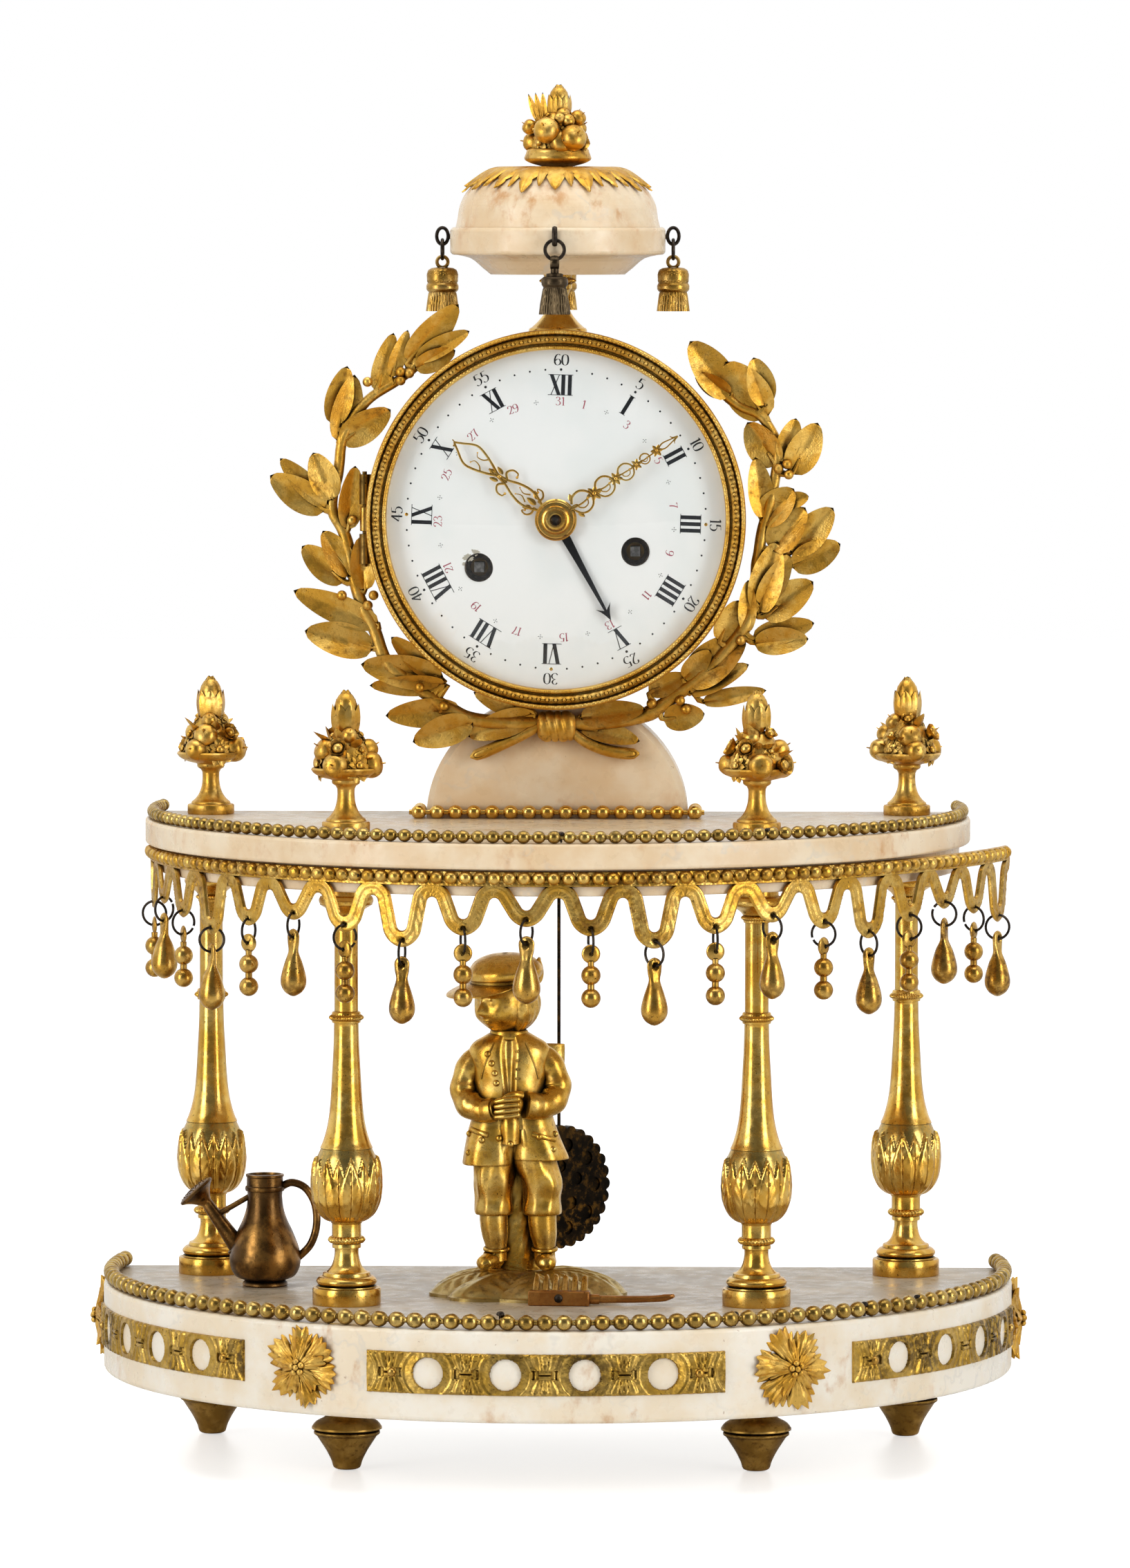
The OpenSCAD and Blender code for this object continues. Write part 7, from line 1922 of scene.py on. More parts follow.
HOOKS = {"tassel_front": (0, -1, 0), "tassel_right": (1, 0, 0), "tassel_rear": (0, 1, 0),
         "tassel_left": (-1, 0, 0)}
TASSEL_Z = {j["child"]: j["pos_m"][2] for j in frame["joints"]}["tassel_front"] / MM
TASSEL_OUT = 40.2
eyes = [moved(hook_eye(), basis(out)[0], np.array(out) * TASSEL_OUT + np.array([0, 0, TASSEL_Z]))
        for out in HOOKS.values()]
piece("vase_crown", joined(crown), laurel_gilding, nodes=["vase_mounts"], sharp=math.radians(50))
piece("vase_hook_eyes", joined(eyes), iron_wire)
print("Crown of", len(crown) - 1, "leaves; the tassels hang at z %.1f mm" % TASSEL_Z)

# %% [markdown]
# ## Tassels
# Each tassel swings on a wire ring in its hook, so it is a piece of its own that rides on its own
# body. Three are gilt, with a matted head over a smooth ring. The front one was replaced long ago
# by a plainer one in dark bronze. The cords of both are cut with a graver as upright grooves,
# which here are a wave in the radius.

# %% Four tassels
GILT_TASSEL = [(0, -24.0), (5.0, -24.2), (5.6, -24.8), (5.4, -23.0), (5.0, -20.0), (4.7, -18.2),
               (5.1, -17.9), (5.6, -17.2), (5.65, -16.0), (5.3, -15.2), (5.1, -15.0), (5.4, -14.0),
               (5.45, -12.2), (5.0, -10.6), (3.8, -9.8), (1.6, -9.5), (0, -9.45)]
DARK_TASSEL = [(0, -24.9), (4.8, -25.0), (5.3, -25.5), (4.9, -22.0), (4.3, -18.6), (3.9, -16.3),
               (4.1, -15.9), (4.5, -15.4), (4.6, -14.2), (4.4, -13.1), (3.9, -12.6), (2.9, -12.4),
               (2.9, -11.6), (2.4, -11.4), (1.4, -11.3), (1.4, -9.4), (0, -9.3)]


def tassel(profile, skirt_top, eye_wide, matted):
    """Ring, eye and body below the hook; cords |cos 15 a| in the skirt, punch marks on a matted head."""
    def relief(r, z, a):
        """The cords and the punch marks, added to the radius."""
        cords = 0.34 * (np.abs(np.cos(15 * a + 0.25 * np.sin(z))) - 0.5) * smooth_step((skirt_top - z) / 0.8)
        punched = 0.14 * np.sin(21 * a) * np.sin(6.5 * z) * ((z > -15) & (z < -10)) * matted
        return cords + punched
    body = moved(revolve(dense(profile, -25, -10, 0.5), 150, relief), turn_x(-math.pi / 2))
    a = np.linspace(0, TAU, 28, endpoint=False)
    eye = np.stack([0 * a, -7.7 + 1.9 * np.sin(a), 1.9 * np.cos(a)], -1)
    return moved(torus(3.3, 0.62, 40, 10), place=(0, -3.3, 0)), joined([
        body, sweep(eye, 0.62, 10, up=(1, 0, 0), flat=eye_wide, closed=True)])


for node, out in HOOKS.items():
    dark = node == "tassel_front"
    ring, cords = tassel(*((DARK_TASSEL, -16.2, 2.6, 0) if dark else (GILT_TASSEL, -18.0, 1.6, 1)))
    turn, place = basis(out)[0], np.array(out) * TASSEL_OUT + np.array([0, 0, TASSEL_Z])
    piece(node + "_ring", moved(ring, turn, place), iron_wire, body=node)
    piece(node + "_cords", moved(cords, turn, place), tassel_bronze if dark else worn_gilding, body=node,
          nodes=[node])
print("Four tassels on their rings")

# %% [markdown]
# ## The finial of the vase
# A shallow bowl stands on the vase, heaped with apples, a split pomegranate, flowers and leaves,
# and long pointed leaves rise from the middle.

# %% Bowl and fruit on the vase
BOWL = [(0, 1.0), (4.4, 1.0), (4.9, 1.6)]
BOWL += curve([(6.2, 2.0), (9.4, 2.9), (11.3, 3.9), (11.7, 4.7)], 4).tolist()
BOWL += curve([(11.5, 5.3), (11.0, 6.6), (10.7, 7.6), (9.8, 8.0)], 4).tolist() + [(0, 8.2)]
top_fruit = [moved(heap(12.4, 17.0, 208), turn_z(2.4), (0, 0, 6.6)), revolve(BOWL, 64),
             moved(bud(12.0, 4.9), turn_z(0.3), (0.4, 0, 19.0))]
for k, (x, y, z, size) in enumerate([(-3.6, -9.2, 14.2, 4.6), (5.6, -9.0, 11.6, 4.7),
                                     (3.9, -6.8, 17.6, 2.3), (0.8, -7.6, 18.4, 1.9),
                                     (-9.8, -2.6, 15.5, 2.7), (7.2, -4.0, 18.6, 2.8)]):
    top_fruit.append(moved(fruit(size, sides=20), basis((x, y, 6))[0], (x, y, z)))
for x, turn in ((-5.6, -0.2), (-4.4, -0.08), (-6.6, -0.34)):
    blade = leaf(11.0, 2.4, fold=0.2, bend=0.05, rows=12, columns=7, thick=0.8)
    top_fruit.append(moved(blade, turn_y(turn) @ turn_x(math.pi / 2), (x, -1.0, 16.6)))
top_fruit = moved(joined(top_fruit), place=(0, 0, VASE_TOP))
piece("vase_fruit", top_fruit, fruit_gilding, nodes=["vase_finial"])
print("The finial reaches %.1f mm" % top_fruit[0][:, 2].max())
# %% [markdown]
# ## The gardener
# A boy in coat, breeches and cap stands on a leafy mound with his hands clasped. The founder cast
# him hollow in a few parts, and chased buttons, cuffs and pockets afterwards. Limbs and clothes
# are stacked ovals, so one function lofts them, and folds are a share added to their size. The
# face is a calm, general one, built on the usual proportions: eyes at half the head's height, the
# mouth a third of the way from nose to chin.

# %% Lofted limbs and clothes
MOUND_RISE = 8.6
FIGURE = np.array([-14.0, -52.0, BASE_TOP + MOUND_RISE])


def loft(sections, sides=36, steps=6, folds=None):
    """Stacked ovals (x, y, z, half width, half depth), joined smoothly and swollen by folds(z, a)."""
    s = curve(sections, steps)
    x, y, z, rx, ry = (s[:, k:k + 1] for k in range(5))
    a = np.linspace(0, TAU, sides, endpoint=False)[None, :]
    swell = 1 + (0 if folds is None else folds(z + 0 * a, a + 0 * z))
    rings = np.stack([x + rx * swell * np.cos(a), y + ry * swell * np.sin(a), z + 0 * a], -1)
    ends = [np.repeat(s[k:k + 1, None, :3], sides, 1) for k in (0, -1)]
    return outward(weld(grid(np.concatenate([ends[0], rings, ends[1]]), wrap_columns=True)))


def front_of(sections, x, z, proud=0.0):
    """Point on the front of a loft at x and z, a little proud of it."""
    s = curve(sections, 6)
    order = np.argsort(s[:, 2])
    cx, cy, rx, ry = (np.interp(z, s[order, 2], s[order, k]) for k in (0, 1, 3, 4))
    return (x, cy - ry * math.sqrt(max(0.05, 1 - ((x - cx) / rx) ** 2)) - proud, z)


def arm_of(points, radii, folds=0.05):
    """A sleeve or finger: a round bar with its own radius at each point, and a few cross folds."""
    n = 8 * len(points)
    line = along(curve(points, 6), n)
    t = np.linspace(0, 1, n)
    radius = np.interp(t, np.linspace(0, 1, len(radii)), radii)
    radius = radius * (1 + folds * np.sin(31 * t) * np.sin(math.pi * t))
    radius[[0, -1]] *= 0.72
    return sweep(line, radius, 22, up=(0.2, 1, 0.3))


def breeches_folds(z, a):
    """Upright creases that fade towards the knee."""
    return 0.035 * np.sin(5 * a + 0.22 * z) * smooth_step((z - 20) / 6) + 0.02 * np.sin(9 * a - 0.3 * z)


def bark(z, a):
    """Punch marks of the stump."""
    return 0.05 * np.sin(13 * a + 1.3 * z) * np.sin(2.2 * z - 5 * a) + 0.04 * np.sin(3 * a + 0.1 * z)


limbs = [loft([(0, 6.5, -2, 9.5, 5.2), (0.5, 6.5, 6, 7.6, 4.8), (0.8, 6.5, 20, 6.4, 4.4),
               (1, 6.2, 38, 5.6, 4)], 52, 14, bark)]
for kx, hx, turn in ((-6.7, -6.4, -0.55), (10.0, 7.4, 0.12)):
    limbs.append(loft([(kx + 0.9, 0.4, 3, 3.7, 4.0), (kx + 0.8, 0.5, 7.5, 3.7, 4.0),
                       (kx + 0.4, 0.4, 12, 4.6, 4.8), (kx, 0.3, 17, 4.9, 5.1), (kx, 0.2, 22, 4.8, 5.0)]))
    limbs.append(loft([(kx, 0.1, 18.9, 5.4, 5.5), (kx, 0.1, 19.3, 6.5, 6.5), (kx, 0, 21, 6.7, 6.7),
                       (kx, 0, 25, 6.4, 6.6), (kx, -0.2, 30, 7.0, 7.3), (hx, 0.2, 37, 7.4, 7.9),
                       (hx * 0.8, 0.6, 45, 7.8, 8.3), (hx * 0.7, 1, 51, 7.2, 8)], 44, 6, breeches_folds))
    toe = turn_z(turn) @ np.array([0, -1.0, 0])
    heel = np.array([kx + 0.9, 1.6, 2.7])
    shoe = np.array([heel - toe * 0.5, heel + toe * 3 + [0, 0, 0.5], heel + toe * 6.5,
                     heel + toe * 9.6 - [0, 0, 0.9]])
    thick = np.interp(np.linspace(0, 1, 22), [0, 0.12, 0.55, 0.85, 1], [2.6, 3.7, 3.5, 3.0, 1.1])
    limbs.append(sweep(along(curve(shoe, 6), 22), thick, 22, up=(0, 0, 1), flat=0.86))
    limbs.append(moved(torus(3.9, 0.75, 36, 10), turn_x(0.12), (kx + 0.85, 0.3, 7.0)))
    buckle = moved(torus(1.5, 0.38, 24, 8), np.diag([1.25, 0.8, 1.0]))
    limbs.append(moved(buckle, turn_z(turn) @ turn_x(0.75), heel + toe * 4.6 + np.array([0, 0, 3.0])))
print("Legs, shoes and stump:", len(limbs), "surfaces")

# %% [markdown]
# The coat stands open over a narrow waistcoat. Its two skirts flare and end in a sharp hem, and
# buttons and flaps are set on the front of the ovals at the height where the real ones are.

# %% Coat, arms and hands
TORSO = [(-0.6, 1, 49, 13.2, 8.8), (-0.8, 1, 55, 12.2, 8.4), (-1, 1, 63, 12.4, 8.8),
         (-1.2, 1, 70, 13.4, 9.0), (-1.2, 1, 75, 14.2, 8.6), (-1.2, 0.9, 78.2, 12.6, 7.6),
         (-1.2, 0.8, 80.4, 9.2, 6.4), (-1.2, 0.8, 82, 6.4, 5.6)]
LEFT_SKIRT = [(-8.4, 0.4, 36.4, 9.0, 8.8), (-8.3, 0.4, 37.0, 9.4, 9.2), (-8.0, 0.4, 42, 8.9, 9.0),
              (-7.4, 0.6, 48, 8.2, 8.7), (-6.8, 0.8, 54, 7.0, 8.2)]
RIGHT_SKIRT = [(9.0, 0.4, 38.2, 9.6, 8.8), (9.0, 0.4, 38.8, 9.9, 9.2), (8.2, 0.4, 43, 9.0, 9.0),
               (7.0, 0.6, 48, 8.3, 8.7), (5.8, 0.8, 54, 7.6, 8.2)]


def coat_folds(z, a):
    """The open front: a slot at a = -90 degrees that narrows downwards, beside two lapel edges."""
    off = (a - 1.5 * math.pi) * 9
    slot = -0.26 * np.exp(-(off / (0.9 + 0.04 * (z - 56))) ** 4) * smooth_step((z - 57) / 3)
    return slot + 0.02 * np.sin(4 * a + 0.4 * z) * np.exp(-((z - 62) / 7) ** 2)


def skirt_folds(z, a):
    """Soft waves that grow towards the hem."""
    return 0.03 * np.sin(5 * a + 0.8) * smooth_step((50 - z) / 12)


LEFT_SLEEVE = [(-8.8, 1.2, 74.4), (-13.0, 1.6, 72.2), (-16.2, 1.3, 67), (-17.0, 0.2, 61.4),
               (-14.8, -3.2, 57.2), (-10, -6.8, 55.4), (-5.2, -9.2, 56.4)]
RIGHT_SLEEVE = [(6.6, 1.2, 74.8), (10.8, 1.6, 72.8), (14.0, 1.3, 68), (15.2, 0.3, 62.4),
                (13.4, -3.0, 58.4), (9.4, -6.8, 57), (5.4, -9.2, 57.6)]
clothes = [loft(TORSO, 132, 8, coat_folds)]
clothes += [loft(skirt, 44, 6, skirt_folds) for skirt in (LEFT_SKIRT, RIGHT_SKIRT)]
# Waistcoat and collar, then the sleeves and their cuffs
clothes += [loft([(-0.8, -1.5, 44, 4.6, 7.6), (-0.8, -1.5, 50, 5, 7.6), (-0.8, -1, 56, 5, 7)]),
            loft([(-1.2, 0.8, 79.6, 6.4, 5.7), (-1.2, 0.8, 80.2, 6.9, 6.1), (-1.4, 0.7, 82.4, 6.5, 5.8),
                  (-1.5, 0.6, 83.0, 5.6, 5.0)]),
            arm_of(LEFT_SLEEVE, [3.4, 4.8, 4.6, 4.7, 4.8, 4.1, 3.3]),
            arm_of(RIGHT_SLEEVE, [3.4, 4.8, 4.6, 4.8, 4.8, 4.4, 3.9]),
            arm_of([(8.8, -7.4, 57), (6.8, -8.7, 57.4), (4.4, -9.7, 57.8)], [4.6, 4.9, 4.7], 0),
            arm_of([(-9.4, -7.2, 55.4), (-7.4, -8.4, 55.8), (-6.2, -9.0, 56.1)], [4.2, 4.3, 4.1], 0)]
hands = [moved(ball(1, 22, 14, (4.4, 2.9, 3.9)), turn_y(-0.25), (-0.2, -10.8, 57.9)),
         arm_of([(3.4, -10.4, 61), (0.6, -12.4, 61.6), (-2.6, -13.0, 60.4)], [1.5, 1.2, 0.9], 0)]
hands += [arm_of([(2.6, -12.6, 60.0 - 1.75 * k), (-1.8, -13.7, 59.9 - 1.9 * k),
                  (-6.0, -12.4, 59.0 - 1.75 * k)], [1.15, 1.05, 0.8], 0) for k in range(4)]
BUTTONS = [(TORSO, -8.6, 75.0), (TORSO, -7.2, 71.8), (TORSO, -6.1, 68.4), (TORSO, -5.6, 65.0),
           (LEFT_SKIRT, -15.0, 47.2), (LEFT_SKIRT, -15.2, 40.8), (LEFT_SKIRT, -10.6, 45.4),
           (LEFT_SKIRT, -4.6, 46.0), (RIGHT_SKIRT, 9.2, 46.6), (RIGHT_SKIRT, 14.6, 47.2),
           (RIGHT_SKIRT, 14.0, 42.2)]
button_at = [front_of(loft_of, x, z, 0.15) for loft_of, x, z in BUTTONS] + [(-0.6, -9.6, 44.2)]
clothes.append(spread(ball(1.12, 16, 10, (1, 0.75, 1)), button_at))
holes = [front_of(TORSO, 1.9, z, 0.05) for z in (76.0, 72.8, 69.8, 66.6)]
hole_rim = moved(torus(0.95, 0.17, 20, 6), np.diag([1, 0.45, 1.0]))
clothes.append(copies(hole_rim, np.tile(turn_x(math.pi / 2), (4, 1, 1)), holes))
FLAPS = [(LEFT_SKIRT, -14.6, -8.4, 48.8, -0.28), (RIGHT_SKIRT, 6.8, 14.6, 47.6, -0.32)]
for skirt, x0, x1, z0, tilt in FLAPS:
    edge = [front_of(skirt, x, z0 + tilt * (x - x0), 0.1) for x in np.linspace(x0, x1, 9)]
    clothes.append(sweep(edge, 0.95, 8, up=(0, 1, 0), flat=0.5))
for side, x0 in ((-1, -6.2), (1, 4.2)):
    down = np.linspace(0.05, 1.1, 12)
    seam = [front_of(TORSO, x0 + side * 5.4 * math.sin(t), 79.4 - 12 * t, 0.1) for t in down]
    clothes.append(sweep(seam, 0.3, 6, up=(0, 1, 0)))
print("Coat with", len(button_at), "buttons, arms and hands")

# %% [markdown]
# Head and hair are balls pressed in and out. A bump is a bell-shaped hill over two angles seen
# from the head's middle: sideways from where the face looks, and up. The cap is lofted like the
# clothes, and has a peak in front and a bow of leaves at its side. A basket hangs on the back.

# %% Head, hair and cap
HEAD = np.array([-3.4, -0.6, 92.3])
LOOK = math.radians(-42)


def head_surface(size, bumps, sides=84, rows=60, extra=None):
    """Radius in each direction: size, plus height exp(-(side / w)^2 - (up / h)^2) for each bump."""
    up = np.linspace(-math.pi / 2, math.pi / 2, rows)[:, None]
    side = np.linspace(-math.pi, math.pi, sides, endpoint=False)[None, :]
    push = 0 * up * side
    for s, u, w, h, height in bumps:
        push = push + height * np.exp(-((side - s) / w) ** 2 - ((up - u) / h) ** 2)
    if extra is not None:
        push = push + extra(side + 0 * up, up + 0 * side)
    narrow = 1 - 0.2 * smooth_step((-up - 0.35) / 1.2)
    x = (size[0] * narrow + push) * np.cos(up) * np.sin(side)
    y = -(size[1] * narrow + push) * np.cos(up) * np.cos(side)
    z = (size[2] + push * 0.4) * np.sin(up) + 0 * side
    at_pole = np.abs(np.cos(up)) < 1e-6
    points = np.stack([np.where(at_pole, 0, x), np.where(at_pole, 0, y),
                       np.where(at_pole, size[2] * np.sign(up), z)], -1)
    return outward(weld(grid(points, wrap_columns=True)))


FACE = [(0, -0.16, 0.12, 0.16, 2.1), (0, 0.0, 0.08, 0.2, 1.3), (0.12, -0.24, 0.07, 0.07, 0.45),
        (-0.12, -0.24, 0.07, 0.07, 0.45), (0, 0.34, 0.6, 0.1, 0.35), (0, -0.46, 0.2, 0.05, 0.75),
        (0, -0.515, 0.24, 0.03, -0.6), (0, -0.58, 0.17, 0.06, 0.8), (0, -0.68, 0.2, 0.06, -0.3),
        (0, -0.86, 0.26, 0.16, 0.8)]
for side in (-1, 1):
    FACE += [(side * 0.36, 0.06, 0.2, 0.13, -1.35), (side * 0.36, 0.06, 0.13, 0.075, 1.05),
             (side * 0.36, 0.14, 0.16, 0.025, 0.35), (side * 0.36, -0.01, 0.15, 0.022, 0.2),
             (side * 0.36, 0.25, 0.22, 0.045, 0.45), (side * 0.55, -0.34, 0.26, 0.24, 0.6)]


def hair_waves(side, up):
    """Locks: ridges that run down and back; the hair sinks into the head where the face is."""
    open_face = smooth_step((1.35 - np.abs(side)) / 0.35) * smooth_step((0.75 - up) / 0.3)
    locks = 0.32 * np.abs(np.sin(7.5 * side + 1.6 * np.sin(2.2 * up))) + 0.12 * np.sin(23 * side + 5 * up)
    return locks - 3.6 * open_face


turn = turn_z(LOOK) @ turn_x(0.1)
head = [moved(head_surface((9.5, 10.3, 10.8), FACE), turn, HEAD),
        moved(head_surface((11.6, 11.8, 11.4), [], 120, 48, hair_waves), turn,
              HEAD + np.array([0.9, 1.3, -0.4])),
        loft([(-1.8, 0.8, 79, 4.8, 4.8), (-2.2, 0.4, 84, 4.5, 4.6), (-2.4, 0.2, 88, 4.8, 5)])]
turn = turn_z(math.radians(-55))


def cap_folds(z, a):
    """Seams of the cap's six pieces, and a soft dent."""
    return 0.02 * np.abs(np.sin(3 * a)) * smooth_step((z - 6) / 3) - 0.03 * np.exp(-((a - 4.2) / 0.5) ** 2)


crown_of_cap = loft([(0, 0.5, 5.6, 10.6, 10.4), (0, 0.5, 6.2, 11.6, 11.4), (0, 0.6, 8.2, 11.9, 11.6),
                     (0, 1, 8.6, 12.8, 12.4), (0.2, 1.4, 11.2, 13.4, 12.6), (0.2, 1.6, 14.4, 11.2, 10.4),
                     (0, 1.8, 16.4, 6.4, 5.8), (0, 1.8, 17, 1, 1)], 60, 6, cap_folds)
head.append(moved(crown_of_cap, turn @ turn_x(0.06), HEAD))
across, reach = np.linspace(-1.25, 1.25, 33)[None, :], np.linspace(0, 1, 12)[:, None]
r = 10.8 + reach * 10.2 * np.cos(across * 0.98) ** 0.8
z = 7.0 - 4.6 * reach ** 1.2 * np.cos(across) + 1.1 * (across / 1.25) ** 2 * reach
peak = np.stack([r * np.sin(across), -r * np.cos(across) + 0.5, z], -1)
under = peak - np.array([0, 0, 0.9]) * (1 - 0.8 * reach[..., None] ** 3)
wall = [np.stack([peak[k], under[k]]) for k in (0, -1)]
wall += [np.stack([peak[:, k], under[:, k]]) for k in (0, -1)]
peak_surface = weld(joined([grid(peak), grid(under[:, ::-1]), grid(wall[0][::-1]), grid(wall[1]),
                            grid(wall[2]), grid(wall[3][::-1])]))
head.append(moved(outward(peak_surface), turn, HEAD))
bow_leaf = leaf(9.5, 4.6, fold=0.18, bend=0.12, rows=12, columns=7, thick=0.8)
head += [moved(bow_leaf, turn_z(t) @ turn_x(1.25 + 0.1 * k), (7.6 + 0.6 * k, 1.5 - k, 98.5)) for k, t in
         enumerate((-1.9, -1.2, -2.6))]


def wicker(z, a):
    """The basket's weave: small squares in and out by turns."""
    return 0.012 * np.sign(np.sin(1.9 * z)) * np.sign(np.sin(16 * a))


basket = loft([(3.5, 10.5, 55, 12.4, 2.6), (3.5, 10.5, 56, 13.4, 3.2), (3.5, 10.5, 66, 13.8, 3.4),
               (3.5, 10.5, 76, 14.0, 3.2), (3.5, 10.5, 76.8, 13.4, 2.4)], 48, 8, wicker)
print("Head, hair, cap and basket")

# %% [markdown]
# The mound is chased as large leaves that lie over each other, with short strokes along their
# edges. In polar terms each leaf is a hump across its own angle, and the strokes are a fine wave
# that leans to both sides of the rib.

# %% Mound
MOUND_H, MOUND_X, MOUND_Y = 9.0, 34.6, 27.0
t = np.linspace(0, 1, 64)[:, None]
a = np.linspace(0, TAU, 360, endpoint=False)[None, :]
swirl = a * 11 / TAU + 0.35 * t + 0.22 * np.sin(2 * a + 1)
v = 2 * (swirl - np.floor(swirl)) - 1
strokes = 0.36 * np.sin(46 * t - 9 * np.abs(v)) * smooth_step((np.abs(v) - 0.25) / 0.2)
strokes = strokes * smooth_step((t - 0.35) / 0.2)
hump = 1.7 * (1 - np.abs(v) ** 1.5) + 0.4 * np.exp(-(v / 0.1) ** 2)
reach = 1 - 0.07 * np.abs(v) ** 2 + 0.025 * np.sin(3 * a + 2) - 0.03 * np.cos(7 * a)
z = MOUND_H * np.clip(1 - t ** 2.6, 0, 1) ** 0.62 * 0.86
z = z + (hump * smooth_step(t / 0.5) + strokes) * (1 - t ** 8)
mound_top = np.stack([5 + MOUND_X * t * reach * np.cos(a), -1 + MOUND_Y * t * reach * np.sin(a), z], -1)
skirt = mound_top[-1:].copy()
mound_top[-1, :, 2] = 1.1
skirt[..., 2] = 0
mound = outward(weld(grid(np.concatenate([mound_top, skirt, skirt * 0 + skirt.mean(1, keepdims=True)]),
                          wrap_columns=True)))
mound_at = FIGURE - np.array([0, 0, MOUND_RISE])
gardener = joined([*limbs, *clothes, *hands, *head, basket])
piece("gardener_chased", moved(gardener, place=FIGURE), figure_gilding, nodes=["gardener"],
      sharp=math.radians(50))
piece("mound_chased", moved(mound, place=mound_at), mound_gilding, sharp=math.radians(50))
print("The gardener reaches %.1f mm; %d faces" % (FIGURE[2] + gardener[0][:, 2].max(), len(gardener[2])))

# %% [markdown]
# ## Watering can and rake
# The can is soldered from sheet: a pear-shaped body on a foot ring, a neck with a rim, a spout with
# a pierced rose, a brace and a loop handle. The rake is a block with a pinned handle and six teeth.

# %% Watering can
CAN = np.array([-101.0, -30.0, BASE_TOP])
CAN_PROFILE = [(0, 0), (7.6, 0), (7.9, 0.5), (7.7, 1.3), (7.0, 1.9)]
CAN_PROFILE += curve([(7.6, 2.3), (10.6, 3.8), (12.3, 7.8), (12.0, 12.5), (9.9, 18.4), (7.6, 23.4),
                      (6.4, 27.4), (6.0, 31.2)], 6).tolist()
CAN_PROFILE += [(6.1, 33.0), (6.7, 33.2), (6.9, 33.8), (6.8, 34.6), (6.3, 34.9), (6.25, 37.9), (6.6, 38.2),
                (6.6, 38.9), (5.7, 39.0), (5.5, 38.2), (0, 38.1)]
SPOUT_FOOT, SPOUT_TOP = np.array([-7, 0, 10.0]), np.array([-20.0, 0, 28.6])
toward = (SPOUT_TOP - SPOUT_FOOT) / np.linalg.norm(SPOUT_TOP - SPOUT_FOOT)
rose_turn = basis(turn_y(-0.12) @ toward, (0, 1, 0))[0]
rose_profile = [(0, 0)] + curve([(1.7, 0), (2.4, 1.6), (4.6, 4.2), (6.6, 5.6)], 5).tolist()
rose_profile += [(7.0, 5.8), (7.0, 6.6), (6.6, 6.9), (4.4, 7.4), (0, 7.8)]
k = np.arange(1, 44)
dots = np.stack([6.0 * np.sqrt(k / 44) * np.cos(2.4 * k), 6.0 * np.sqrt(k / 44) * np.sin(2.4 * k),
                 7.75 - 0.8 * (k / 44)], -1)
rose_head = joined([revolve(rose_profile, 40), spread(ball(0.34, 8, 5), dots)])
loop = [(5.4, 0, 34.4), (9.4, 0, 36.0), (14.2, 0, 34.0), (17.4, 0, 28.4), (17.9, 0, 21.0), (15.8, 0, 14.4),
        (11.4, 0, 9.8)]
spout_line = along([SPOUT_FOOT, SPOUT_TOP + 0.6 * toward], 14)
can = [revolve(CAN_PROFILE, 72), sweep(spout_line, np.linspace(3.5, 1.9, 14), 18, up=(0, 1, 0)),
       moved(rose_head, rose_turn, SPOUT_TOP - 0.4 * toward),
       sweep(along(curve(loop, 8), 60), 1.35, 12, up=(0, 1, 0)),
       sweep(along([(-5.0, 0, 31.4), (-11.5, 0, 27.6), (-16.6, 0, 24.8)], 10), 0.95, 10, up=(0, 1, 0)),
       moved(torus(3.6, 0.5, 28, 8), basis(toward, (0, 1, 0))[0], SPOUT_FOOT + 4.4 * toward)]
piece("watering_can_soldered", moved(joined(can), place=CAN), brown_bronze, nodes=["watering_can"])
print("Watering can, %.0f mm high" % CAN_PROFILE[-2][1])

# %% Rake
RAKE = np.array([2.0, -85.4, BASE_TOP])


def block(size, bevel):
    """A filed block: eight corners pulled in by a bevel on each of its six sides, as 24 points."""
    n = np.array([(x, y, z) for x in (0, 1) for y in (0, 1) for z in (0, 1)], float)
    points = np.concatenate([n * size + (0.5 - n) * 2 * bevel * (1 - np.eye(3)[k]) for k in range(3)])
    return convex(points)


def convex(points):
    """The convex hull of points, as a surface."""
    body = bmesh.new()
    for p in points:
        body.verts.new(p)
    bmesh.ops.convex_hull(body, input=body.verts)
    bmesh.ops.delete(body, geom=[v for v in body.verts if not v.link_faces], context="VERTS")
    body.verts.index_update()
    out = np.array([v.co[:] for v in body.verts])
    sizes = np.array([len(f.verts) for f in body.faces])
    corners = np.array([v.index for f in body.faces for v in f.verts])
    body.free()
    return outward((out, corners, sizes))


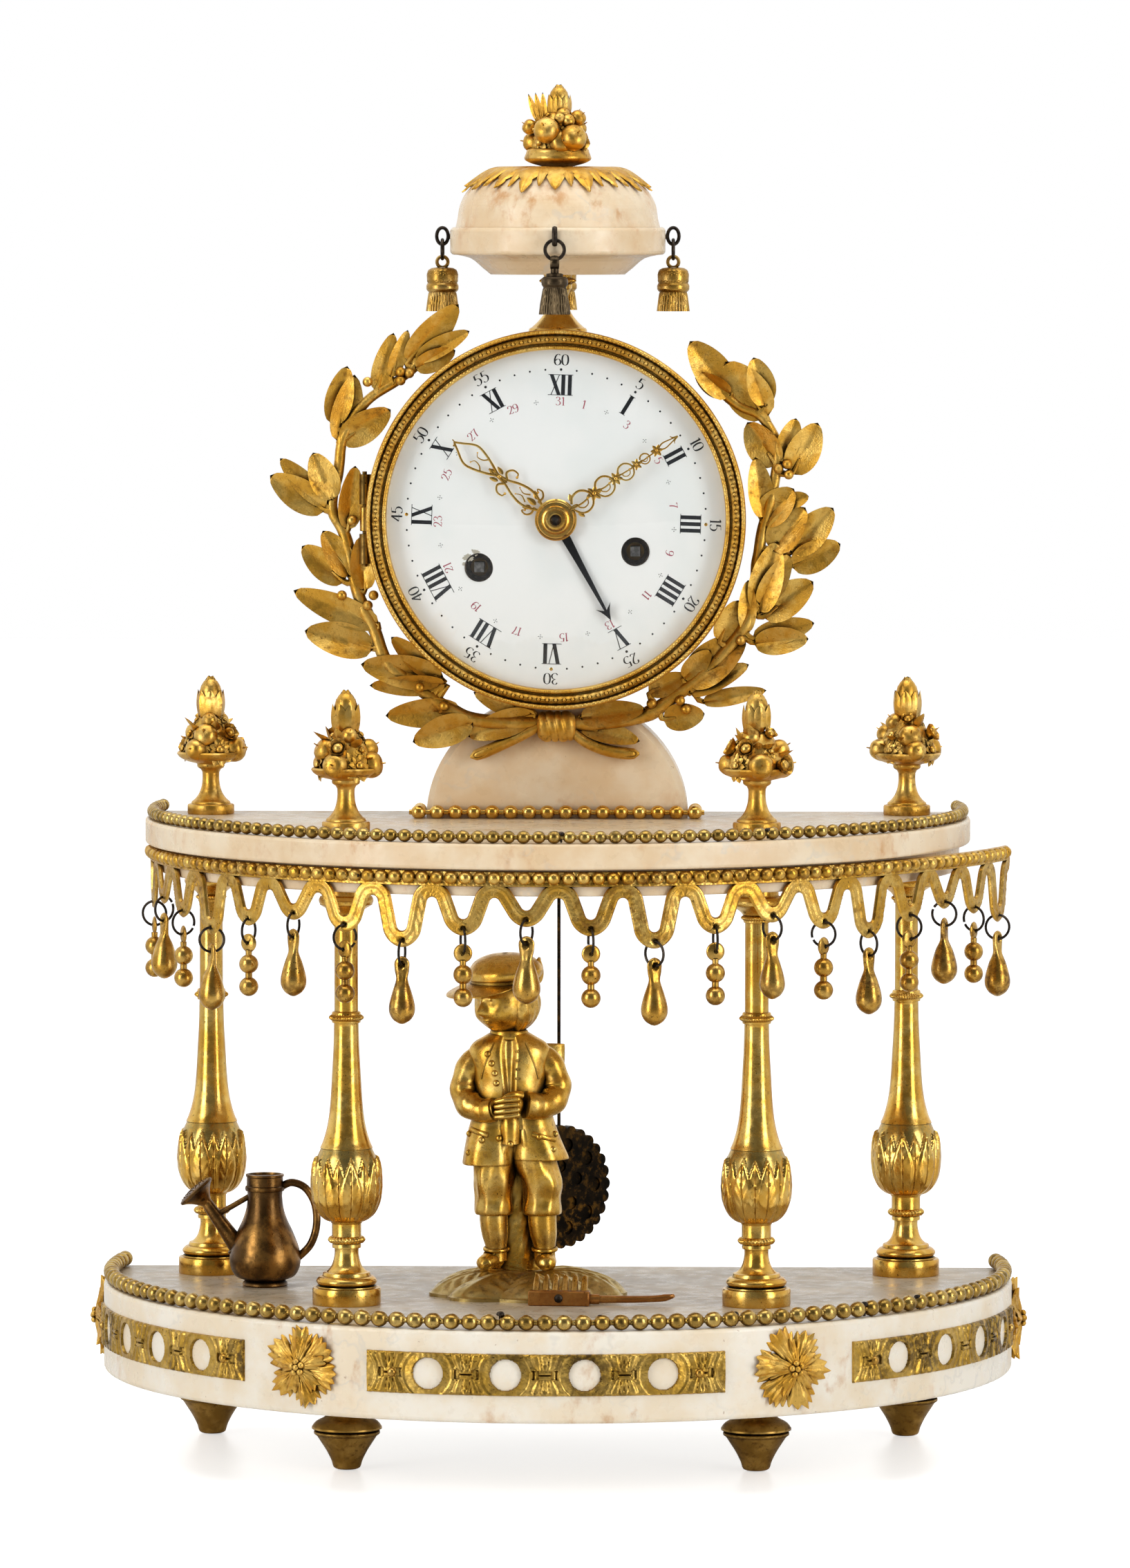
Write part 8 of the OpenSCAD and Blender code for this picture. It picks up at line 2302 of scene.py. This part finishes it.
tooth = revolve([(0, -0.8), (1.2, -0.8), (1.25, 0), (1.2, 3.6), (0.95, 6.2), (0.5, 7.2), (0, 7.5)], 14)
lean = turn_x(-0.72)
teeth = [moved(tooth, lean, (2.2 + 3.3 * i, 4.6, 4.2 - 0.1 * (i % 2))) for i in range(6)]
pin = moved(revolve([(0, 0), (1.5, 0), (1.45, 0.5), (0.9, 1.05), (0, 1.2)], 18), turn_x(math.pi / 2),
            (10.5, 0.1, 2.6))
handle = along(curve([(10.5, 2.6, 2.2), (22, 4.4, 2.0), (36, 6.6, 1.9), (44, 8.2, 2.1), (47.4, 8.6, 2.6),
                      (49.2, 8.0, 3.1)], 8), 60)
rod = sweep(handle, np.interp(np.linspace(0, 1, 60), [0, 0.8, 0.92, 1], [1.45, 1.15, 1.25, 0.7]), 12)
ferrule = sweep(along([(20.6, 4.15, 2.05), (24.0, 4.7, 2.0)], 6), 1.75, 14)
rake = joined([block(np.array([21.0, 5.0, 5.0]), 0.35), rod, ferrule])
aslant = turn_z(math.radians(7))
set_down = aslant @ turn_z(math.radians(-12))
offset = RAKE + aslant @ np.array([-10.0, 0, 0.05])
piece("rake_head_and_handle", moved(rake, set_down, offset), rake_gilding, nodes=["rake"])
piece("rake_teeth", moved(joined(teeth), set_down, offset), worn_gilding)
piece("rake_pin", moved(pin, set_down, offset), iron_wire)
print("Rake with", len(teeth), "teeth")

# %% [markdown]
# ## Pendulum
# The pendulum is sawn from brass sheet and blackened. Its rod and pierced bob have the right shape
# in the solids already, so they only get their finish, and a thin web is set into the bob.

# %% Pendulum
dress("pendulum", black_brass)
BOB_R, BOB_TURN = 21.8, math.radians(40)
bob_at = np.array([*middle("pendulum")[:2], span("pendulum")[0][2] + BOB_R])
web = revolve([(0, -0.7), (19.0, -0.7), (19.2, -0.4), (19.2, 0.4), (19.0, 0.7), (0, 0.7)], 72)
piece("pendulum_web", moved(web, turn_z(BOB_TURN) @ turn_x(math.pi / 2), bob_at), black_brass,
      body="pendulum")
print("Pendulum with a bob of radius %.1f mm" % BOB_R)
# %% Count the pieces and finish
print("Pieces made:", len(pieces), "with", sum(pieces.values()), "faces")
